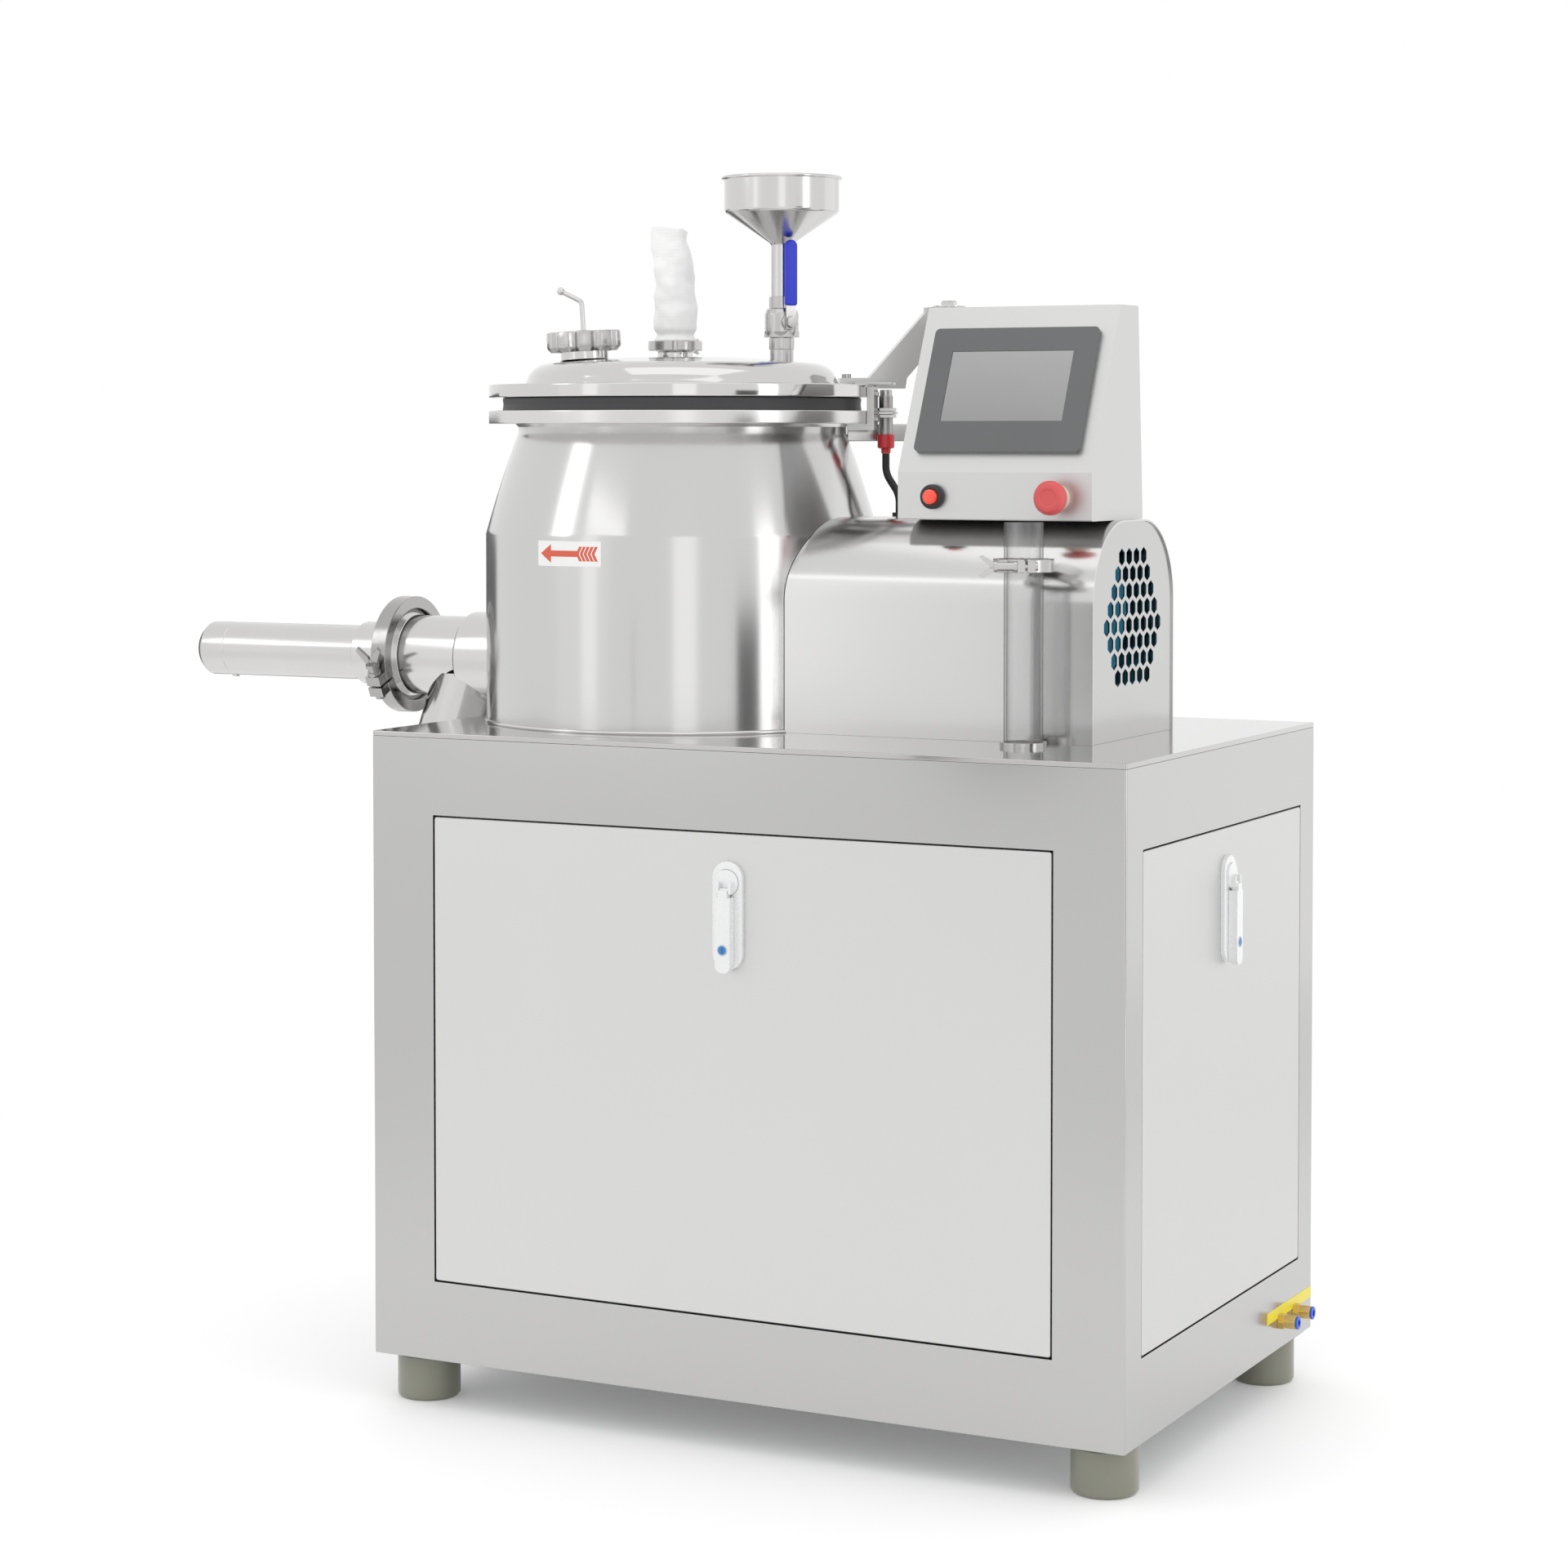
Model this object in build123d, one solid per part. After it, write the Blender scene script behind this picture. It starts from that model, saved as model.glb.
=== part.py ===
from build123d import *
import math
import os

# High shear granulator, a bench-height wet granulator of about 30 litres.
# Frame: origin on the floor under the middle of the cabinet, +Z up, +X to the operator's right,
# and the operator stands at -Y. All lengths are in millimetres and all angles in degrees.

# Clearances and common sheet sizes
GAP = 0.3
RUN_FIT = 0.05
PANEL_GAP = 2.0
SHEET = 2.0

# Cabinet
CAB_W = 968.0
CAB_D = 630.0
CAB_H = 752.0
TOP_T = 6.0
CORNER_R = 3.0
PANEL_SIDE_MARGIN = 87.5
SIDE_PANEL_MARGIN = 52.0
PANEL_BOTTOM = 97.0
PANEL_TOP_MARGIN = 100.0
PANEL_RETURN = 18.0
SEAT_LIP = 15.0
FLOOR_T = 3.0
RAIL_H = 20.0
RAIL_W = 40.0
LOUVRE_W = 90.0
LOUVRE_H = 7.0
LOUVRE_PITCH = 16.0
LOUVRE_ROWS = 8
LOUVRE_DROP = 90.0

# Feet
FOOT_D = 76.0
FOOT_H = 54.0
FOOT_INSET_X = 44.0
FOOT_INSET_Y = 53.0
FOOT_PLATE = 78.0
FOOT_PLATE_T = 4.0
FOOT_BOLT_D = 12.0
FOOT_BOLT_RECESS_D = 30.0
FOOT_BOLT_RECESS_H = 20.0
FOOT_BOLT_HEAD_D = 22.0
FOOT_BOLT_HEAD_T = 7.0
FOOT_CHAMFER = 2.0

# Cabinet locks
LOCK_W = 38.0
LOCK_H = 124.0
LOCK_T = 6.0
LOCK_DROP = 31.0
LOCK_PIVOT_DROP = 24.0
LOCK_HUB_D = 30.0
LOCK_HUB_T = 5.0
LOCK_NECK_D = 20.0
LOCK_SEAT_T = 2.0
LOCK_PROUD = 2.5
LEVER_W = 19.0
LEVER_T = 11.0
LEVER_PIVOT_DROP = 8.0
LEVER_OVERHANG = 2.0
LEVER_EAR_T = 3.5
LEVER_EAR_RISE = 9.0
LEVER_EAR_DROP = 4.0
TONGUE_W = 18.0
TONGUE_T = 3.0
TONGUE_OVERLAP = 12.0
TONGUE_TAIL = 14.0
KEY_D = 13.0
KEY_RISE = 26.0
KEY_EDGE = 0.8
KEY_PROUD = 0.6

# Bowl
BOWL_X = -236.0
AXIS_Y = 8.0
BOWL_R = 244.0
BOWL_WALL = 5.0
BOWL_FLOOR_T = 12.0
BOWL_BODY_H = 232.0
BOWL_BULGE_H = 48.0
BOWL_BULGE_R = 229.9
NECK_R = 203.6
NECK_RISE = 125.0
NECK_H = 11.0
FLANGE_R = 240.0
FLANGE_T = 16.0
BEAD_W = 3.0
BEAD_H = 4.0
SHAFT_SEAL_W = 12.0

# Lid
GASKET_SETBACK = 17.0
GASKET_T = 16.0
LID_WALL = 4.0
DOME_R = 193.5
DOME_FLAT_R = 163.0
DOME_EDGE_RISE = 27.0
DOME_RISE = 35.0

# Lid lift
ARM_ANGLE = 31.0
POST_REACH = 333.7
POST_R = 30.0
POST_BORE_R = 23.0
POST_FLANGE_R = 42.0
POST_FLANGE_T = 10.0
POST_BOLT_R = 4.5
POST_BOLT_H = 6.0
POST_BOLT_IN = 6.0
SPIGOT_R = 15.0
ARM_W = 40.0
ARM_BAR_T = 9.0
ARM_BAR_IN = 196.0
ARM_KNEE_IN = 232.0
ARM_KNEE_OUT = 279.0
ARM_KNEE_DROP = 4.0
ARM_RISE = 97.0
ARM_HEAD_T = 33.0
ARM_HEAD_R = 32.0
ARM_CREST_BACK = 26.0
STAY_W = 40.0
STAY_H = 22.0
ROD_RISE = 40.0
ARM_SCREW_R = 5.0
ARM_SCREW_IN = 9.0
ARM_WASHER_W = 6.0
ARM_WASHER_T = 2.0
ARM_NUT_R = 10.0
ARM_NUT_T = 7.0

# Guide block and lid sensor beside the flanges
GUIDE_ANGLE = 10.4
GUIDE_W = 18.0
GUIDE_T = 9.0
GUIDE_CLEAR = 0.5
GUIDE_SEAT_IN = 12.0
GUIDE_PAD_CLEAR = 11.4
GUIDE_PAD_T = 8.0
GUIDE_BOLT_R = 3.2
GUIDE_BOLT_H = 3.0
SENSOR_ANGLE = 16.0
SENSOR_OUT = 16.7
SENSOR_D = 18.0
SENSOR_L = 55.0
SENSOR_GAP = 6.5
SENSOR_NUT_T = 4.0
SENSOR_NUT_W = 4.0
SENSOR_PLUG_W = 1.5
SENSOR_PLUG_L = 17.0
SENSOR_TAIL_L = 6.0
TARGET_T = 3.0
TAB_T = 3.5
TAB_W = 26.0
CABLE_D = 9.0
CABLE_OUT = 22.0
CABLE_FORWARD = 8.0
CABLE_RISE = 9.0
CABLE_BEND_R = 26.0
CABLE_GLAND_W = 4.0
CABLE_GLAND_L = 24.0

# Feed port on the lid
FEED_ANGLE = 211.0
FEED_OUT = 121.0
FEED_TILT = 3.0
FEED_NECK_R = 29.5
FEED_NECK_WALL = 3.0
FEED_NECK_H = 24.0
FEED_FLANGE_R = 33.0
FEED_FLANGE_T = 5.0
NUT_R = 46.3
NUT_H = 25.0
NUT_LOBES = 10
NUT_FLUTE_R = 9.0
CAP_T = 8.0
HANDLE_D = 6.0
HANDLE_RISE = 37.0
HANDLE_REACH = 25.0
HANDLE_TIP_RISE = 14.0

# Vent with its filter bag
VENT_X = -34.0
VENT_Y = 44.0
VENT_TUBE_R = 22.0
VENT_FERRULE_R = 29.0
VENT_STUB_H = 13.0
VENT_CLAMP_H = 12.0
VENT_CLAMP_R = 34.0
VENT_CLAMP_ANGLE = 118.0
VENT_LUG = 8.0
VENT_SHANK = 9.0
BAG_R = 28.5
BAG_H = 143.0

# Filling funnel and ball valve
VALVE_OUT = 124.0
VALVE_ANGLE = 31.0
STEM_ANGLE = -38.0
PIPE_R = 13.2
PIPE_BORE_R = 10.5
NIPPLE_H = 14.0
VALVE_COLLAR_R = 15.8
VALVE_COLLAR_H = 15.0
VALVE_BODY_R = 21.0
VALVE_BODY_H = 36.0
BALL_R = 15.0
STEM_R = 5.0
STEM_OUT = 31.0
FUNNEL_PIPE_H = 65.0
FUNNEL_CONE_H = 40.0
FUNNEL_WALL_H = 44.0
FUNNEL_R = 71.5
FUNNEL_RIM_R = 76.0
FUNNEL_T = 1.5
LEVER_PLATE_T = 3.0
LEVER_PLATE_W = 13.0
LEVER_LENGTH = 102.0
GRIP_W = 16.0
GRIP_T = 8.0
GRIP_L = 82.0

# Impeller and its drive
IMPELLER_R = 236.0
IMPELLER_CLEAR = 2.0
HUB_R = 62.0
HUB_TOP_R = 22.0
HUB_H = 88.0
BLADE_COUNT = 3
BLADE_W = 78.0
BLADE_T = 7.0
BLADE_PITCH = 32.0
SHAFT_R = 20.0
BEARING_HOUSING_R = 55.0
BEARING_HOUSING_L = 300.0
BEARING_FLANGE_R = 90.0
BEARING_FLANGE_T = 14.0
PULLEY_T = 42.0
DRIVEN_PULLEY_R = 95.0
MOTOR_PULLEY_R = 60.0
BELT_T = 9.0
BELT_W = 34.0
MOTOR_X = 90.0
MOTOR_R = 105.0
MOTOR_L = 270.0
MOTOR_SHAFT_R = 14.0
MOTOR_SHAFT_GAP = 4.0
MOTOR_FLANGE_OVER = 18.0
MOTOR_FLANGE_T = 14.0
MOTOR_FIN_COUNT = 24
MOTOR_FIN_H = 12.0
MOTOR_FIN_W = 4.0
MOTOR_COWL_L = 60.0
MOTOR_COWL_OVER = 2.0
MOTOR_BOX_W = 110.0
MOTOR_BOX_OUT = 42.0
MOTOR_BOX_IN = 20.0
MOTOR_BOX_RISE = 90.0
MOTOR_BOX_H = 90.0
DRIVE_PLATE_T = 12.0
DRIVE_PLATE_DROP = 340.0
DRIVE_PLATE_LEFT = 130.0
DRIVE_PLATE_RIGHT = 150.0
DRIVE_PLATE_HALF = 140.0
DRIVE_HANGER_R = 11.0
DRIVE_HANGER_IN = 16.0
DRIVE_HOLE_GAP = 6.0
PULLEY_GAP = 6.0

# Chopper and its motor
CHOPPER_RISE = 142.0
CHOPPER_SHAFT_R = 12.0
CHOPPER_REACH = 62.0
CHOPPER_BLADE_R = 48.0
CHOPPER_SETS = 3
CHOPPER_SET_PITCH = 19.0
CHOPPER_BOSS_R = 38.0
CHOPPER_MOTOR_R = 70.0
CHOPPER_MOTOR_X0 = 92.0
CHOPPER_MOTOR_L = 200.0
CHOPPER_BOSS_GAP = 8.0
CHOPPER_COLLAR_OVER = 14.0
CHOPPER_COLLAR_T = 18.0
CHOPPER_FLANGE_T = 12.0
CHOPPER_FIN_COUNT = 20
CHOPPER_FIN_H = 10.0
CHOPPER_FIN_W = 3.0
CHOPPER_COWL_L = 36.0
CHOPPER_BOX_X = 60.0
CHOPPER_BOX_L = 70.0
CHOPPER_BOX_W = 60.0
CHOPPER_BOX_RISE = 18.0
CHOPPER_FOOT_L = 24.0
CHOPPER_FOOT_W = 100.0
CHOPPER_FOOT_IN = 40.0

# Motor housing beside the bowl
HOUSING_W = 258.0
HOUSING_H = 255.0
HOUSING_CORNER_R = 97.0
HOUSING_X1 = 366.0
HOUSING_BOWL_GAP = 1.0
HOUSING_POST_GAP = 0.8
VENT_PITCH = 23.2
VENT_FLATS = 17.6
VENT_ROWS = (4, 5, 6, 7, 8, 7, 6, 5)
END_PLATE_INSET = 2.0

# Control box
BOX_X0 = 110.0
BOX_X1 = 355.0
BOX_FRONT_Y = -98.0
BOX_BACK_Y = 62.0
BOX_SILL_H = 56.0
BOX_H = 251.0
BOX_TILT = 24.2
BOX_TOP_BACK_Y = 46.0
BEZEL_W = 209.0
BEZEL_H = 159.0
BEZEL_T = 7.0
BEZEL_R = 6.0
BEZEL_UP = 103.0
SCREEN_W = 154.0
SCREEN_H = 90.0
SCREEN_UP = 4.0
BUTTON_X_IN = 46.0
ESTOP_X_IN = 42.0
DEVICE_UP = 27.0
BUTTON_D = 23.0
BUTTON_RING_D = 29.0
BUTTON_RING_T = 9.0
BUTTON_PROUD = 6.0
BUTTON_LENS_GAP = 2.5
BUTTON_LENS_L = 13.0
BUTTON_BARREL_L = 40.0
ESTOP_BARREL_L = 50.0
ESTOP_BARREL_WALL = 1.7
ESTOP_D = 40.0
ESTOP_HEAD_T = 15.0
ESTOP_STEM_R = 9.0
ESTOP_PIN_R = 5.0
ESTOP_COLLAR_D = 30.0
ESTOP_COLLAR_T = 10.0
ESTOP_GAP = 6.0

# Clear standpipe in front of the housing
STAND_X = 297.0
STAND_Y = -160.0
STAND_R = 22.5
STAND_WALL = 3.0
STAND_H = 255.0
STAND_JOINT_H = 206.0
STAND_FERRULE_R = 28.0
STAND_FERRULE_T = 3.0
STAND_BASE_R = 27.0
STAND_BASE_T = 5.0
STAND_CLAMP_R = 35.0
STAND_CLAMP_H = 15.0
STAND_CLAMP_ANGLE = -63.0
STAND_LUG = 10.0
STAND_SHANK = 26.0

# Discharge port on the left of the bowl
TUBE_R = 50.8
TUBE_WALL = 2.0
TUBE_RISE = 70.0
TUBE_END_X = -634.0
COLLAR_R = 57.0
COLLAR_FLARE_R = 16.0
COLLAR_LIP = 5.0
COLLAR_X = -541.0
FERRULE_R = 59.5
CLAMP_R = 75.0
CLAMP_W = 22.0
CLAMP_DIP = 25.0
CLAMP_LUG = 14.0
CLAMP_SHANK = 16.0
CYL_CAP_R = 40.0
CYL_CAP_X = -706.0
CYL_R = 35.0
CYL_END_X = -956.0
CYL_WALL = 3.0
CHUTE_X = -533.0
CHUTE_TILT = 18.8
CHUTE_L = 215.0
PLUG_L = 24.0
PLUG_CLEAR = 1.5
ROD_R = 8.0
PISTON_T = 20.0

# Air inlets, low at the back of the right side, and the mains gland at the back
INLET_Y = (195.0, 250.0)
INLET_Z = 92.0
INLET_HEX = 20.0
INLET_L = 22.0
AIR_TUBE_R = 4.1
PUSH_RING_R = 8.0
GLAND_X = 330.0
GLAND_Z = 150.0
GLAND_BORE_R = 8.0
GLAND_R = 17.0
GLAND_L = 30.0

# Control tray behind the right panel
TRAY_X_IN = 60.0
TRAY_T = 3.0
TRAY_W = 400.0
TRAY_H = 517.0
INVERTER_D = 120.0
INVERTER_W = 150.0
INVERTER_H = 220.0
INVERTER_RISE = 247.0
UNIT_W = 150.0
UNIT_H = 90.0
UNIT_OFFSET = 95.0
BREAKER_D = 60.0
BREAKER_RISE = 357.0
RELAY_D = 75.0
RELAY_RISE = 197.0
TERMINAL_D = 14.0
TERMINAL_W = 340.0
TERMINAL_H = 35.0
TERMINAL_RISE = 117.0

# Levels and places that follow from the sizes above
BASE_Z = FOOT_H + FOOT_PLATE_T
TOP_Z = BASE_Z + CAB_H
HALF_W = CAB_W / 2
HALF_D = CAB_D / 2
PANEL_HALF_W = HALF_W - PANEL_SIDE_MARGIN
PANEL_HALF_D = HALF_D - SIDE_PANEL_MARGIN
PANEL_Z0 = BASE_Z + PANEL_BOTTOM
PANEL_Z1 = TOP_Z - PANEL_TOP_MARGIN
LOCK_TOP_Z = PANEL_Z1 - LOCK_DROP
LOCK_PIVOT_Z = LOCK_TOP_Z - LOCK_PIVOT_DROP
BOWL_Z = TOP_Z
BOWL_FLOOR_Z = BOWL_Z + BOWL_FLOOR_T
SHOULDER_Z = BOWL_Z + BOWL_BODY_H
NECK_Z = SHOULDER_Z + NECK_RISE
FLANGE_Z = NECK_Z + NECK_H
FLANGE_TOP_Z = FLANGE_Z + FLANGE_T
GASKET_TOP_Z = FLANGE_TOP_Z + GASKET_T - GAP
LID_Z = FLANGE_TOP_Z + GASKET_T
GASKET_R = FLANGE_R - GASKET_SETBACK
LID_TOP_Z = LID_Z + FLANGE_T
DOME_EDGE_Z = LID_TOP_Z + DOME_EDGE_RISE
DOME_Z = LID_TOP_Z + DOME_RISE
HOUSING_TOP_Z = TOP_Z + HOUSING_H
CHOPPER_Z = TOP_Z + CHOPPER_RISE
TUBE_Z = TOP_Z + TUBE_RISE
POST_X = BOWL_X + POST_REACH * math.cos(math.radians(ARM_ANGLE))
POST_Y = AXIS_Y + POST_REACH * math.sin(math.radians(ARM_ANGLE))
ARM_TOP_Z = LID_TOP_Z + ARM_RISE
ARM_HEAD_Z = ARM_TOP_Z - ARM_HEAD_T
DRIVE_PLATE_Z = TOP_Z - DRIVE_PLATE_DROP
PULLEY_Z = DRIVE_PLATE_Z - GAP - PULLEY_T - PULLEY_GAP
BOX_Z = HOUSING_TOP_Z
BOX_RIDGE_Z = BOX_Z + BOX_SILL_H
BOX_TOP_Z = BOX_Z + BOX_H


def block(x0, x1, y0, y1, z0, z1):
    size = Box(x1 - x0, y1 - y0, z1 - z0)
    return Pos((x0 + x1) / 2, (y0 + y1) / 2, (z0 + z1) / 2) * size


def rod(radius, z0, z1, x=0.0, y=0.0):
    return Pos(x, y, (z0 + z1) / 2) * Cylinder(radius, z1 - z0)


def rod_x(radius, x0, x1, y, z):
    return Pos((x0 + x1) / 2, y, z) * Rot(0, 90, 0) * Cylinder(radius, x1 - x0)


def rod_y(radius, y0, y1, x, z):
    return Pos(x, (y0 + y1) / 2, z) * Rot(90, 0, 0) * Cylinder(radius, y1 - y0)


def tube(outer, inner, z0, z1, x=0.0, y=0.0):
    return rod(outer, z0, z1, x, y) - rod(inner, z0 - 1, z1 + 1, x, y)


def tube_x(outer, inner, x0, x1, y, z):
    return rod_x(outer, x0, x1, y, z) - rod_x(inner, x0 - 1, x1 + 1, y, z)


def spun_outline(points):
    return revolve(make_face(Plane.XZ * Polyline(*points, close=True)), Axis.Z, 360)


def around_bowl(angle):
    return Pos(BOWL_X, AXIS_Y, 0) * Rot(0, 0, angle)


def on_bowl_axis(shape):
    return Pos(BOWL_X, AXIS_Y, 0) * shape


def mirror_pair(values):
    return [(sx * values[0], sy * values[1]) for sx in (-1, 1) for sy in (-1, 1)]


# Feet and base
FOOT_PLACES = mirror_pair((HALF_W - FOOT_INSET_X, HALF_D - FOOT_INSET_Y))


def foot():
    body = rod(FOOT_D / 2, 0, FOOT_H)
    body = chamfer(body.edges().group_by(Axis.Z)[0], FOOT_CHAMFER)
    recess = rod(FOOT_BOLT_RECESS_D / 2, -1, FOOT_BOLT_RECESS_H)
    return body - recess - rod(FOOT_BOLT_D / 2 + GAP, 0, FOOT_H + 1)


def feet():
    return Compound([Pos(x, y, 0) * foot() for x, y in FOOT_PLACES])


def foot_bolt():
    head = rod(FOOT_BOLT_HEAD_D / 2, FOOT_BOLT_RECESS_H - FOOT_BOLT_HEAD_T, FOOT_BOLT_RECESS_H)
    return head + rod(FOOT_BOLT_D / 2, FOOT_BOLT_RECESS_H - 1, BASE_Z)


def base_frame():
    inner_w = HALF_W - SHEET
    inner_d = HALF_D - SHEET
    floor = block(-inner_w, inner_w, -inner_d, inner_d, BASE_Z, BASE_Z + FLOOR_T)
    rails = []
    for side in (-1, 1):
        y0 = side * (HALF_D - FOOT_INSET_Y) - RAIL_W / 2
        rails.append(block(-inner_w, inner_w, y0, y0 + RAIL_W, BASE_Z + FLOOR_T, BASE_Z + FLOOR_T + RAIL_H))
    part = floor + rails
    for x, y in FOOT_PLACES:
        half = FOOT_PLATE / 2
        part += block(x - half, x + half, y - half, y + half, FOOT_H, BASE_Z)
        part += Pos(x, y, 0) * foot_bolt()
    return Compound([part, drive_plate()])


# Cabinet skin
def cabinet_shell():
    outer = block(-HALF_W, HALF_W, -HALF_D, HALF_D, BASE_Z, TOP_Z - TOP_T)
    outer = fillet(outer.edges().filter_by(Axis.Z), CORNER_R)
    inner = block(-HALF_W + SHEET, HALF_W - SHEET, -HALF_D + SHEET, HALF_D - SHEET, BASE_Z - 1, TOP_Z)
    shell = outer - inner
    depth = PANEL_RETURN + SHEET
    for side in (-1, 1):
        y_face = side * HALF_D
        y_in = side * (HALF_D - depth - SHEET)
        ys = sorted((y_face, y_in))
        rim = PANEL_GAP + SHEET
        half = PANEL_HALF_W + rim
        shell += block(-half, half, ys[0], ys[1], PANEL_Z0 - rim, PANEL_Z1 + rim)
        ys = sorted((y_face + side, side * (HALF_D - depth)))
        g = PANEL_GAP
        shell -= block(-PANEL_HALF_W - g, PANEL_HALF_W + g, ys[0], ys[1], PANEL_Z0 - g, PANEL_Z1 + g)
        lip = SEAT_LIP
        ys = sorted((y_face, side * (HALF_D - 2 * depth)))
        shell -= block(
            -PANEL_HALF_W + lip, PANEL_HALF_W - lip, ys[0], ys[1], PANEL_Z0 + lip, PANEL_Z1 - lip
        )
    rim = PANEL_GAP + SHEET
    half = PANEL_HALF_D + rim
    shell += block(HALF_W - depth - SHEET, HALF_W, -half, half, PANEL_Z0 - rim, PANEL_Z1 + rim)
    g = PANEL_GAP
    shell -= block(
        HALF_W - depth, HALF_W + 1, -PANEL_HALF_D - g, PANEL_HALF_D + g, PANEL_Z0 - g, PANEL_Z1 + g
    )
    lip = SEAT_LIP
    shell -= block(
        HALF_W - 2 * depth, HALF_W, -PANEL_HALF_D + lip, PANEL_HALF_D - lip, PANEL_Z0 + lip, PANEL_Z1 - lip
    )
    for y in INLET_Y:
        shell -= rod_x(INLET_HEX / 2 - 4 + GAP, HALF_W - 10, HALF_W + 1, y, INLET_Z)
    return shell


def top_plate():
    plate = block(-HALF_W, HALF_W, -HALF_D, HALF_D, TOP_Z - TOP_T, TOP_Z)
    plate = fillet(plate.edges().filter_by(Axis.Z), CORNER_R)
    plate -= rod(BEARING_HOUSING_R + 1, TOP_Z - 50, TOP_Z + 1, BOWL_X, AXIS_Y)
    return plate


def panel_tray(half_width):
    z0 = PANEL_Z0
    z1 = PANEL_Z1
    skin = block(-half_width, half_width, 0, PANEL_RETURN + SHEET - GAP, z0, z1)
    skin = fillet(skin.edges().filter_by(Axis.Y), CORNER_R)
    hollow = block(-half_width + SHEET, half_width - SHEET, SHEET, 60, z0 + SHEET, z1 - SHEET)
    return skin - hollow


def lock_hole():
    return rod_y(LOCK_NECK_D / 2 + GAP, -20, 30, 0, LOCK_PIVOT_Z)


def at_front(shape):
    return Pos(0, -HALF_D, 0) * shape


def at_right(shape):
    return Pos(HALF_W, 0, 0) * Rot(0, 0, 90) * shape


def at_back(shape):
    return Pos(0, HALF_D, 0) * Rot(0, 0, 180) * shape


def front_panel():
    return at_front(panel_tray(PANEL_HALF_W) - lock_hole())


def side_panel():
    return at_right(panel_tray(PANEL_HALF_D) - lock_hole())


def rear_panel():
    tray = panel_tray(PANEL_HALF_W)
    for column in (-1, 1):
        for row in range(LOUVRE_ROWS):
            z = PANEL_Z1 - LOUVRE_DROP - row * LOUVRE_PITCH
            x = column * PANEL_HALF_W / 2
            tray -= block(x - LOUVRE_W / 2, x + LOUVRE_W / 2, -1, SHEET + 1, z, z + LOUVRE_H)
    gland_x = -GLAND_X
    tray -= rod_y(GLAND_R - 5 + GAP, -1, SHEET + 1, gland_x, GLAND_Z + PANEL_BOTTOM)
    return at_back(tray)


# Cabinet locks: a plate, a turning hub with the tongue, and a lever that lifts off the plate
def lock_plate():
    plan = Pos(0, 0, LOCK_TOP_Z - LOCK_H / 2) * extrude(
        Plane.XZ * SlotOverall(LOCK_H, LOCK_W, rotation=90), LOCK_T
    )
    plan = fillet(plan.edges().group_by(Axis.Y)[0], 1.5)
    plan -= rod_y(LOCK_HUB_D / 2 + GAP, -LOCK_T - 1, -LOCK_T + LOCK_HUB_T - LOCK_SEAT_T, 0, LOCK_PIVOT_Z)
    return plan - rod_y(LOCK_NECK_D / 2 + GAP, -20, 20, 0, LOCK_PIVOT_Z)


def lock_plates():
    return Compound([at_front(lock_plate()), at_right(lock_plate())])


def lock_rotor():
    front = -LOCK_T
    hub = rod_y(LOCK_HUB_D / 2, front - LOCK_PROUD, front + LOCK_HUB_T - LOCK_SEAT_T - GAP, 0, LOCK_PIVOT_Z)
    tongue_y = PANEL_RETURN + 2 * SHEET + GAP
    neck = rod_y(LOCK_NECK_D / 2, front, tongue_y + TONGUE_T, 0, LOCK_PIVOT_Z)
    tip_z = PANEL_Z1 - SEAT_LIP + TONGUE_OVERLAP
    tail_z = LOCK_PIVOT_Z - TONGUE_TAIL
    tongue = block(-TONGUE_W / 2, TONGUE_W / 2, tongue_y, tongue_y + TONGUE_T, tail_z, tip_z)
    part = hub + neck + tongue
    pivot_z = LOCK_PIVOT_Z - LEVER_PIVOT_DROP
    ear_y0 = front - LEVER_T + LOCK_SEAT_T
    for side in (-1, 1):
        x0 = side * (LEVER_W / 2 - LEVER_EAR_T)
        x1 = side * (LEVER_W / 2)
        xs = sorted((x0, x1))
        ear_z = (pivot_z - LEVER_EAR_DROP, pivot_z + LEVER_EAR_RISE)
        part += block(xs[0], xs[1], ear_y0, front - LOCK_SEAT_T, ear_z[0], ear_z[1])
    return part


def lever_pivot_y():
    return -LOCK_T - LEVER_T / 2


def lock_lever():
    front = -LOCK_T
    pivot_z = LOCK_PIVOT_Z - LEVER_PIVOT_DROP
    pivot_y = lever_pivot_y()
    bottom = LOCK_TOP_Z - LOCK_H - LEVER_OVERHANG
    hub_bottom = LOCK_PIVOT_Z - LOCK_HUB_D / 2 - 1
    grip = block(-LEVER_W / 2, LEVER_W / 2, front - LEVER_T, front - GAP, bottom, hub_bottom)
    grip = fillet(grip.edges().filter_by(Axis.Y).group_by(Axis.Z)[0], 8.0)
    slim = LEVER_W / 2 - LEVER_EAR_T - GAP
    tang = block(-slim, slim, front - LEVER_T, front - LOCK_PROUD - GAP, hub_bottom - 1, pivot_z)
    tang += rod_x(LEVER_T / 2 - 3.0, -slim, slim, pivot_y, pivot_z)
    part = grip + tang
    key_z = bottom + KEY_RISE
    part -= rod_y(KEY_D / 2, -40, front - LEVER_T + 1.0, 0, key_z)
    part += rod_y(KEY_D / 2 - KEY_EDGE, front - LEVER_T - KEY_PROUD, front - LEVER_T + 2.0, 0, key_z)
    return part


# Bowl
def bowl_skin(radius, neck, shoulder_z):
    start = (radius, shoulder_z)
    end = (neck, NECK_Z)
    middle = (BOWL_BULGE_R - (BOWL_R - radius), SHOULDER_Z + BOWL_BULGE_H)
    return ThreePointArc(start, middle, end)


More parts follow.
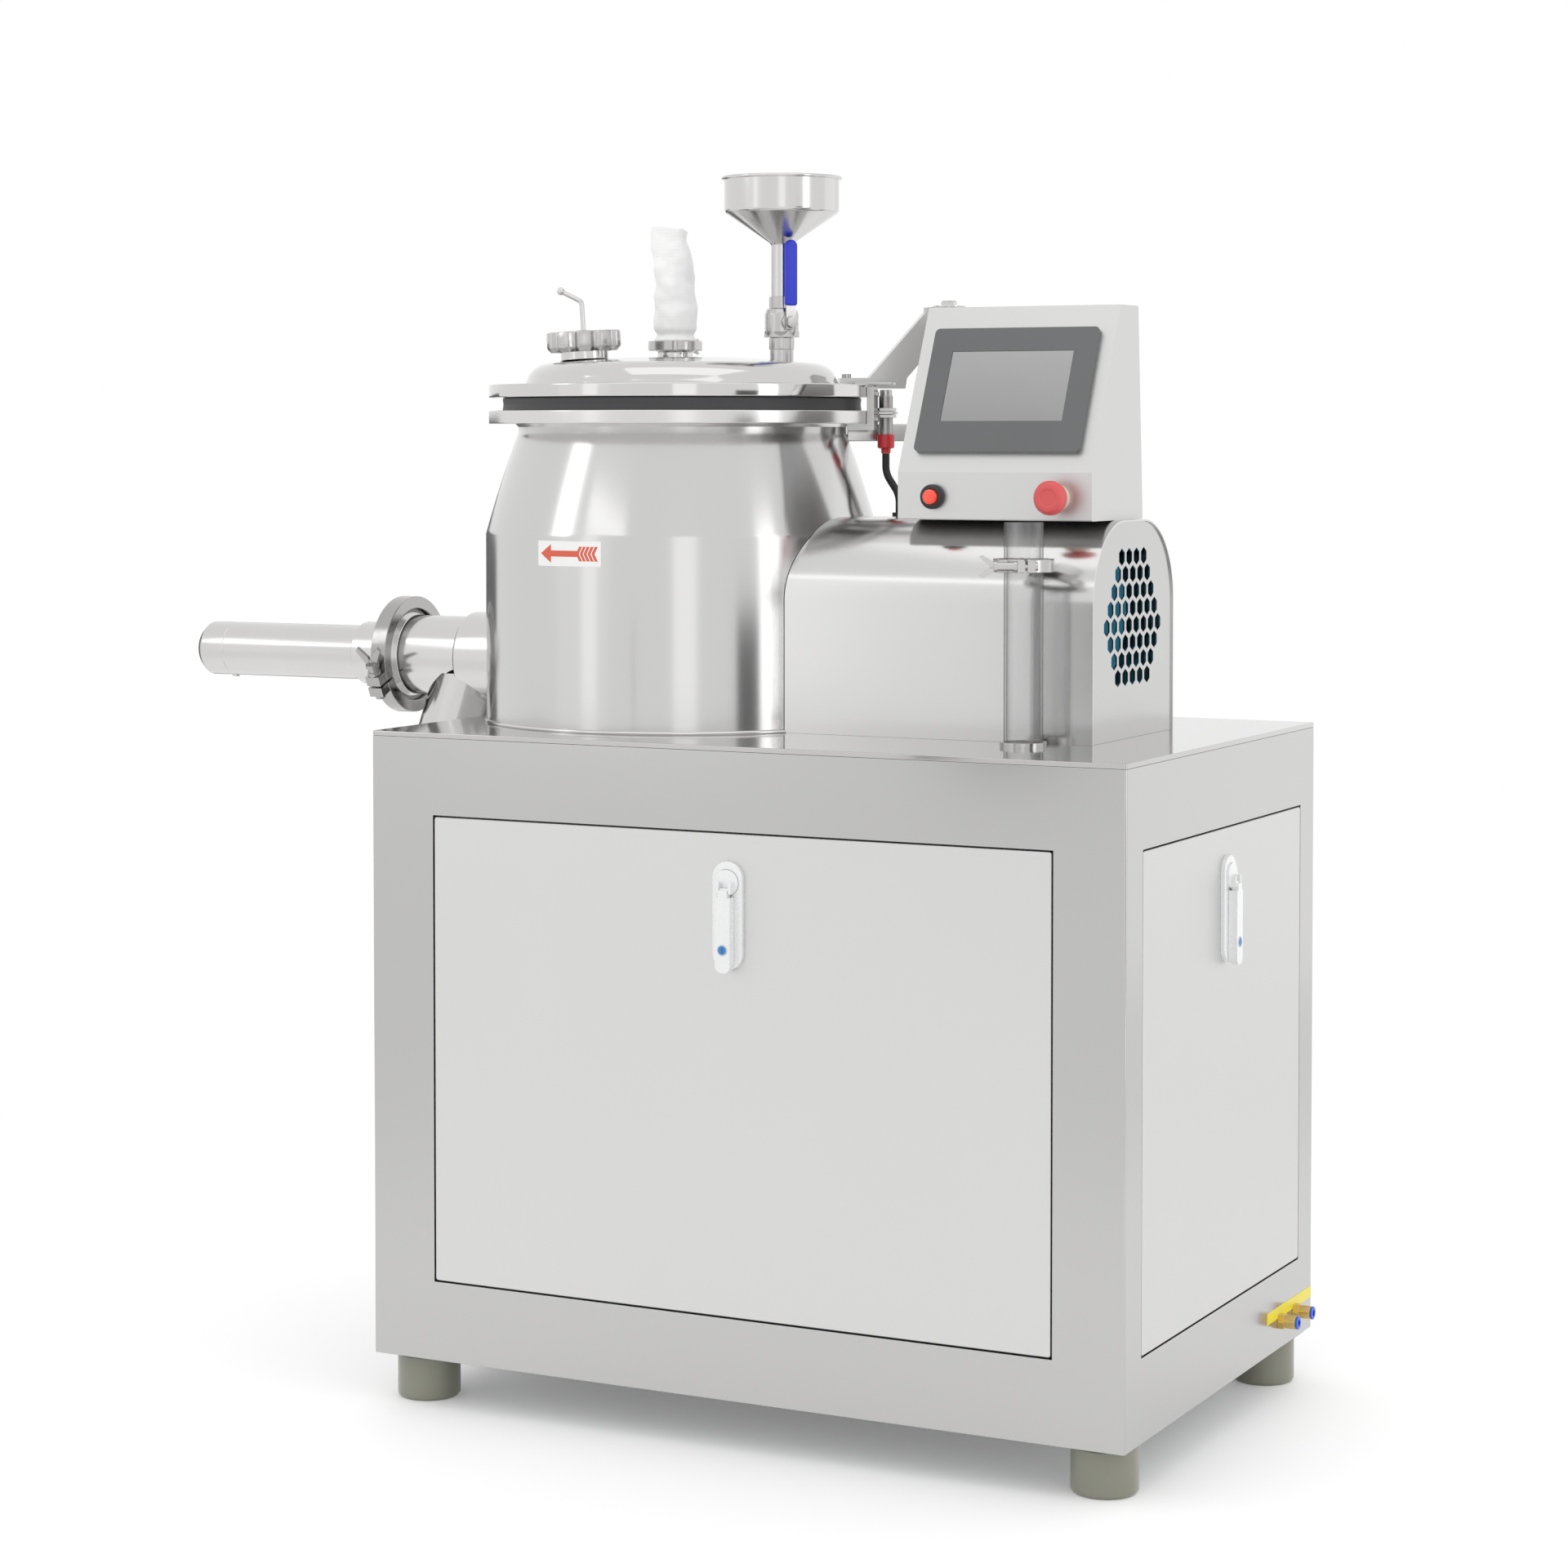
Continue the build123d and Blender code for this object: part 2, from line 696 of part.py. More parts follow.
def bowl_space(grow):
    wall = bowl_skin(BOWL_R + grow, NECK_R + grow, SHOULDER_Z)
    face = make_face(
        Plane.XZ * Polyline((0, BOWL_Z - 5), (BOWL_R + grow, BOWL_Z - 5), (BOWL_R + grow, SHOULDER_Z))
        + Plane.XZ * wall
        + Plane.XZ * Polyline((NECK_R + grow, NECK_Z), (0, NECK_Z), (0, BOWL_Z - 5))
    )
    return on_bowl_axis(revolve(face, Axis.Z, 360))


def bowl():
    inner_r = BOWL_R - BOWL_WALL
    inner_neck = NECK_R - BOWL_WALL
    shaft_hole = SHAFT_R + SHAFT_SEAL_W
    outer_line = Polyline(
        (shaft_hole, BOWL_Z), (BOWL_R + BEAD_W, BOWL_Z), (BOWL_R, BOWL_Z + BEAD_H), (BOWL_R, SHOULDER_Z)
    )
    flange_line = Polyline(
        (NECK_R, NECK_Z),
        (NECK_R, FLANGE_Z),
        (FLANGE_R, FLANGE_Z),
        (FLANGE_R, FLANGE_TOP_Z),
        (inner_neck, FLANGE_TOP_Z),
        (inner_neck, NECK_Z),
    )
    floor_line = Polyline(
        (inner_r, SHOULDER_Z), (inner_r, BOWL_FLOOR_Z), (shaft_hole, BOWL_FLOOR_Z), (shaft_hole, BOWL_Z)
    )
    face = make_face(
        Plane.XZ * outer_line
        + Plane.XZ * bowl_skin(BOWL_R, NECK_R, SHOULDER_Z)
        + Plane.XZ * flange_line
        + Plane.XZ * bowl_skin(inner_r, inner_neck, SHOULDER_Z)
        + Plane.XZ * floor_line
    )
    part = on_bowl_axis(revolve(face, Axis.Z, 360))
    part += discharge_collar()
    part = fillet(flare_edges(part), COLLAR_FLARE_R)
    part -= rod_x(TUBE_R - TUBE_WALL, COLLAR_X - 5, BOWL_X - BOWL_R / 2, AXIS_Y, TUBE_Z)
    part -= chute_solid(TUBE_R - TUBE_WALL)
    wall_x = BOWL_X + BOWL_R
    part -= rod_x(CHOPPER_BOSS_R - CHOPPER_BOSS_GAP, wall_x - BOWL_R / 2, wall_x + 5, AXIS_Y, CHOPPER_Z)
    tab = block(FLANGE_R - 4, FLANGE_R + SENSOR_OUT + 12, -TAB_W / 2, TAB_W / 2, 0, TAB_T)
    tab -= rod(SENSOR_D / 2 + GAP, -1, TAB_T + 1, FLANGE_R + SENSOR_OUT)
    part += around_bowl(SENSOR_ANGLE) * Pos(0, 0, FLANGE_TOP_Z - TAB_T - 1) * tab
    return part


def discharge_collar():
    deep = BOWL_X - BOWL_R + 50 - COLLAR_X
    profile = [
        (0, deep),
        (COLLAR_R, deep),
        (COLLAR_R, COLLAR_LIP),
        (TUBE_R + TUBE_WALL, 0),
        (0, 0),
    ]
    collar = Pos(COLLAR_X, AXIS_Y, TUBE_Z) * Rot(0, 90, 0) * spun_outline(profile)
    return collar - bowl_space(-BOWL_WALL / 2)


def flare_edges(part):
    found = []
    for edge in part.edges():
        middle = edge.center(CenterOf.BOUNDING_BOX)
        size = edge.bounding_box().size
        wide = abs(size.Z - 2 * COLLAR_R) < 1 or abs(size.Y - 2 * COLLAR_R) < 1
        if wide and abs(middle.Z - TUBE_Z) < 1 and middle.X > COLLAR_X + COLLAR_LIP + 5:
            found.append(edge)
    return found


def lid_gasket():
    ring = tube(GASKET_R, NECK_R - BOWL_WALL, FLANGE_TOP_Z, GASKET_TOP_Z)
    return on_bowl_axis(ring)


def guide_block():
    inner = FLANGE_R + GUIDE_CLEAR
    outer = inner + GUIDE_T
    half = GUIDE_W / 2
    body = block(inner - GUIDE_SEAT_IN, outer, -half, half, FLANGE_Z - 2, LID_TOP_Z - 3)
    body -= rod(inner, FLANGE_Z - 20, LID_TOP_Z + 1)
    body += block(NECK_R + GUIDE_PAD_CLEAR, outer, -half, half, FLANGE_Z - GUIDE_PAD_T, FLANGE_Z)
    for z in (FLANGE_Z + 5, LID_TOP_Z - 12):
        body += rod_x(GUIDE_BOLT_R, outer - 1, outer + GUIDE_BOLT_H, 0, z)
    return around_bowl(GUIDE_ANGLE) * body


# Lid
def lid():
    crown_mid_r = DOME_FLAT_R / 2
    crown_sag = DOME_RISE - DOME_EDGE_RISE
    crown_mid_z = DOME_Z - crown_sag / 4
    knuckle_mid = (
        DOME_FLAT_R + (DOME_R - DOME_FLAT_R) * math.sin(math.radians(48)),
        LID_TOP_Z + DOME_EDGE_RISE * math.cos(math.radians(48)) + 1.2,
    )
    t = LID_WALL
    face = make_face(
        Plane.XZ * ThreePointArc((0, DOME_Z), (crown_mid_r, crown_mid_z), (DOME_FLAT_R, DOME_EDGE_Z))
        + Plane.XZ * ThreePointArc((DOME_FLAT_R, DOME_EDGE_Z), knuckle_mid, (DOME_R, LID_TOP_Z))
        + Plane.XZ
        * Polyline(
            (DOME_R, LID_TOP_Z),
            (FLANGE_R, LID_TOP_Z),
            (FLANGE_R, LID_Z),
            (DOME_R - t, LID_Z),
            (DOME_R - t, LID_TOP_Z),
        )
        + Plane.XZ
        * ThreePointArc(
            (DOME_R - t, LID_TOP_Z),
            (knuckle_mid[0] - t * 0.7, knuckle_mid[1] - t * 0.7),
            (DOME_FLAT_R, DOME_EDGE_Z - t),
        )
        + Plane.XZ
        * ThreePointArc((DOME_FLAT_R, DOME_EDGE_Z - t), (crown_mid_r, crown_mid_z - t), (0, DOME_Z - t))
        + Plane.XZ * Line((0, DOME_Z - t), (0, DOME_Z))
    )
    part = on_bowl_axis(revolve(face, Axis.Z, 360))
    part += feed_frame() * tube(FEED_NECK_R, 1, -10, FEED_NECK_H - FEED_FLANGE_T)
    part += feed_frame() * tube(FEED_FLANGE_R, 1, FEED_NECK_H - FEED_FLANGE_T, FEED_NECK_H)
    part -= feed_frame() * rod(FEED_NECK_R - FEED_NECK_WALL, -30, FEED_NECK_H + 1)
    part += vent_frame() * rod(VENT_TUBE_R, -12, VENT_STUB_H)
    part += vent_frame() * rod(VENT_FERRULE_R, VENT_STUB_H - 3, VENT_STUB_H)
    part -= vent_frame() * rod(VENT_TUBE_R - 2, -30, VENT_STUB_H + 1)
    part += valve_frame() * rod(PIPE_R + 5, -8, 1.5)
    part -= valve_frame() * rod(PIPE_R + GAP, -30, 5)
    target = block(FLANGE_R - 22, FLANGE_R + SENSOR_OUT + 11, -TAB_W / 2, TAB_W / 2, 0, TARGET_T)
    part += around_bowl(SENSOR_ANGLE) * Pos(0, 0, LID_TOP_Z) * target
    return part


def crown_z(reach):
    sag = DOME_RISE - DOME_EDGE_RISE
    return DOME_Z - sag * (reach / DOME_FLAT_R) ** 2


def feed_frame():
    angle = math.radians(FEED_ANGLE)
    x = BOWL_X + FEED_OUT * math.cos(angle)
    y = AXIS_Y + FEED_OUT * math.sin(angle)
    return Pos(x, y, crown_z(FEED_OUT)) * Rot(0, 0, FEED_ANGLE) * Rot(0, FEED_TILT, 0)


def vent_frame():
    reach = math.hypot(VENT_X, VENT_Y)
    return Pos(BOWL_X + VENT_X, AXIS_Y + VENT_Y, crown_z(reach))


def valve_frame():
    angle = math.radians(VALVE_ANGLE)
    x = BOWL_X + VALVE_OUT * math.cos(angle)
    y = AXIS_Y + VALVE_OUT * math.sin(angle)
    return Pos(x, y, crown_z(VALVE_OUT)) * Rot(0, 0, STEM_ANGLE)


def lid_arm():
    z0 = LID_TOP_Z
    knee_z = z0 - ARM_KNEE_DROP
    slope = (ARM_RISE - ARM_BAR_T) / (POST_REACH - ARM_CREST_BACK - ARM_KNEE_IN)
    head_r = POST_REACH
    under_r = ARM_KNEE_OUT + (ARM_HEAD_Z - z0 - ARM_BAR_T) / slope
    outline = Polyline(
        (ARM_BAR_IN, z0),
        (FLANGE_R + GAP, z0),
        (FLANGE_R + GAP, knee_z),
        (ARM_KNEE_OUT - 2, knee_z),
        (ARM_KNEE_OUT, z0 + ARM_BAR_T),
        (under_r, ARM_HEAD_Z),
        (head_r, ARM_HEAD_Z),
        (head_r, ARM_TOP_Z),
        (head_r - ARM_CREST_BACK, ARM_TOP_Z),
        (ARM_KNEE_IN, z0 + ARM_BAR_T),
        (ARM_BAR_IN, z0 + ARM_BAR_T),
        close=True,
    )
    side = Plane.XZ * make_face(outline)
    body = extrude(side, ARM_W / 2, both=True)
    body += rod(ARM_HEAD_R, ARM_HEAD_Z, ARM_TOP_Z, head_r)
    body -= rod(SPIGOT_R + RUN_FIT, ARM_HEAD_Z - 5, ARM_TOP_Z + 1, head_r)
    body -= rod(POST_BORE_R + GAP, z0 - 20, ARM_HEAD_Z, head_r)
    for y in (-ARM_W / 4, ARM_W / 4):
        body += rod(ARM_SCREW_R, z0 + ARM_BAR_T - 1, z0 + ARM_BAR_T + 5, ARM_BAR_IN + ARM_SCREW_IN, y)
    return around_bowl(ARM_ANGLE) * body


def lift_rod():
    part = rod(POST_BORE_R - RUN_FIT, TOP_Z + ROD_RISE, ARM_HEAD_Z - GAP)
    part += rod(SPIGOT_R, ARM_HEAD_Z - 1, ARM_TOP_Z + GAP)
    washer_z = ARM_TOP_Z + GAP
    part += rod(SPIGOT_R + ARM_WASHER_W, washer_z, washer_z + ARM_WASHER_T)
    hexagon = extrude(RegularPolygon(ARM_NUT_R, 6), ARM_NUT_T)
    part += Pos(0, 0, washer_z + ARM_WASHER_T) * hexagon
    return Pos(POST_X, POST_Y, 0) * part


def lift_post():
    part = rod(POST_R, TOP_Z, FLANGE_Z + 2)
    part += rod(POST_FLANGE_R, TOP_Z, TOP_Z + POST_FLANGE_T)
    part -= rod(POST_BORE_R, TOP_Z + ROD_RISE - 10, FLANGE_Z + 10)
    for angle in range(45, 360, 90):
        c = math.cos(math.radians(angle)) * (POST_FLANGE_R - POST_BOLT_IN)
        s = math.sin(math.radians(angle)) * (POST_FLANGE_R - POST_BOLT_IN)
        z = TOP_Z + POST_FLANGE_T
        part += rod(POST_BOLT_R, z - 1, z + POST_BOLT_H, c, s)
    part = Pos(POST_X, POST_Y, 0) * part
    half = STAY_W / 2
    stay = block(NECK_R + GAP, POST_REACH - POST_R + 4, -half, half, FLANGE_Z - STAY_H, FLANGE_Z)
    return part + (around_bowl(ARM_ANGLE) * stay - bowl_space(GAP) - neck_space())


def neck_space():
    return rod(NECK_R + GAP, NECK_Z - 1, FLANGE_Z + 1, BOWL_X, AXIS_Y)


# Lid sensor and its cable
def sensor_frame():
    return around_bowl(SENSOR_ANGLE) * Pos(FLANGE_R + SENSOR_OUT, 0, 0)


SENSOR_TOP_Z = LID_TOP_Z - SENSOR_GAP
SENSOR_LOW_Z = SENSOR_TOP_Z - SENSOR_L


def sensor_body():
    body = rod(SENSOR_D / 2, SENSOR_LOW_Z, SENSOR_TOP_Z)
    body = chamfer(body.edges().group_by(Axis.Z)[-1], 1.0)
    tab_z = FLANGE_TOP_Z - TAB_T - 1
    nut = extrude(RegularPolygon(SENSOR_D / 2 + SENSOR_NUT_W, 6), SENSOR_NUT_T)
    body += Pos(0, 0, tab_z + TAB_T + GAP) * nut
    body += Pos(0, 0, tab_z - SENSOR_NUT_T - GAP) * nut
    return sensor_frame() * body


def sensor_plug():
    plug_z = SENSOR_LOW_Z - SENSOR_PLUG_L
    body = rod(SENSOR_D / 2 + SENSOR_PLUG_W, plug_z, SENSOR_LOW_Z)
    body = fillet(body.edges().group_by(Axis.Z)[0], 2.0)
    body += rod(CABLE_D / 2 + SENSOR_PLUG_W, plug_z - SENSOR_TAIL_L, plug_z + 1)
    return sensor_frame() * body


def lid_sensor():
    return Compound([sensor_body(), sensor_plug()])


def housing_surface_z(y):
    flat = HOUSING_W / 2 - HOUSING_CORNER_R
    over = max(0.0, abs(y - AXIS_Y) - flat)
    return HOUSING_TOP_Z - HOUSING_CORNER_R + math.sqrt(HOUSING_CORNER_R**2 - over**2)


SENSOR_X = BOWL_X + (FLANGE_R + SENSOR_OUT) * math.cos(math.radians(SENSOR_ANGLE))
SENSOR_Y = AXIS_Y + (FLANGE_R + SENSOR_OUT) * math.sin(math.radians(SENSOR_ANGLE))
CABLE_TOP_Z = SENSOR_LOW_Z - SENSOR_PLUG_L - SENSOR_TAIL_L
CABLE_FOOT_X = SENSOR_X + CABLE_OUT
CABLE_FOOT_Y = SENSOR_Y - CABLE_FORWARD
CABLE_FOOT_Z = housing_surface_z(CABLE_FOOT_Y) + CABLE_RISE


def sensor_cable():
    drop = CABLE_TOP_Z - CABLE_FOOT_Z
    points = [
        (SENSOR_X, SENSOR_Y, CABLE_TOP_Z),
        (SENSOR_X, SENSOR_Y, CABLE_TOP_Z - drop * 0.34),
        (CABLE_FOOT_X, CABLE_FOOT_Y, CABLE_TOP_Z - drop * 0.70),
        (CABLE_FOOT_X, CABLE_FOOT_Y, CABLE_FOOT_Z),
    ]
    path = FilletPolyline(*points, radius=CABLE_BEND_R)
    start = Plane(origin=points[0], z_dir=(0, 0, -1))
    return sweep(start * Circle(CABLE_D / 2), path=path)


def housing_gland():
    low = CABLE_FOOT_Z - CABLE_GLAND_L
    body = rod(CABLE_D / 2 + CABLE_GLAND_W, low, CABLE_FOOT_Z, CABLE_FOOT_X, CABLE_FOOT_Y)
    return body - rod(CABLE_D / 2 - 1, low - 6, CABLE_FOOT_Z - 2, CABLE_FOOT_X, CABLE_FOOT_Y)


# Feed cap with its hand nut
def feed_nut():
    z0 = FEED_NECK_H - FEED_FLANGE_T - 8
    top = z0 + NUT_H
    body = rod(NUT_R, z0, top)
    body = chamfer(body.edges().group_by(Axis.Z)[0], 5.0)
    body = fillet(body.edges().group_by(Axis.Z)[-1], 1.5)
    for i in range(NUT_LOBES):
        turn = 360.0 * i / NUT_LOBES
        body -= Rot(0, 0, turn) * rod(NUT_FLUTE_R, z0 - 1, top + 1, NUT_R + NUT_FLUTE_R - 3.0)
    body -= rod(FEED_FLANGE_R + GAP, z0 - 1, FEED_NECK_H + CAP_T + GAP)
    body -= rod(HANDLE_D / 2 + 8.0, top - NUT_H / 2, top + 1)
    return feed_frame() * body


def feed_cap():
    z0 = FEED_NECK_H + GAP
    top = FEED_NECK_H - FEED_FLANGE_T - 8 + NUT_H
    disc = rod(FEED_FLANGE_R - 0.5, z0, FEED_NECK_H + CAP_T - GAP)
    disc += rod(HANDLE_D / 2 + 7.5, z0, top - 0.5)
    disc += rod(FEED_NECK_R - FEED_NECK_WALL - 1, z0 - 6, z0 + 1)
    bend = (0, 0, top + HANDLE_RISE)
    tip = (HANDLE_REACH, 0, top + HANDLE_RISE + HANDLE_TIP_RISE)
    path = FilletPolyline((0, 0, top - 3), bend, tip, radius=9.0)
    stem = sweep(Plane(origin=(0, 0, top - 3), z_dir=(0, 0, 1)) * Circle(HANDLE_D / 2), path=path)
    knob = Pos(*tip) * Sphere(HANDLE_D / 2 + 2.0)
    return feed_frame() * (disc + stem + knob)


# Hinged clamps with a swing bolt on local +X that runs along local Y
def clamp_ring(inner, outer, height, lug, shank):
    ring = tube(outer, inner, -height / 2, height / 2)
    ring = chamfer(ring.edges().group_by(Axis.Z)[0] + ring.edges().group_by(Axis.Z)[-1], 0.8)
    lug_x = outer + lug * 0.55
    ring += block(outer - 3, lug_x + lug * 0.6, 1.5, lug, -height / 2 + 1, height / 2 - 1)
    ring += block(outer - 3, lug_x + lug * 0.6, -lug, -1.5, -height / 2 + 1, height / 2 - 1)
    ring -= block(inner - 5, outer + 3 * lug, -1.5, 1.5, -height, height)
    ring -= block(-outer - 3 * lug, -inner + 5, -1.0, 1.0, -height, height)
    ring += rod(lug * 0.45, -height / 2, height / 2, -outer - lug * 0.1, 0)
    ring -= rod(inner, -height, height)
    head_end = 1.35 * lug
    bolt = rod_y(lug * 0.22, -lug - shank - 0.5 * lug, head_end, lug_x, 0)
    bolt += rod_y(lug * 0.45, lug - 1, head_end, lug_x, 0)
    return ring + bolt


def clamp_nut(outer, lug, shank):
    seat = -lug - GAP
    axis_x = outer + lug * 0.55
    end = seat - shank
    nut = rod_y(lug * 0.5, end, seat, axis_x, 0)
    nut += rod_y(lug * 0.62, seat - lug * 0.35, seat, axis_x, 0)
    nut += rod_y(lug * 0.62, end, end + lug * 0.35, axis_x, 0)
    outline = [
        (-lug * 0.3, end + 1),
        (lug * 0.3, end + 1),
        (lug * 0.55, end),
        (lug * 1.3, end - lug * 1.3),
        (lug * 1.05, end - lug * 1.65),
        (0, end - lug * 0.45),
        (-lug * 1.05, end - lug * 1.65),
        (-lug * 1.3, end - lug * 1.3),
        (-lug * 0.55, end),
    ]
    wing_plane = Plane(origin=(axis_x, 0, 0), x_dir=(0, 0, 1), z_dir=(-1, 0, 0))
    wings = extrude(wing_plane * make_face(Polyline(*outline, close=True)), lug * 0.16, both=True)
    bore = rod_y(lug * 0.22 + RUN_FIT, end - lug, seat + 1, axis_x, 0)
    return nut + wings - bore


# Vent
def vent_clamp():
    ring = clamp_ring(VENT_FERRULE_R + GAP, VENT_CLAMP_R, VENT_CLAMP_H, VENT_LUG, VENT_SHANK)
    return vent_clamp_frame() * ring


def vent_clamp_frame():
    height = VENT_STUB_H + VENT_CLAMP_H / 2 - 3
    return vent_frame() * Pos(0, 0, height) * Rot(0, 0, VENT_CLAMP_ANGLE)


def vent_nut():
    return vent_clamp_frame() * clamp_nut(VENT_CLAMP_R, VENT_LUG, VENT_SHANK)


def vent_insert():
    z0 = VENT_STUB_H
    part = tube(VENT_FERRULE_R, VENT_TUBE_R - 2, z0, z0 + 3)
    part += tube(VENT_TUBE_R, VENT_TUBE_R - 2, z0 + 2, z0 + 26)
    return vent_frame() * part


def vent_fitting():
    return Compound([vent_clamp(), vent_insert()])


def filter_bag():
    z0 = VENT_STUB_H + VENT_CLAMP_H - 2.5
    outline = Polyline(
        (0, z0), (VENT_TUBE_R + 3, z0), (BAG_R, z0 + 14), (BAG_R, z0 + BAG_H - 26), (BAG_R - 14, z0 + BAG_H)
    )
    face = make_face(
        Plane.XZ * outline + Plane.XZ * Polyline((BAG_R - 14, z0 + BAG_H), (0, z0 + BAG_H), (0, z0))
    )
    bag = revolve(face, Axis.Z, 360)
    return vent_frame() * (bag - rod(VENT_TUBE_R + GAP, z0 - 1, VENT_STUB_H + 26 + GAP))


# Ball valve and funnel, with heights above the lid
NIPPLE_TOP = NIPPLE_H
LOWER_COLLAR_TOP = NIPPLE_TOP + VALVE_COLLAR_H
VALVE_TOP = LOWER_COLLAR_TOP + VALVE_BODY_H
UPPER_COLLAR_TOP = VALVE_TOP + VALVE_COLLAR_H
STEM_RISE = VALVE_TOP - VALVE_BODY_H * 0.48


def valve_body():
    part = rod(PIPE_R + 1.5, 1.5, NIPPLE_TOP)
    part += rod(PIPE_R, -8, 3)
    part += rod(VALVE_COLLAR_R, NIPPLE_TOP, LOWER_COLLAR_TOP)
    part += Pos(0, 0, LOWER_COLLAR_TOP) * extrude(RegularPolygon(VALVE_BODY_R + 1, 6), 8)
    part += rod(VALVE_BODY_R, LOWER_COLLAR_TOP + 7, VALVE_TOP)
    part += rod(VALVE_COLLAR_R, VALVE_TOP, UPPER_COLLAR_TOP)
    part += rod_x(STEM_R + 5, 0, VALVE_BODY_R + 4, 0, STEM_RISE)
    part -= Pos(0, 0, STEM_RISE) * Sphere(BALL_R + RUN_FIT)
    part -= rod(PIPE_BORE_R, -10, UPPER_COLLAR_TOP - 10)
    part -= rod(PIPE_R + RUN_FIT, UPPER_COLLAR_TOP - 10, UPPER_COLLAR_TOP + 1)
    part -= rod_x(STEM_R + RUN_FIT, 0, VALVE_BODY_R + 10, 0, STEM_RISE)
    return valve_frame() * part


def valve_stem():
    ball = Pos(0, 0, STEM_RISE) * Sphere(BALL_R)
    ball -= rod(PIPE_BORE_R, STEM_RISE - 30, STEM_RISE + 30)
    stem = rod_x(STEM_R, BALL_R - 2, STEM_OUT + 2, 0, STEM_RISE)
    x0 = VALVE_BODY_R + 4 + GAP
    half = LEVER_PLATE_W / 2
    plate = block(x0, x0 + LEVER_PLATE_T, -half, half, STEM_RISE - 9, STEM_RISE + LEVER_LENGTH - 4)
    nut = Pos(x0 + LEVER_PLATE_T, 0, STEM_RISE) * Rot(0, 90, 0) * extrude(RegularPolygon(7.5, 6), 5)
    return valve_frame() * (ball + stem + plate + nut)


def valve_grip():
    x0 = VALVE_BODY_R + 4 + GAP - (GRIP_T - LEVER_PLATE_T) / 2
    z1 = STEM_RISE + LEVER_LENGTH
    grip = block(x0, x0 + GRIP_T, -GRIP_W / 2, GRIP_W / 2, z1 - GRIP_L, z1)
    grip = fillet(grip.edges().filter_by(Axis.X).group_by(Axis.Z)[-1], GRIP_W / 2 - 0.5)
    grip = fillet(grip.edges().filter_by(Axis.X).group_by(Axis.Z)[0], 3.0)
    x0 = VALVE_BODY_R + 4 + GAP
    slot = block(
        x0, x0 + LEVER_PLATE_T, -LEVER_PLATE_W / 2, LEVER_PLATE_W / 2, z1 - GRIP_L - 1, z1 - 4
    )
    return valve_frame() * (grip - slot)


def funnel():
    z0 = UPPER_COLLAR_TOP - 10 + GAP
    z1 = UPPER_COLLAR_TOP + FUNNEL_PIPE_H
    z2 = z1 + FUNNEL_CONE_H
    z3 = z2 + FUNNEL_WALL_H
    t = FUNNEL_T
    outline = [
        (PIPE_R, z0),
        (PIPE_R, z1),
        (FUNNEL_R, z2),
        (FUNNEL_R, z3 - 3),
        (FUNNEL_RIM_R, z3 - 3),
        (FUNNEL_RIM_R, z3),
        (FUNNEL_R - t, z3),
        (FUNNEL_R - t, z2 + t / 2),
        (PIPE_BORE_R, z1 + t / 2),
        (PIPE_BORE_R, z0),
    ]
    return valve_frame() * spun_outline(outline)


# Impeller and its drive
def impeller():
    z0 = BOWL_FLOOR_Z + IMPELLER_CLEAR
    hub = spun_outline([(0, z0), (HUB_R, z0), (HUB_R, z0 + 14), (HUB_TOP_R, z0 + HUB_H), (0, z0 + HUB_H)])
    hub = fillet(hub.edges().group_by(Axis.Z)[-1], 8.0)
    half_rise = BLADE_W / 2 * math.sin(math.radians(BLADE_PITCH)) + BLADE_T / 2
    blade = block(HUB_R / 2, IMPELLER_R, -BLADE_W / 2, BLADE_W / 2, -BLADE_T / 2, BLADE_T / 2)
    blade = Pos(0, 0, z0 + half_rise) * Rot(BLADE_PITCH, 0, 0) * blade
    blade &= rod(IMPELLER_R, z0, z0 + HUB_H)
    part = hub
    for i in range(BLADE_COUNT):
        part += Rot(0, 0, 20 + 360.0 * i / BLADE_COUNT) * blade
    part -= rod(SHAFT_R, z0 - 1, z0 + HUB_H * 0.55)
    return on_bowl_axis(part)


def impeller_shaft():
    top = BOWL_FLOOR_Z + IMPELLER_CLEAR + HUB_H * 0.55
    shaft = rod(SHAFT_R, PULLEY_Z - 6, top)
    pulley = tube(DRIVEN_PULLEY_R, SHAFT_R, PULLEY_Z, PULLEY_Z + PULLEY_T)
    pulley -= tube(DRIVEN_PULLEY_R + 5, DRIVEN_PULLEY_R - BELT_T, *belt_levels())
    return on_bowl_axis(shaft + pulley)


def belt_levels():
    middle = PULLEY_Z + PULLEY_T / 2
    return middle - BELT_W / 2 - GAP, middle + BELT_W / 2 + GAP


def impeller_bearing():
    top = BOWL_Z
    low = top - BEARING_HOUSING_L
    part = rod(BEARING_HOUSING_R, low, top - TOP_T)
    part += rod(BEARING_FLANGE_R, top - TOP_T - BEARING_FLANGE_T, top - TOP_T)
    part += rod(SHAFT_R + SHAFT_SEAL_W - GAP, top - TOP_T, BOWL_FLOOR_Z + 1)
    part -= rod(SHAFT_R + RUN_FIT, low - 1, BOWL_FLOOR_Z + 5)
    return on_bowl_axis(part)


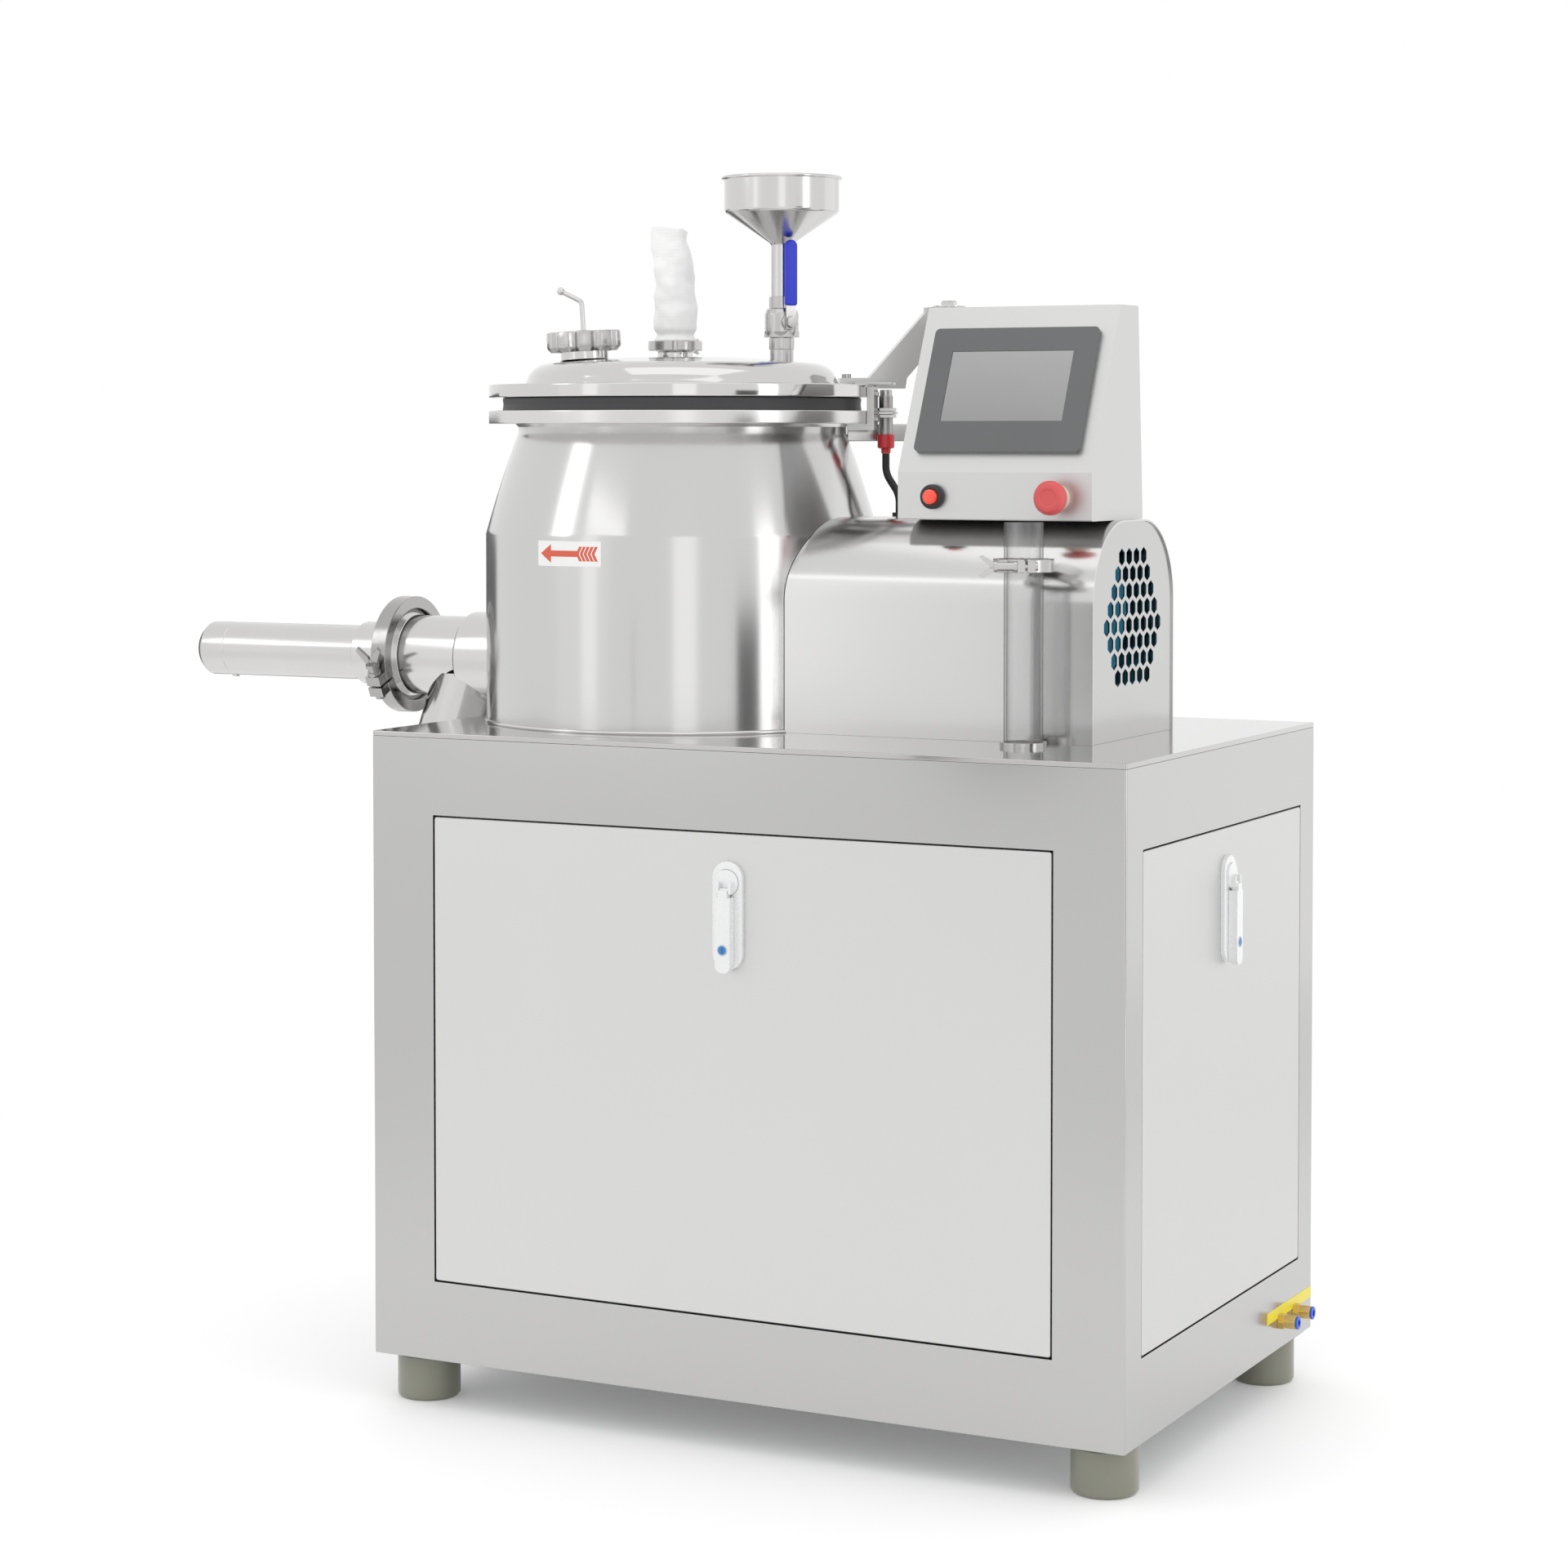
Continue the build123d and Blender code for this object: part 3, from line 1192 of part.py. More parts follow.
def drive_plate():
    x0 = BOWL_X - DRIVE_PLATE_LEFT
    x1 = MOTOR_X + DRIVE_PLATE_RIGHT
    y0 = AXIS_Y - DRIVE_PLATE_HALF
    y1 = AXIS_Y + DRIVE_PLATE_HALF
    z0 = DRIVE_PLATE_Z
    z1 = z0 + DRIVE_PLATE_T
    plate = block(x0, x1, y0, y1, z0, z1)
    plate -= rod(SHAFT_R + DRIVE_HOLE_GAP, z0 - 1, z1 + 1, BOWL_X, AXIS_Y)
    plate -= rod(MOTOR_SHAFT_R + DRIVE_HOLE_GAP, z0 - 1, z1 + 1, MOTOR_X, AXIS_Y)
    for x in (x0 + DRIVE_HANGER_IN, x1 - DRIVE_HANGER_IN):
        for y in (y0 + DRIVE_HANGER_IN, y1 - DRIVE_HANGER_IN):
            plate += rod(DRIVE_HANGER_R, z1 - 1, TOP_Z - TOP_T, x, y)
    return plate


def main_motor():
    z0 = DRIVE_PLATE_Z + DRIVE_PLATE_T
    z1 = z0 + MOTOR_L
    fin_foot = MOTOR_R - MOTOR_FIN_H
    cowl_z = z1 - MOTOR_COWL_L
    half_fin = MOTOR_FIN_W / 2
    part = rod(MOTOR_R + MOTOR_FLANGE_OVER, z0, z0 + MOTOR_FLANGE_T)
    part += rod(fin_foot, z0, cowl_z + 5)
    for i in range(MOTOR_FIN_COUNT):
        fin = block(fin_foot - 4, MOTOR_R, -half_fin, half_fin, z0 + MOTOR_FLANGE_T + 6, cowl_z)
        part += Rot(0, 0, 360.0 * i / MOTOR_FIN_COUNT) * fin
    part += rod(MOTOR_R + MOTOR_COWL_OVER, cowl_z, z1)
    half_box = MOTOR_BOX_W / 2
    box_y = (-MOTOR_R - MOTOR_BOX_OUT, -MOTOR_R + MOTOR_BOX_IN)
    box_z = z0 + MOTOR_BOX_RISE
    part += block(-half_box, half_box, box_y[0], box_y[1], box_z, box_z + MOTOR_BOX_H)
    part -= rod(MOTOR_SHAFT_R + MOTOR_SHAFT_GAP, z0 - 1, z0 + 30)
    return Pos(MOTOR_X, AXIS_Y, 0) * part


def motor_pulley():
    shaft = rod(MOTOR_SHAFT_R, PULLEY_Z - 4, DRIVE_PLATE_Z + DRIVE_PLATE_T + 25)
    pulley = rod(MOTOR_PULLEY_R, PULLEY_Z, PULLEY_Z + PULLEY_T)
    pulley -= tube(MOTOR_PULLEY_R + 5, MOTOR_PULLEY_R - BELT_T, *belt_levels())
    return Pos(MOTOR_X, AXIS_Y, 0) * (shaft + pulley)


def belt_loop(r_a, r_b, span):
    lean = math.asin((r_a - r_b) / span)
    a0 = (r_a * math.sin(lean), r_a * math.cos(lean))
    b0 = (span + r_b * math.sin(lean), r_b * math.cos(lean))
    loop = Line(a0, b0)
    loop += ThreePointArc(b0, (span + r_b, 0), (b0[0], -b0[1]))
    loop += Line((b0[0], -b0[1]), (a0[0], -a0[1]))
    loop += ThreePointArc((a0[0], -a0[1]), (-r_a, 0), a0)
    return make_face(loop)


def drive_belt():
    span = MOTOR_X - BOWL_X
    r_a = DRIVEN_PULLEY_R - BELT_T + GAP
    r_b = MOTOR_PULLEY_R - BELT_T + GAP
    ring = belt_loop(r_a + BELT_T, r_b + BELT_T, span) - belt_loop(r_a, r_b, span)
    z0 = PULLEY_Z + PULLEY_T / 2 - BELT_W / 2
    return Pos(BOWL_X, AXIS_Y, z0) * extrude(ring, BELT_W)


# Chopper
def chopper_rotor():
    wall_x = BOWL_X + BOWL_R
    tip_x = wall_x - CHOPPER_REACH - BOWL_WALL
    end_x = CHOPPER_MOTOR_X0 + CHOPPER_MOTOR_L + 30
    part = rod_x(CHOPPER_SHAFT_R, tip_x, end_x, AXIS_Y, CHOPPER_Z)
    for i in range(CHOPPER_SETS):
        x = tip_x + 6 + i * CHOPPER_SET_PITCH
        for arm in range(2):
            blade = block(-2.5, 2.5, -9, 9, 0, CHOPPER_BLADE_R)
            turn = Rot(60.0 * i + 180.0 * arm, 0, 0)
            part += Pos(x, AXIS_Y, CHOPPER_Z) * turn * blade
    fan_x = CHOPPER_MOTOR_X0 + CHOPPER_MOTOR_L + 6
    part += rod_x(22, fan_x, fan_x + 18, AXIS_Y, CHOPPER_Z)
    for i in range(6):
        vane = block(0, 16, -1.5, 1.5, 18, CHOPPER_MOTOR_R - 8)
        part += Pos(fan_x, AXIS_Y, CHOPPER_Z) * Rot(60.0 * i, 0, 0) * vane
    return part


def chopper_bearing():
    x0 = BOWL_X + BOWL_R - BOWL_WALL
    x1 = CHOPPER_MOTOR_X0
    bore_fit = CHOPPER_BOSS_R - CHOPPER_BOSS_GAP - GAP
    part = rod_x(bore_fit, x0 - 1, x0 + 20, AXIS_Y, CHOPPER_Z)
    collar = rod_x(CHOPPER_BOSS_R + CHOPPER_COLLAR_OVER, x0, x0 + CHOPPER_COLLAR_T, AXIS_Y, CHOPPER_Z)
    part += collar - bowl_space(GAP)
    part += rod_x(CHOPPER_BOSS_R, x0 + CHOPPER_COLLAR_T - 8, x1, AXIS_Y, CHOPPER_Z)
    part -= rod_x(CHOPPER_SHAFT_R + RUN_FIT, x0 - 20, x1 + 1, AXIS_Y, CHOPPER_Z)
    return part


def shaft_housings():
    return Compound([impeller_bearing(), chopper_bearing()])


def chopper_motor():
    x0 = CHOPPER_MOTOR_X0
    x1 = x0 + CHOPPER_MOTOR_L
    fin_foot = CHOPPER_MOTOR_R - CHOPPER_FIN_H
    half_fin = CHOPPER_FIN_W / 2
    part = rod_x(fin_foot, x0, x1, AXIS_Y, CHOPPER_Z)
    part += rod_x(CHOPPER_MOTOR_R + CHOPPER_FIN_H, x0, x0 + CHOPPER_FLANGE_T, AXIS_Y, CHOPPER_Z)
    for i in range(CHOPPER_FIN_COUNT):
        fin = block(x0 + CHOPPER_FLANGE_T + 4, x1 - 4, -half_fin, half_fin, fin_foot - 3, CHOPPER_MOTOR_R)
        part += Pos(0, AXIS_Y, CHOPPER_Z) * Rot(360.0 * i / CHOPPER_FIN_COUNT, 0, 0) * fin
    part += tube_x(CHOPPER_MOTOR_R, CHOPPER_MOTOR_R - SHEET, x1 - 10, x1 + CHOPPER_COWL_L, AXIS_Y, CHOPPER_Z)
    box_x = x0 + CHOPPER_BOX_X
    half_box = CHOPPER_BOX_W / 2
    box_top = CHOPPER_Z + CHOPPER_MOTOR_R + CHOPPER_BOX_RISE
    part += block(box_x, box_x + CHOPPER_BOX_L, AXIS_Y - half_box, AXIS_Y + half_box, CHOPPER_Z, box_top)
    half_foot = CHOPPER_FOOT_W / 2
    foot_top = CHOPPER_Z - fin_foot + 14
    for x in (x0 + CHOPPER_FOOT_IN, x1 - CHOPPER_FOOT_IN - 10):
        part += block(x, x + CHOPPER_FOOT_L, AXIS_Y - half_foot, AXIS_Y + half_foot, TOP_Z, foot_top)
    part -= rod_x(CHOPPER_SHAFT_R + RUN_FIT, x0 - 1, x1 + 1, AXIS_Y, CHOPPER_Z)
    return part


# Motor housing
def arch_face(grow):
    half = HOUSING_W / 2 + grow
    top = HOUSING_TOP_Z + grow
    r = HOUSING_CORNER_R + grow
    k = r * (1 - math.sqrt(0.5))
    outline = Line((-half, TOP_Z), (-half, top - r))
    outline += ThreePointArc((-half, top - r), (-half + k, top - k), (-half + r, top))
    outline += Line((-half + r, top), (half - r, top))
    outline += ThreePointArc((half - r, top), (half - k, top - k), (half, top - r))
    outline += Polyline((half, top - r), (half, TOP_Z), (-half, TOP_Z))
    return make_face(outline)


def arch_prism(grow, x0, x1):
    face = Plane(origin=(x0, AXIS_Y, 0), x_dir=(0, 1, 0), z_dir=(1, 0, 0)) * arch_face(grow)
    return extrude(face, x1 - x0)


def motor_housing():
    shell = arch_prism(0, BOWL_X + 60, HOUSING_X1) - arch_prism(-SHEET, BOWL_X + 50, HOUSING_X1 + 1)
    shell -= bowl_space(HOUSING_BOWL_GAP)
    bead_r = BOWL_R + BEAD_W + GAP
    shell -= rod(bead_r, TOP_Z - 1, TOP_Z + BEAD_H + GAP, BOWL_X, AXIS_Y)
    gland_r = CABLE_D / 2 + CABLE_GLAND_W + RUN_FIT
    shell -= rod(gland_r, CABLE_FOOT_Z - 40, CABLE_FOOT_Z + 10, CABLE_FOOT_X, CABLE_FOOT_Y)
    flange_top = TOP_Z + POST_FLANGE_T + POST_BOLT_H + HOUSING_POST_GAP
    shell -= rod(POST_FLANGE_R + HOUSING_POST_GAP, TOP_Z - 1, flange_top, POST_X, POST_Y)
    shell -= rod(POST_R + HOUSING_POST_GAP, TOP_Z - 1, HOUSING_TOP_Z + 1, POST_X, POST_Y)
    return shell


def vent_plate():
    x1 = HOUSING_X1 - END_PLATE_INSET
    plate = arch_prism(-SHEET, x1 - SHEET, x1)
    hexagon = RegularPolygon(VENT_FLATS / 2, 6, major_radius=False, rotation=30)
    row_rise = VENT_PITCH * math.sqrt(3) / 2
    first_z = CHOPPER_Z + row_rise * (len(VENT_ROWS) - 1) / 2
    holes = Sketch()
    for row, count in enumerate(VENT_ROWS):
        for i in range(count):
            y = (i - (count - 1) / 2) * VENT_PITCH
            holes += Pos(y, first_z - row * row_rise) * hexagon
    face = Plane(origin=(x1 - 2 * SHEET, AXIS_Y, 0), x_dir=(0, 1, 0), z_dir=(1, 0, 0)) * holes
    return plate - extrude(face, 4 * SHEET)


# Control box
def tilt_run():
    return (BOX_TOP_Z - BOX_RIDGE_Z) * math.tan(math.radians(BOX_TILT))


def box_outline(grow):
    top_front = BOX_FRONT_Y + tilt_run()
    lean = math.radians(BOX_TILT)
    shift = grow / math.cos(lean) + grow * math.tan(lean)
    knee = grow * math.tan(lean / 2)
    return Polyline(
        (BOX_FRONT_Y - grow, BOX_Z - grow),
        (BOX_FRONT_Y - grow, BOX_RIDGE_Z + knee),
        (top_front - shift + 2 * grow * math.tan(lean), BOX_TOP_Z + grow),
        (BOX_TOP_BACK_Y + grow, BOX_TOP_Z + grow),
        (BOX_BACK_Y + grow, BOX_Z - grow),
        close=True,
    )


def box_prism(grow, x0, x1):
    side = Plane(origin=(x0, 0, 0), x_dir=(0, 1, 0), z_dir=(1, 0, 0)) * make_face(box_outline(grow))
    return extrude(side, x1 - x0)


def tilt_plane():
    lean = math.radians(BOX_TILT)
    centre_x = (BOX_X0 + BOX_X1) / 2
    y = BOX_FRONT_Y + BEZEL_UP * math.sin(lean)
    z = BOX_RIDGE_Z + BEZEL_UP * math.cos(lean)
    return Plane(origin=(centre_x, y, z), x_dir=(1, 0, 0), z_dir=(0, -math.cos(lean), math.sin(lean)))


def control_box():
    body = box_prism(0, BOX_X0, BOX_X1)
    body = fillet(body.edges().filter_by(Axis.X), 2.0)
    body -= box_prism(-SHEET, BOX_X0 + SHEET, BOX_X1 - SHEET)
    window = tilt_plane() * Rectangle(BEZEL_W - 17, BEZEL_H - 17)
    body -= extrude(window, 10, both=True)
    body -= rod_y(BUTTON_D / 2 - 1, BOX_FRONT_Y - 5, BOX_FRONT_Y + 10, BUTTON_X, DEVICE_Z)
    body -= rod_y(ESTOP_STEM_R + 2, BOX_FRONT_Y - 5, BOX_FRONT_Y + 10, ESTOP_X, DEVICE_Z)
    return body


BUTTON_X = BOX_X0 + BUTTON_X_IN
ESTOP_X = BOX_X1 - ESTOP_X_IN
DEVICE_Z = BOX_Z + DEVICE_UP


def screen_bezel():
    face = RectangleRounded(BEZEL_W, BEZEL_H, BEZEL_R)
    body = extrude(tilt_plane() * face, BEZEL_T)
    back = extrude(tilt_plane() * Rectangle(BEZEL_W - 20, BEZEL_H - 20), -28)
    pocket = Pos(0, SCREEN_UP) * Rectangle(SCREEN_W + 2 * GAP, SCREEN_H + 2 * GAP)
    plane = tilt_plane()
    front = Plane(origin=plane.origin + plane.z_dir * BEZEL_T, x_dir=plane.x_dir, z_dir=plane.z_dir)
    return body + back - extrude(front * pocket, -2.5)


def screen_glass():
    plane = tilt_plane()
    floor = Plane(
        origin=plane.origin + plane.z_dir * (BEZEL_T - 2.5), x_dir=plane.x_dir, z_dir=plane.z_dir
    )
    return extrude(floor * (Pos(0, SCREEN_UP) * Rectangle(SCREEN_W, SCREEN_H)), 2.2)


def button_surround():
    y0 = BOX_FRONT_Y - BUTTON_RING_T
    ring = rod_y(BUTTON_RING_D / 2, y0, BOX_FRONT_Y, BUTTON_X, DEVICE_Z)
    ring = fillet(ring.edges().group_by(Axis.Y)[0], 1.5)
    ring += rod_y(BUTTON_D / 2 - 1.3, BOX_FRONT_Y, BOX_FRONT_Y + BUTTON_BARREL_L, BUTTON_X, DEVICE_Z)
    return ring - rod_y(BUTTON_D / 2 - BUTTON_LENS_GAP, y0 - 1, y0 + 12, BUTTON_X, DEVICE_Z)


def device_rings():
    return Compound([button_surround(), estop_collar()])


def push_button():
    y0 = BOX_FRONT_Y - BUTTON_RING_T - BUTTON_PROUD
    lens = rod_y(BUTTON_D / 2 - BUTTON_LENS_GAP - GAP, y0, y0 + BUTTON_LENS_L, BUTTON_X, DEVICE_Z)
    return fillet(lens.edges().group_by(Axis.Y)[0], 2.0)


def estop_collar():
    y0 = BOX_FRONT_Y - ESTOP_COLLAR_T
    ring = rod_y(ESTOP_COLLAR_D / 2, y0, BOX_FRONT_Y, ESTOP_X, DEVICE_Z)
    ring = chamfer(ring.edges().group_by(Axis.Y)[0], 1.5)
    barrel_r = ESTOP_STEM_R + ESTOP_BARREL_WALL
    ring += rod_y(barrel_r, BOX_FRONT_Y, BOX_FRONT_Y + ESTOP_BARREL_L, ESTOP_X, DEVICE_Z)
    return ring - rod_y(ESTOP_STEM_R + RUN_FIT, y0 - 1, BOX_FRONT_Y + 20, ESTOP_X, DEVICE_Z)


def estop_button():
    y1 = BOX_FRONT_Y - ESTOP_COLLAR_T - ESTOP_GAP
    head = rod_y(ESTOP_D / 2, y1 - ESTOP_HEAD_T, y1, ESTOP_X, DEVICE_Z)
    head = fillet(head.edges().group_by(Axis.Y)[0], 5.0)
    head = chamfer(head.edges().group_by(Axis.Y)[-1], 4.0)
    return head - rod_y(ESTOP_PIN_R + RUN_FIT, y1 - ESTOP_HEAD_T / 2, y1 + 1, ESTOP_X, DEVICE_Z)


def estop_stem():
    y1 = BOX_FRONT_Y - ESTOP_COLLAR_T - ESTOP_GAP
    stem = rod_y(ESTOP_STEM_R, y1 + GAP, BOX_FRONT_Y + 8, ESTOP_X, DEVICE_Z)
    return stem + rod_y(ESTOP_PIN_R, y1 - ESTOP_HEAD_T / 2 + GAP, y1 + 1, ESTOP_X, DEVICE_Z)


# Standpipe
def standpipe():
    t = STAND_FERRULE_T
    join = TOP_Z + STAND_JOINT_H
    low = tube(STAND_R, STAND_R - STAND_WALL, TOP_Z + STAND_BASE_T, join)
    low += tube(STAND_FERRULE_R, STAND_R - STAND_WALL, join - t, join)
    high = tube(STAND_R, STAND_R - STAND_WALL, join, TOP_Z + STAND_H)
    high += tube(STAND_FERRULE_R, STAND_R - STAND_WALL, join, join + t)
    return Pos(STAND_X, STAND_Y, 0) * Compound([low, high])


def standpipe_base():
    ring = tube(STAND_BASE_R, STAND_R - STAND_WALL, TOP_Z, TOP_Z + STAND_BASE_T)
    return Pos(STAND_X, STAND_Y, 0) * ring


def standpipe_frame():
    return Pos(STAND_X, STAND_Y, TOP_Z + STAND_JOINT_H) * Rot(0, 0, STAND_CLAMP_ANGLE)


def standpipe_fittings():
    return Compound([standpipe_base(), standpipe_clamp()])


def standpipe_clamp():
    return standpipe_frame() * clamp_ring(
        STAND_FERRULE_R + GAP, STAND_CLAMP_R, STAND_CLAMP_H, STAND_LUG, STAND_SHANK
    )


def standpipe_nut():
    return standpipe_frame() * clamp_nut(STAND_CLAMP_R, STAND_LUG, STAND_SHANK)


# Discharge
def discharge_tube():
    part = rod_x(TUBE_R, TUBE_END_X, COLLAR_X, AXIS_Y, TUBE_Z)
    part += rod_x(FERRULE_R, TUBE_END_X - 6, TUBE_END_X, AXIS_Y, TUBE_Z)
    part += Pos(TUBE_END_X, AXIS_Y, TUBE_Z) * Rot(0, 90, 0) * Cone(
        FERRULE_R, TUBE_R, 6, align=(Align.CENTER, Align.CENTER, Align.MIN)
    )
    part -= rod_x(TUBE_R - TUBE_WALL, TUBE_END_X - 10, COLLAR_X + 1, AXIS_Y, TUBE_Z)
    return part - chute_solid(TUBE_R - TUBE_WALL)


def chute_solid(radius):
    place = Pos(CHUTE_X, AXIS_Y, TUBE_Z) * Rot(0, CHUTE_TILT, 0)
    return place * rod(radius, -CHUTE_L, 0)


def discharge_chute():
    part = chute_solid(TUBE_R) - chute_solid(TUBE_R - TUBE_WALL)
    part -= rod_x(TUBE_R + GAP / 3, TUBE_END_X, BOWL_X, AXIS_Y, TUBE_Z)
    part -= rod_x(COLLAR_R + GAP, COLLAR_X - COLLAR_LIP, BOWL_X, AXIS_Y, TUBE_Z)
    part -= bowl_space(GAP)
    part -= flare_space()
    cut_z = TUBE_Z - 10
    return part & block(TUBE_END_X - CHUTE_L, BOWL_X, -CAB_D, CAB_D, cut_z - 2 * CHUTE_L, cut_z)


def flare_space():
    start = BOWL_X - BOWL_R - COLLAR_FLARE_R
    reach = COLLAR_R + COLLAR_FLARE_R
    cone = Cone(COLLAR_R, reach, COLLAR_FLARE_R, align=(Align.CENTER, Align.CENTER, Align.MIN))
    cone = Pos(start, AXIS_Y, TUBE_Z) * Rot(0, 90, 0) * cone
    return cone + rod_x(reach, start + COLLAR_FLARE_R, BOWL_X, AXIS_Y, TUBE_Z)


def discharge_cylinder():
    x_face = TUBE_END_X - 6
    outline = [
        (ROD_R + RUN_FIT, 0),
        (FERRULE_R, 0),
        (FERRULE_R, 4),
        (CYL_CAP_R + 6, 10),
        (CYL_CAP_R, 14),
        (CYL_CAP_R, x_face - CYL_CAP_X),
        (CYL_R, x_face - CYL_CAP_X + 3),
        (CYL_R, x_face - CYL_END_X - 8),
        (CYL_R - 8, x_face - CYL_END_X),
        (0, x_face - CYL_END_X),
        (0, x_face - CYL_END_X - CYL_WALL),
        (CYL_R - CYL_WALL, x_face - CYL_END_X - CYL_WALL - 6),
        (CYL_R - CYL_WALL, 30),
        (ROD_R + RUN_FIT, 30),
    ]
    body = Pos(x_face, AXIS_Y, TUBE_Z) * Rot(0, -90, 0) * spun_outline(outline)
    drain_x = CYL_END_X + 42
    return body + rod(5.0, TUBE_Z - CYL_R - 2, TUBE_Z - CYL_R + 4, drain_x, AXIS_Y)


def discharge_plug():
    x1 = BOWL_X - IMPELLER_R - PLUG_CLEAR
    x0 = x1 - PLUG_L
    plug = rod_x(TUBE_R - TUBE_WALL - GAP, x0, x1, AXIS_Y, TUBE_Z)
    plug = chamfer(plug.edges().group_by(Axis.X)[0], 4.0)
    piston_x = TUBE_END_X - 6 - 30 - 8
    plug += rod_x(ROD_R, piston_x - PISTON_T, x0 + 2, AXIS_Y, TUBE_Z)
    plug += rod_x(CYL_R - CYL_WALL - RUN_FIT, piston_x - PISTON_T, piston_x, AXIS_Y, TUBE_Z)
    return plug


def discharge_frame():
    dip = math.radians(CLAMP_DIP)
    plane = Plane(
        origin=(TUBE_END_X - 6, AXIS_Y, TUBE_Z), x_dir=(0, -math.cos(dip), -math.sin(dip)), z_dir=(1, 0, 0)
    )
    return plane.location


def discharge_clamp():
    return discharge_frame() * clamp_ring(FERRULE_R + GAP, CLAMP_R, CLAMP_W, CLAMP_LUG, CLAMP_SHANK)


def discharge_nut():
    return discharge_frame() * clamp_nut(CLAMP_R, CLAMP_LUG, CLAMP_SHANK)


# Services
def air_inlets():
    parts = []
    for y in INLET_Y:
        hexagon = Pos(HALF_W, y, INLET_Z) * Rot(0, 90, 0) * extrude(RegularPolygon(INLET_HEX / 2, 6), 8)
        body = hexagon + rod_x(INLET_HEX / 2 - 2, HALF_W + 7, HALF_W + INLET_L, y, INLET_Z)
        body += rod_x(INLET_HEX / 2 - 4, HALF_W - 20, HALF_W + 1, y, INLET_Z)
        body -= rod_x(AIR_TUBE_R, HALF_W + 4, HALF_W + INLET_L + 1, y, INLET_Z)
        body -= rod_x(PUSH_RING_R - 2 + GAP / 3, HALF_W + INLET_L - 5, HALF_W + INLET_L + 1, y, INLET_Z)
        parts.append(body)
    return Compound(parts)


def inlet_rings():
    parts = []
    for y in INLET_Y:
        ring = rod_x(PUSH_RING_R - 2, HALF_W + INLET_L - 5, HALF_W + INLET_L + 1, y, INLET_Z)
        ring += rod_x(PUSH_RING_R, HALF_W + INLET_L + GAP, HALF_W + INLET_L + 3, y, INLET_Z)
        parts.append(ring - rod_x(AIR_TUBE_R, HALF_W, HALF_W + INLET_L + 5, y, INLET_Z))
    return Compound(parts)


def cable_glands():
    return Compound([mains_gland(), housing_gland()])


def mains_gland():
    y = HALF_D
    z = GLAND_Z + PANEL_BOTTOM
    hexagon = Pos(GLAND_X, y, z) * Rot(-90, 0, 0) * extrude(RegularPolygon(GLAND_R, 6), 8)
    body = hexagon + rod_y(GLAND_R - 3, y + 7, y + GLAND_L, GLAND_X, z)
    body = body + rod_y(GLAND_R - 5, y - 18, y + 1, GLAND_X, z)
    return body - rod_y(GLAND_BORE_R, y - 30, y + GLAND_L + 5, GLAND_X, z)


def control_tray():
    x1 = HALF_W - SHEET - PANEL_RETURN - TRAY_X_IN
    x0 = x1 - TRAY_T
    z0 = BASE_Z + FLOOR_T

    def unit(depth, middle, width, rise, height):
        return block(x0 - depth, x0, middle - width / 2, middle + width / 2, z0 + rise, z0 + rise + height)

    part = block(x0, x1, -TRAY_W / 2, TRAY_W / 2, z0, z0 + TRAY_H)
    part += unit(INVERTER_D, -UNIT_OFFSET, INVERTER_W, INVERTER_RISE, INVERTER_H)
    part += unit(BREAKER_D, UNIT_OFFSET, UNIT_W, BREAKER_RISE, UNIT_H)
    part += unit(RELAY_D, UNIT_OFFSET, UNIT_W, RELAY_RISE, UNIT_H)
    part += unit(TERMINAL_D, 0, TERMINAL_W, TERMINAL_RISE, TERMINAL_H)
    return part


PARTS = {
    "cabinet_shell": cabinet_shell,
    "top_plate": top_plate,
    "front_panel": front_panel,
    "side_panel": side_panel,
    "rear_panel": rear_panel,
    "base_frame": base_frame,
    "feet": feet,
    "lock_plates": lock_plates,
    "bowl": bowl,
    "lid_gasket": lid_gasket,
    "guide_block": guide_block,
    "shaft_housings": shaft_housings,
    "main_motor": main_motor,
    "drive_belt": drive_belt,
    "chopper_motor": chopper_motor,
    "motor_housing": motor_housing,
    "vent_plate": vent_plate,
    "control_box": control_box,
    "screen_bezel": screen_bezel,
    "screen_glass": screen_glass,
    "device_rings": device_rings,
    "standpipe": standpipe,
    "standpipe_fittings": standpipe_fittings,
    "discharge_tube": discharge_tube,
    "discharge_chute": discharge_chute,
    "discharge_clamp": discharge_clamp,
    "discharge_cylinder": discharge_cylinder,
    "lift_post": lift_post,
    "lid_sensor": lid_sensor,
    "sensor_cable": sensor_cable,
    "air_inlets": air_inlets,
    "inlet_rings": inlet_rings,
    "cable_glands": cable_glands,
    "control_tray": control_tray,
    "impeller": impeller,
    "impeller_shaft": impeller_shaft,
    "motor_pulley": motor_pulley,
    "chopper_rotor": chopper_rotor,
    "lift_rod": lift_rod,
    "lid": lid,
    "lid_arm": lid_arm,
    "feed_nut": feed_nut,
    "feed_cap": feed_cap,
    "vent_fitting": vent_fitting,
    "vent_nut": vent_nut,
    "filter_bag": filter_bag,
    "valve_body": valve_body,
    "valve_stem": valve_stem,
    "valve_grip": valve_grip,
    "funnel": funnel,
    "discharge_plug": discharge_plug,
    "discharge_nut": discharge_nut,
    "standpipe_nut": standpipe_nut,
    "estop_button": estop_button,
    "estop_stem": estop_stem,
    "push_button": push_button,
    "front_lock_rotor": lambda: at_front(lock_rotor()),
    "front_lock_lever": lambda: at_front(lock_lever()),
    "side_lock_rotor": lambda: at_right(lock_rotor()),
    "side_lock_lever": lambda: at_right(lock_lever()),
}


os.makedirs("parts", exist_ok=True)
for name, make in PARTS.items():
    export_step(make(), f"parts/{name}.step")
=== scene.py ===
"""Looks of the high shear granulator, built around its packed construction model."""

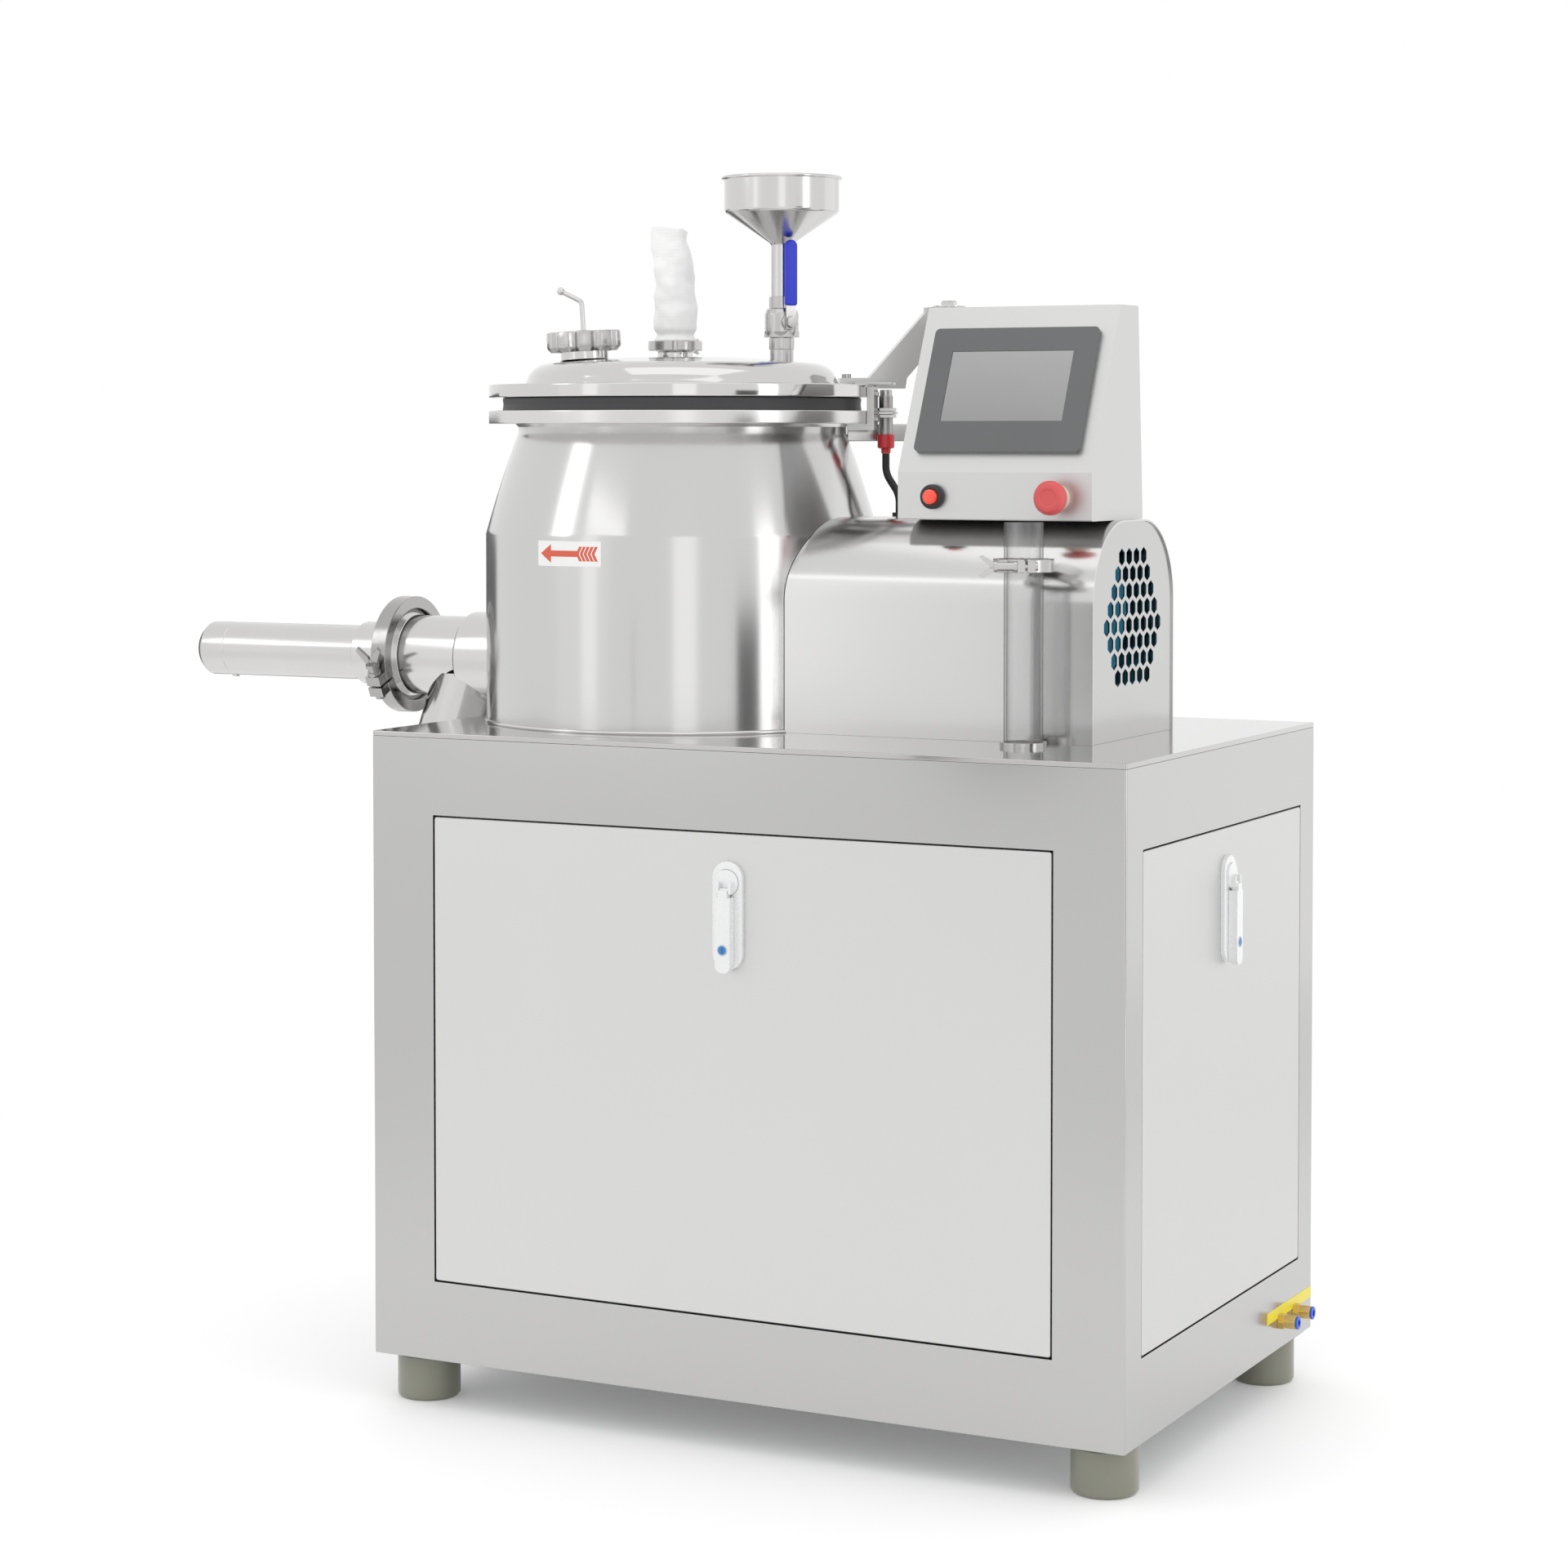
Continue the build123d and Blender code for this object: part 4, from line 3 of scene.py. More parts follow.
import logging  # noqa: E402
import math  # noqa: E402
from dataclasses import dataclass  # noqa: E402
from enum import Enum  # noqa: E402
from typing import Callable, Iterable, Optional, Sequence, Union  # noqa: E402

import bmesh  # noqa: E402
import bpy  # noqa: E402
from mathutils import Matrix, Vector, noise  # noqa: E402


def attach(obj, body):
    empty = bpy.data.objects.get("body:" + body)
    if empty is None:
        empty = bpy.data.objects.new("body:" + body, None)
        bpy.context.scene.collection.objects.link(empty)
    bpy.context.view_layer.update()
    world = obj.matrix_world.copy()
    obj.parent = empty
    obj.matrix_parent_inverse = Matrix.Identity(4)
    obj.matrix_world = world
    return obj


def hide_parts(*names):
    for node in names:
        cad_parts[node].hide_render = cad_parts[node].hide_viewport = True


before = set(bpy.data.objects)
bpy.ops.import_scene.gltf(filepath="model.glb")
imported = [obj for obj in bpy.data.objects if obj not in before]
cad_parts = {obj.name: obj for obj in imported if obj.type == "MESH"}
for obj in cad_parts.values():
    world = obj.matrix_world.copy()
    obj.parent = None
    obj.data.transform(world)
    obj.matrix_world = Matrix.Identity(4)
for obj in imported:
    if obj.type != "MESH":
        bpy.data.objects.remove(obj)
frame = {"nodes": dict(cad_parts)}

LOG = logging.getLogger("granulator")
MM = 0.001
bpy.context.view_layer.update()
Point = tuple[float, float]
Station = tuple[Point, Point]
Number = Union[int, float]
Colour = tuple[float, float, float]
Place = tuple[float, float, float]

# Levels and places shared by the sub-assemblies, in millimetres
TOP_Z = 810.0
HALF_W = 484.0
HALF_D = 315.0
BOWL_X = -236.0
AXIS_Y = 8.0
FLANGE_Z = 1178.0
LID_TOP_Z = 1226.0
TUBE_Z = 880.0


class Body(Enum):
    """Rigid bodies of the construction model that pieces ride on."""

    MACHINE = "machine"
    LIFT = "lift"
    LID = "lid_group"
    VALVE = "valve"
    FEED_LID = "feed_lid"
    FEED_RING = "feed_ring"
    ESTOP_HEAD = "estop_head"
    BUTTON = "button"
    FRONT_LEVER = "front_lever"
    SIDE_LEVER = "side_lever"


class Grain(Enum):
    """Direction in which a metal face was brushed."""

    AROUND = "around"
    LEVEL = "level"
    UPRIGHT = "upright"
    NONE = "none"


class Wire:
    """One shader socket; arithmetic on it adds Math nodes to its graph."""

    def __init__(self, graph: "Graph", socket: bpy.types.NodeSocket) -> None:
        """Wraps a socket of the graph."""
        self.graph = graph
        self.socket = socket

    def __add__(self, other: Union["Wire", Number]) -> "Wire":
        """Returns self + other."""
        return self.graph.maths("ADD", self, other)

    __radd__ = __add__

    def __sub__(self, other: Union["Wire", Number]) -> "Wire":
        """Returns self - other."""
        return self.graph.maths("SUBTRACT", self, other)

    def __rsub__(self, other: Number) -> "Wire":
        """Returns other - self."""
        return self.graph.maths("SUBTRACT", other, self)

    def __mul__(self, other: Union["Wire", Number]) -> "Wire":
        """Returns self * other."""
        return self.graph.maths("MULTIPLY", self, other)

    __rmul__ = __mul__

    def __truediv__(self, other: Union["Wire", Number]) -> "Wire":
        """Returns self / other."""
        return self.graph.maths("DIVIDE", self, other)

    def __pow__(self, other: Union["Wire", Number]) -> "Wire":
        """Returns self ** other."""
        return self.graph.maths("POWER", self, other)

    def __gt__(self, other: Union["Wire", Number]) -> "Wire":
        """Returns 1 where self is greater than other."""
        return self.graph.maths("GREATER_THAN", self, other)

    def __lt__(self, other: Union["Wire", Number]) -> "Wire":
        """Returns 1 where self is less than other."""
        return self.graph.maths("LESS_THAN", self, other)


Value = Union[Wire, Number, Sequence[float]]


class Graph:
    """Node tree of one material or world."""

    def __init__(self, tree: bpy.types.NodeTree) -> None:
        """Empties the tree and keeps it.

        Args:
            tree: the node tree to fill.
        """
        self.tree = tree
        tree.nodes.clear()

    def node(
        self, kind: str, settings: Optional[dict] = None, inputs: Optional[dict] = None
    ) -> bpy.types.Node:
        """Adds a node.

        Args:
            kind: Blender's node type.
            settings: properties set first; a ramp takes its stops under "stops".
            inputs: socket name or index to a value or a wire.

        Returns:
            The new node.
        """
        made = self.tree.nodes.new(kind)
        for key, value in (settings or {}).items():
            if key == "stops":
                self._set_stops(made, value)
            else:
                setattr(made, key, value)
        for key, value in (inputs or {}).items():
            socket = made.inputs[key]
            if isinstance(value, Wire):
                self.tree.links.new(value.socket, socket)
            else:
                socket.default_value = value
        return made

    @staticmethod
    def _set_stops(made: bpy.types.Node, stops: Sequence[tuple]) -> None:
        """Writes a colour ramp's stops, each a place and a grey or a colour."""
        ramp = made.color_ramp
        while len(ramp.elements) < len(stops):
            ramp.elements.new(0.5)
        for element, (place, shade) in zip(ramp.elements, stops):
            element.position = place
            grey = isinstance(shade, (int, float))
            element.color = (shade, shade, shade, 1) if grey else (*shade, 1)

    def wire(
        self, kind: str, output: str, settings: Optional[dict] = None, inputs: Optional[dict] = None
    ) -> Wire:
        """Adds a node and returns one of its outputs.

        Args:
            kind: Blender's node type.
            output: name of the output.
            settings: properties set first.
            inputs: socket name or index to a value or a wire.

        Returns:
            The output.
        """
        return Wire(self, self.node(kind, settings, inputs).outputs[output])

    def maths(self, operation: str, first: Value, second: Value) -> Wire:
        """Adds a Math node for two values.

        Args:
            operation: Blender's name for it.
            first: left value.
            second: right value.

        Returns:
            Its result.
        """
        return self.wire("ShaderNodeMath", "Value", {"operation": operation}, {0: first, 1: second})

    def blend(self, share: Value, first: Value, second: Value) -> Wire:
        """Mixes two colours by a share.

        Args:
            share: 0 for the first colour and 1 for the second.
            first: the first colour.
            second: the second colour.

        Returns:
            The mixed colour.
        """
        made = self.node("ShaderNodeMix", {"data_type": "RGBA"})
        for index, value in ((0, share), (6, first), (7, second)):
            if isinstance(value, Wire):
                self.tree.links.new(value.socket, made.inputs[index])
            else:
                made.inputs[index].default_value = value
        return Wire(self, made.outputs[2])

    def place(self, scale: Sequence[float]) -> Wire:
        """Object coordinates stretched by a scale along each axis."""
        where = self.wire("ShaderNodeTexCoord", "Object")
        return self.wire("ShaderNodeMapping", "Vector", None, {"Vector": where, "Scale": tuple(scale)})

    def noise(self, scale: Sequence[float], detail: float = 3.0, rough: float = 0.5) -> Wire:
        """Noise from 0 to 1 with its own scale along each axis, in cycles a metre.

        Args:
            scale: cycles a metre along X, Y and Z.
            detail: octaves.
            rough: weight of the finer octaves.

        Returns:
            The noise.
        """
        inputs = {"Vector": self.place(scale), "Scale": 1.0, "Detail": detail, "Roughness": rough}
        return self.wire("ShaderNodeTexNoise", "Fac", None, inputs)

    def bump(self, height: Wire, depth_mm: float) -> Wire:
        """Normal from a height of 0 to 1 that stands for a depth.

        Args:
            height: the height.
            depth_mm: the depth, in millimetres.

        Returns:
            The normal.
        """
        inputs = {"Height": height, "Strength": 1.0, "Distance": depth_mm * MM}
        return self.wire("ShaderNodeBump", "Normal", None, inputs)

    def shown(self) -> Wire:
        """One for the rays that show the background: from the camera, off metal and through glass."""
        path = self.node("ShaderNodeLightPath")
        rays = [Wire(self, path.outputs[f"Is {kind} Ray"]) for kind in ("Camera", "Glossy", "Transmission")]
        return self.maths("MINIMUM", rays[0] + rays[1] + rays[2], 1.0)

    def surface(self, inputs: dict) -> Wire:
        """A principled shader with the given inputs."""
        return self.wire("ShaderNodeBsdfPrincipled", "BSDF", None, inputs)

    def finish(self, surface: Wire) -> None:
        """Connects a shader to the output."""
        self.node("ShaderNodeOutputMaterial", None, {"Surface": surface})


def grey(value: float) -> tuple[float, float, float, float]:
    """A neutral colour."""
    return (value, value, value, 1.0)


@dataclass(frozen=True)
class Finish:
    """A surface finish; each kind builds its own nodes."""

    name: str

    def build(self, graph: Graph) -> None:
        """Fills the graph with this finish."""
        raise NotImplementedError

    def material(self) -> bpy.types.Material:
        """Returns the material, made once."""
        found = bpy.data.materials.get("finish_" + self.name)
        if found is not None:
            return found
        made = bpy.data.materials.new("finish_" + self.name)
        made.use_nodes = True
        self.build(Graph(made.node_tree))
        return made


@dataclass(frozen=True)
class Steel(Finish):
    """Stainless steel, brushed or polished.

    Attributes:
        shade: reflectance of the metal.
        rough: mean roughness.
        spread: how far the roughness wanders.
        grain: brushing direction.
        depth_mm: depth of the brushing.
        stretch: anisotropy, the same all over.
        warmth: red minus blue, halved.
        cloud: how far the shade wanders.
    """

    shade: float = 0.62
    rough: float = 0.3
    spread: float = 0.05
    grain: Grain = Grain.NONE
    depth_mm: float = 0.006
    stretch: float = 0.0
    warmth: float = 0.006
    cloud: float = 0.03

    def scale(self) -> tuple[float, float, float]:
        """Noise cycles a metre along X, Y and Z for the brushing."""
        return {
            Grain.AROUND: (2.0, 2.0, 900.0),
            Grain.LEVEL: (3.0, 3.0, 1200.0),
            Grain.UPRIGHT: (900.0, 900.0, 3.0),
            Grain.NONE: (160.0, 160.0, 160.0),
        }[self.grain]

    def build(self, graph: Graph) -> None:
        """Metal whose roughness and shade wander along the brushing."""
        lines = graph.noise(self.scale(), 2.0, 0.6)
        clouds = graph.noise((5.0, 5.0, 5.0), 3.0, 0.55)
        rough = self.rough + (lines - 0.5) * self.spread + (clouds - 0.5) * self.spread
        low = self.shade * (1 - self.cloud)
        high = self.shade * (1 + self.cloud)
        dark = (low + self.warmth, low, low - self.warmth, 1)
        light = (high + self.warmth, high, high - self.warmth, 1)
        inputs = {
            "Base Color": graph.blend(clouds, dark, light),
            "Metallic": 1.0,
            "Roughness": rough,
            "Anisotropic": self.stretch,
            "Anisotropic Rotation": 0.25,
        }
        if self.depth_mm:
            inputs["Normal"] = graph.bump(lines, self.depth_mm)
        graph.finish(graph.surface(inputs))


@dataclass(frozen=True)
class Solid(Finish):
    """Paint, plastic, rubber or resin.

    Attributes:
        colour: base colour.
        rough: mean roughness.
        coat: clear coat weight.
        pebble: bumps a metre of the moulded texture.
        depth_mm: depth of the texture.
        metal: metallic share.
        glow: share of light passed by a lens.
        depth: subsurface weight.
    """

    colour: Colour = (0.5, 0.5, 0.5)
    rough: float = 0.45
    coat: float = 0.0
    pebble: float = 900.0
    depth_mm: float = 0.02
    metal: float = 0.0
    glow: float = 0.0
    depth: float = 0.0

    def build(self, graph: Graph) -> None:
        """A body colour with slight variation, wear in the gloss and a fine texture."""
        clouds = graph.noise((9.0, 9.0, 9.0), 4.0, 0.6)
        fine = graph.noise((self.pebble,) * 3, 2.0, 0.5)
        dark = tuple(c * 0.93 for c in self.colour) + (1,)
        light = tuple(min(1.0, c * 1.06) for c in self.colour) + (1,)
        inputs = {
            "Base Color": graph.blend(clouds, dark, light),
            "Metallic": self.metal,
            "Roughness": self.rough + (clouds - 0.5) * 0.08 + (fine - 0.5) * 0.05,
            "Coat Weight": self.coat,
            "Coat Roughness": 0.08,
            "Emission Color": (*self.colour, 1),
            "Emission Strength": self.glow,
            "Subsurface Weight": self.depth,
            "Normal": graph.bump(fine, self.depth_mm),
        }
        graph.finish(graph.surface(inputs))


@dataclass(frozen=True)
class ClearTube(Finish):
    """Clear acrylic that shows mostly at its edges.

    Attributes:
        tint: light passed square to the wall.
        edge: light passed where the wall is seen on edge.
    """

    tint: float = 0.97
    edge: float = 0.12

    def build(self, graph: Graph) -> None:
        """Clear in the middle, with a dark line where the wall is seen on edge."""
        facing = graph.wire("ShaderNodeLayerWeight", "Facing", None, {"Blend": 0.5})
        streaks = graph.noise((90.0, 90.0, 2.0), 2.0, 0.5)
        glossy = {
            "Base Color": grey(0.80),
            "Roughness": 0.04 + (streaks - 0.5) * 0.04,
            "Specular IOR Level": 0.8,
        }
        skin = graph.surface(glossy)
        clear = graph.wire("ShaderNodeBsdfTransparent", "BSDF", None, {"Color": grey(self.tint)})
        dark = graph.wire("ShaderNodeBsdfTransparent", "BSDF", None, {"Color": grey(self.edge)})
        rim = facing ** 3.0
        through = graph.wire("ShaderNodeMixShader", "Shader", None, {0: rim, 1: clear, 2: dark})
        share = 0.03 + (facing ** 2.0) * 0.15 + (streaks ** 3.0) * 0.25
        mixed = graph.wire("ShaderNodeMixShader", "Shader", None, {0: share, 1: through, 2: skin})
        graph.finish(mixed)


@dataclass(frozen=True)
class Cloth(Finish):
    """Woven filter cloth.

    Attributes:
        colour: base colour.
        threads: threads a metre.
    """

    colour: Colour = (0.96, 0.96, 0.955)
    threads: float = 1500.0

    def build(self, graph: Graph) -> None:
        """A plain weave of two crossing wave textures, with soft stains."""
        where = graph.place((1.0, 1.0, 1.0))
        waves = []
        for direction in ("X", "Z"):
            settings = {"bands_direction": direction, "wave_profile": "SIN"}
            inputs = {"Vector": where, "Scale": self.threads / 20.0, "Distortion": 0.4}
            waves.append(graph.wire("ShaderNodeTexWave", "Fac", settings, inputs))
        weave = waves[0] * waves[1]
        clouds = graph.noise((22.0, 22.0, 14.0), 3.0, 0.6)
        dark = tuple(c * 0.9 for c in self.colour) + (1,)
        inputs = {
            "Base Color": graph.blend(clouds, dark, (*self.colour, 1)),
            "Roughness": 0.85,
            "Sheen Weight": 0.25,
            "Normal": graph.bump(weave, 0.12),
        }
        graph.finish(graph.surface(inputs))


@dataclass(frozen=True)
class Screen(Finish):
    """Switched-off touch screen, with a painted sheen that makes it a little lighter towards the top."""

    def build(self, graph: Graph) -> None:
        """Grey glass, painted a little lighter towards the top as a sheen of the light from above."""
        where = graph.wire("ShaderNodeTexCoord", "Generated")
        # Painted sheen: the colour grows lighter with height on the screen, in place of light reflected off
        # the glass
        rise = graph.wire("ShaderNodeSeparateXYZ", "Z", None, {"Vector": where})
        dust = graph.noise((30.0, 30.0, 30.0), 4.0, 0.6)
        share = rise * 0.8 + dust * 0.2
        inputs = {
            "Base Color": graph.blend(share, grey(0.27), grey(0.36)),
            "Roughness": 0.22 + dust * 0.06,
            "Coat Weight": 0.35,
            "Coat Roughness": 0.12,
        }
        graph.finish(graph.surface(inputs))


class Stock:
    """Finishes used on the machine."""

    bowl = Steel(
        "bowl_satin", 0.60, rough=0.17, spread=0.03, grain=Grain.AROUND, depth_mm=0.0008, stretch=0.4,
        warmth=0.004, cloud=0.015
    )
    housing = Steel(
        "housing_satin", 0.62, rough=0.18, spread=0.04, grain=Grain.LEVEL, depth_mm=0.0012, warmth=0.004,
        cloud=0.015
    )
    sheet = Steel(
        "cabinet_sheet", 0.51, rough=0.20, spread=0.03, grain=Grain.LEVEL, depth_mm=0.0008, warmth=0.004,
        cloud=0.012
    )
    panel = Steel(
        "panel_sheet", 0.66, rough=0.44, spread=0.03, grain=Grain.UPRIGHT, depth_mm=0.001, warmth=0.004,
        cloud=0.012
    )
    box = Steel(
        "box_sheet", 0.62, rough=0.42, spread=0.03, grain=Grain.LEVEL, depth_mm=0.001, warmth=0.004,
        cloud=0.01
    )
    mirror = Steel("mirror_polish", 0.62, rough=0.09, depth_mm=0.0)
    top = Steel("top_polish", 0.52, rough=0.10, spread=0.04, depth_mm=0.0)
    tube = Steel("tube_polish", 0.62, rough=0.17, spread=0.06, depth_mm=0.002, stretch=0.3)
    turned = Steel(
        "turned_steel", 0.66, rough=0.24, spread=0.10, grain=Grain.AROUND, depth_mm=0.004, stretch=0.4
    )
    # Darker than the other polished steel: a painted dark reflection, standing in for dark things mirrored in
    # the clamp and its nut
    clamp = Steel("clamp_painted_dark_reflection", 0.40, rough=0.20, spread=0.16, depth_mm=0.02)
    cast = Steel("cast_polish", 0.52, rough=0.22, spread=0.16, depth_mm=0.03)
    lock = Solid(
        "lock_enamel", (0.83, 0.835, 0.84), rough=0.28, coat=0.3, pebble=500.0, depth_mm=0.008, metal=0.25
    )
    iron = Solid("machined_iron", (0.16, 0.16, 0.17), rough=0.42, pebble=600.0, metal=0.8)
    brass = Solid("turned_brass", (0.74, 0.53, 0.20), rough=0.25, depth_mm=0.01, metal=1.0)
    gasket = Solid("dark_silicone", (0.075, 0.075, 0.08), rough=0.55)
    foot = Solid("foot_resin", (0.25, 0.255, 0.20), rough=0.32, coat=0.3, pebble=300.0, depth=0.25)
    black = Solid("black_plastic", (0.02, 0.02, 0.02), rough=0.42)
    cable = Solid("black_cable", (0.015, 0.015, 0.015), rough=0.5)
    frame = Solid("screen_frame", (0.115, 0.118, 0.12), rough=0.38, coat=0.15, pebble=1400.0, depth_mm=0.012)
    grip = Solid("blue_grip", (0.012, 0.03, 0.60), rough=0.42, coat=0.05, pebble=500.0, depth_mm=0.03)
    ring = Solid("blue_ring", (0.03, 0.12, 0.72), rough=0.35, coat=0.2)
    key = Solid("blue_key", (0.03, 0.22, 0.52), rough=0.35, coat=0.3)
    motor = Solid("motor_paint", (0.10, 0.52, 0.72), rough=0.4, coat=0.3, pebble=400.0, depth_mm=0.05)
    drive = Solid("drive_paint", (0.06, 0.16, 0.30), coat=0.2, pebble=400.0, depth_mm=0.06)
    grey_paint = Solid("grey_paint", (0.30, 0.31, 0.32), rough=0.5, coat=0.1, pebble=500.0, depth_mm=0.05)
    zinc = Solid("zinc_plate", (0.50, 0.51, 0.52), rough=0.4, pebble=300.0, depth_mm=0.01, metal=0.9)
    red = Solid("stop_red", (0.68, 0.085, 0.085), rough=0.42, coat=0.2, pebble=1200.0, depth_mm=0.01)
    cream = Solid("cream_collar", (0.78, 0.62, 0.50), rough=0.42)
    lens = Solid("red_lens", (0.72, 0.05, 0.02), rough=0.16, coat=0.8, pebble=300.0, depth_mm=0.0, glow=0.35)
    plug_red = Solid("sensor_red", (0.62, 0.02, 0.03), rough=0.35, coat=0.2)
    paper = Solid("sticker_white", (0.86, 0.86, 0.85), rough=0.4, coat=0.2, pebble=300.0, depth_mm=0.004)
    ink = Solid("arrow_red", (0.68, 0.10, 0.05), rough=0.4, coat=0.2, pebble=300.0, depth_mm=0.004)
    tape = Solid("yellow_tape", (0.86, 0.74, 0.04), rough=0.4, coat=0.2, pebble=300.0, depth_mm=0.004)
    clear = ClearTube("clear_acrylic")
    cloth = Cloth("filter_cloth")
    screen = Screen("touch_screen")


def soften(corners: Iterable[Sequence[float]], steps: int = 5) -> list[Point]:
    """Rounds the corners of a profile.

    Args:
        corners: (a, b) or (a, b, radius) in order.
        steps: segments in each arc.

    Returns:
        The profile with arcs in place of rounded corners.
    """
    corners = [tuple(c) for c in corners]
    out: list[Point] = []
    for index, corner in enumerate(corners):
        here = Vector(corner[:2])
        radius = corner[2] if len(corner) > 2 else 0.0
        if radius <= 0 or index in (0, len(corners) - 1):
            out.append((here.x, here.y))
            continue
        back = Vector(corners[index - 1][:2]) - here
        ahead = Vector(corners[index + 1][:2]) - here
        bend = back.angle(ahead)
        reach = min(radius / math.tan(bend / 2), back.length * 0.49, ahead.length * 0.49)
        start = here + back.normalized() * reach
        end = here + ahead.normalized() * reach
        for step in range(steps + 1):
            t = step / steps
            point = start * (1 - t) ** 2 + here * 2 * t * (1 - t) + end * t * t
            out.append((point.x, point.y))
    return out


def arc(centre: Point, radius: float, start: float, end: float, steps: int = 12) -> list[Point]:
    """Points along an arc.

    Args:
        centre: its centre.
        radius: its radius.
        start: angle of the first point, in degrees.
        end: angle of the last point, in degrees.
        steps: segments in the arc.

    Returns:
        The points in order.
    """
    found = []
    for step in range(steps + 1):
        turn = math.radians(start + (end - start) * step / steps)
        found.append((centre[0] + radius * math.cos(turn), centre[1] + radius * math.sin(turn)))
    return found


def at(x: float, y: float, z: float) -> Matrix:
    """A shift in millimetres."""
    return Matrix.Translation((x, y, z))


def turned(degrees: float, axis: str) -> Matrix:
    """A turn about an axis."""
    return Matrix.Rotation(math.radians(degrees), 4, axis)


def about_bowl(angle: float) -> Matrix:
    """The bowl's axis, with local X pointing out at an angle."""
    return at(BOWL_X, AXIS_Y, 0) @ turned(angle, "Z")


ALONG_X = turned(90, "Y")
AGAINST_X = turned(-90, "Y")
TOWARDS_FRONT = turned(90, "X")
# Local X to world Y, local Y to world Z and local Z to world X
END_ON = Matrix(((0, 0, 1, 0), (1, 0, 0, 0), (0, 1, 0, 0), (0, 0, 0, 1)))


def circle(steps: int) -> list[Point]:
    """Points of the unit circle."""
    turns = [2 * math.pi * i / steps for i in range(steps)]
    return [(math.cos(turn), math.sin(turn)) for turn in turns]


def add_object(name: str, data: Optional[bpy.types.ID]) -> bpy.types.Object:
    """Adds an object with the given data to the scene.

    Args:
        name: its name.
        data: its mesh, light or camera.

    Returns:
        The object.
    """
    made = bpy.data.objects.new(name, data)
    bpy.context.scene.collection.objects.link(made)
    return made


class Form:
    """A mesh under construction, in millimetres."""

    def __init__(self) -> None:
        """Starts with no faces."""
        self.mesh = bmesh.new()

    def take(self, rings: Sequence[Sequence[Vector]], wrap: bool, ends: bool) -> None:
        """Skins a row of point rings.

        Args:
            rings: loops with the same number of points.
            wrap: True joins the last ring to the first.
            ends: True closes the first and last ring with a face.
        """
        rows = [[self.mesh.verts.new(p) for p in ring] for ring in rings]
        count = len(rows[0])
        pairs = list(zip(rows, rows[1:] + rows[:1] if wrap else rows[1:]))
        for low, high in pairs:
            for i in range(count):
                j = (i + 1) % count
                self.mesh.faces.new((low[i], low[j], high[j], high[i]))
        if ends and not wrap:
            self.mesh.faces.new(list(reversed(rows[0])))
            self.mesh.faces.new(rows[-1])

    def lathe(
        self, profile: Sequence[Point], where: Matrix = Matrix(), steps: int = 96, closed: bool = False
    ) -> "Form":
        """Turns a profile of (radius, height) points about the local Z axis.

        Args:
            profile: points in order; a zero radius makes a tip.
            where: placement of the local axis.
            steps: segments around.
            closed: True joins the last point to the first.

        Returns:
            This form.
        """
        tip = 1e-4
        around = circle(steps)
        rings = []
        for radius, height in profile:
            reach = max(radius, tip)
            rings.append([where @ Vector((reach * c, reach * s, height)) for c, s in around])
        self.take(rings, closed, False)
        return self

    def prism(self, outline: Sequence[Point], low: float, high: float, where: Matrix = Matrix()) -> "Form":
        """Extrudes an outline in the local XY plane.

        Args:
            outline: its corners in order.
            low: height of the first end.
            high: height of the last end.
            where: placement of the plane.

        Returns:
            This form.
        """
        rings = [[where @ Vector((x, y, z)) for x, y in outline] for z in (low, high)]
        self.take(rings, False, True)
        return self

    def block(self, low: Sequence[float], high: Sequence[float], where: Matrix = Matrix()) -> "Form":
        """Adds a box between two corners.

        Args:
            low: the lowest corner.
            high: the highest corner.
            where: placement of the box's axes.

        Returns:
            This form.
        """
        outline = [(low[0], low[1]), (high[0], low[1]), (high[0], high[1]), (low[0], high[1])]
        return self.prism(outline, low[2], high[2], where)

    def nut(self, across: float, bore: float, low: float, high: float, where: Matrix) -> "Form":
        """Adds a hexagonal ring.

        Args:
            across: width across the flats outside.
            bore: width across the flats inside.
            low: height of the lower face.
            high: height of the upper face.
            where: placement of the ring's axis.

        Returns:
            This form.
        """
        rings = []
        for width, z in ((across, low), (across, high), (bore, high), (bore, low)):
            rings.append([where @ Vector((x, y, z)) for x, y in hexagon(width)])
        self.take(rings, True, False)
        return self

    def sweep(
        self, path: Sequence[Sequence[float]], radius: float, steps: int, where: Matrix
    ) -> "Form":
        """Runs a round section along a path.

        Args:
            path: points of the middle line.
            radius: radius of the section.
            steps: segments around.
            where: placement of the path.

        Returns:
            This form.
        """
        points = [where @ Vector(p) for p in path]
        side = (points[1] - points[0]).orthogonal().normalized()
        rings = []
        for i, point in enumerate(points):
            ahead = points[min(i + 1, len(points) - 1)] - points[max(i - 1, 0)]
            ahead.normalize()
            side = (side - ahead * side.dot(ahead)).normalized()
            other = ahead.cross(side)
            rings.append([point + (side * c + other * s) * radius for c, s in circle(steps)])
        self.take(rings, False, True)
        return self

    def ball(self, centre: Sequence[float], radius: float, where: Matrix = Matrix()) -> "Form":
        """Adds a ball.

        Args:
            centre: its centre.
            radius: its radius.
            where: placement of the centre's axes.

        Returns:
            This form.
        """
        profile = arc((0, 0), radius, -90, 90, 14)
        return self.lathe([(max(r, 0), z) for r, z in profile], where @ at(*centre), 24)

    def tidy(self) -> None:
        """Joins doubled points and points the faces outwards."""
        bmesh.ops.remove_doubles(self.mesh, verts=self.mesh.verts, dist=0.002)
        bmesh.ops.recalc_face_normals(self.mesh, faces=self.mesh.faces)

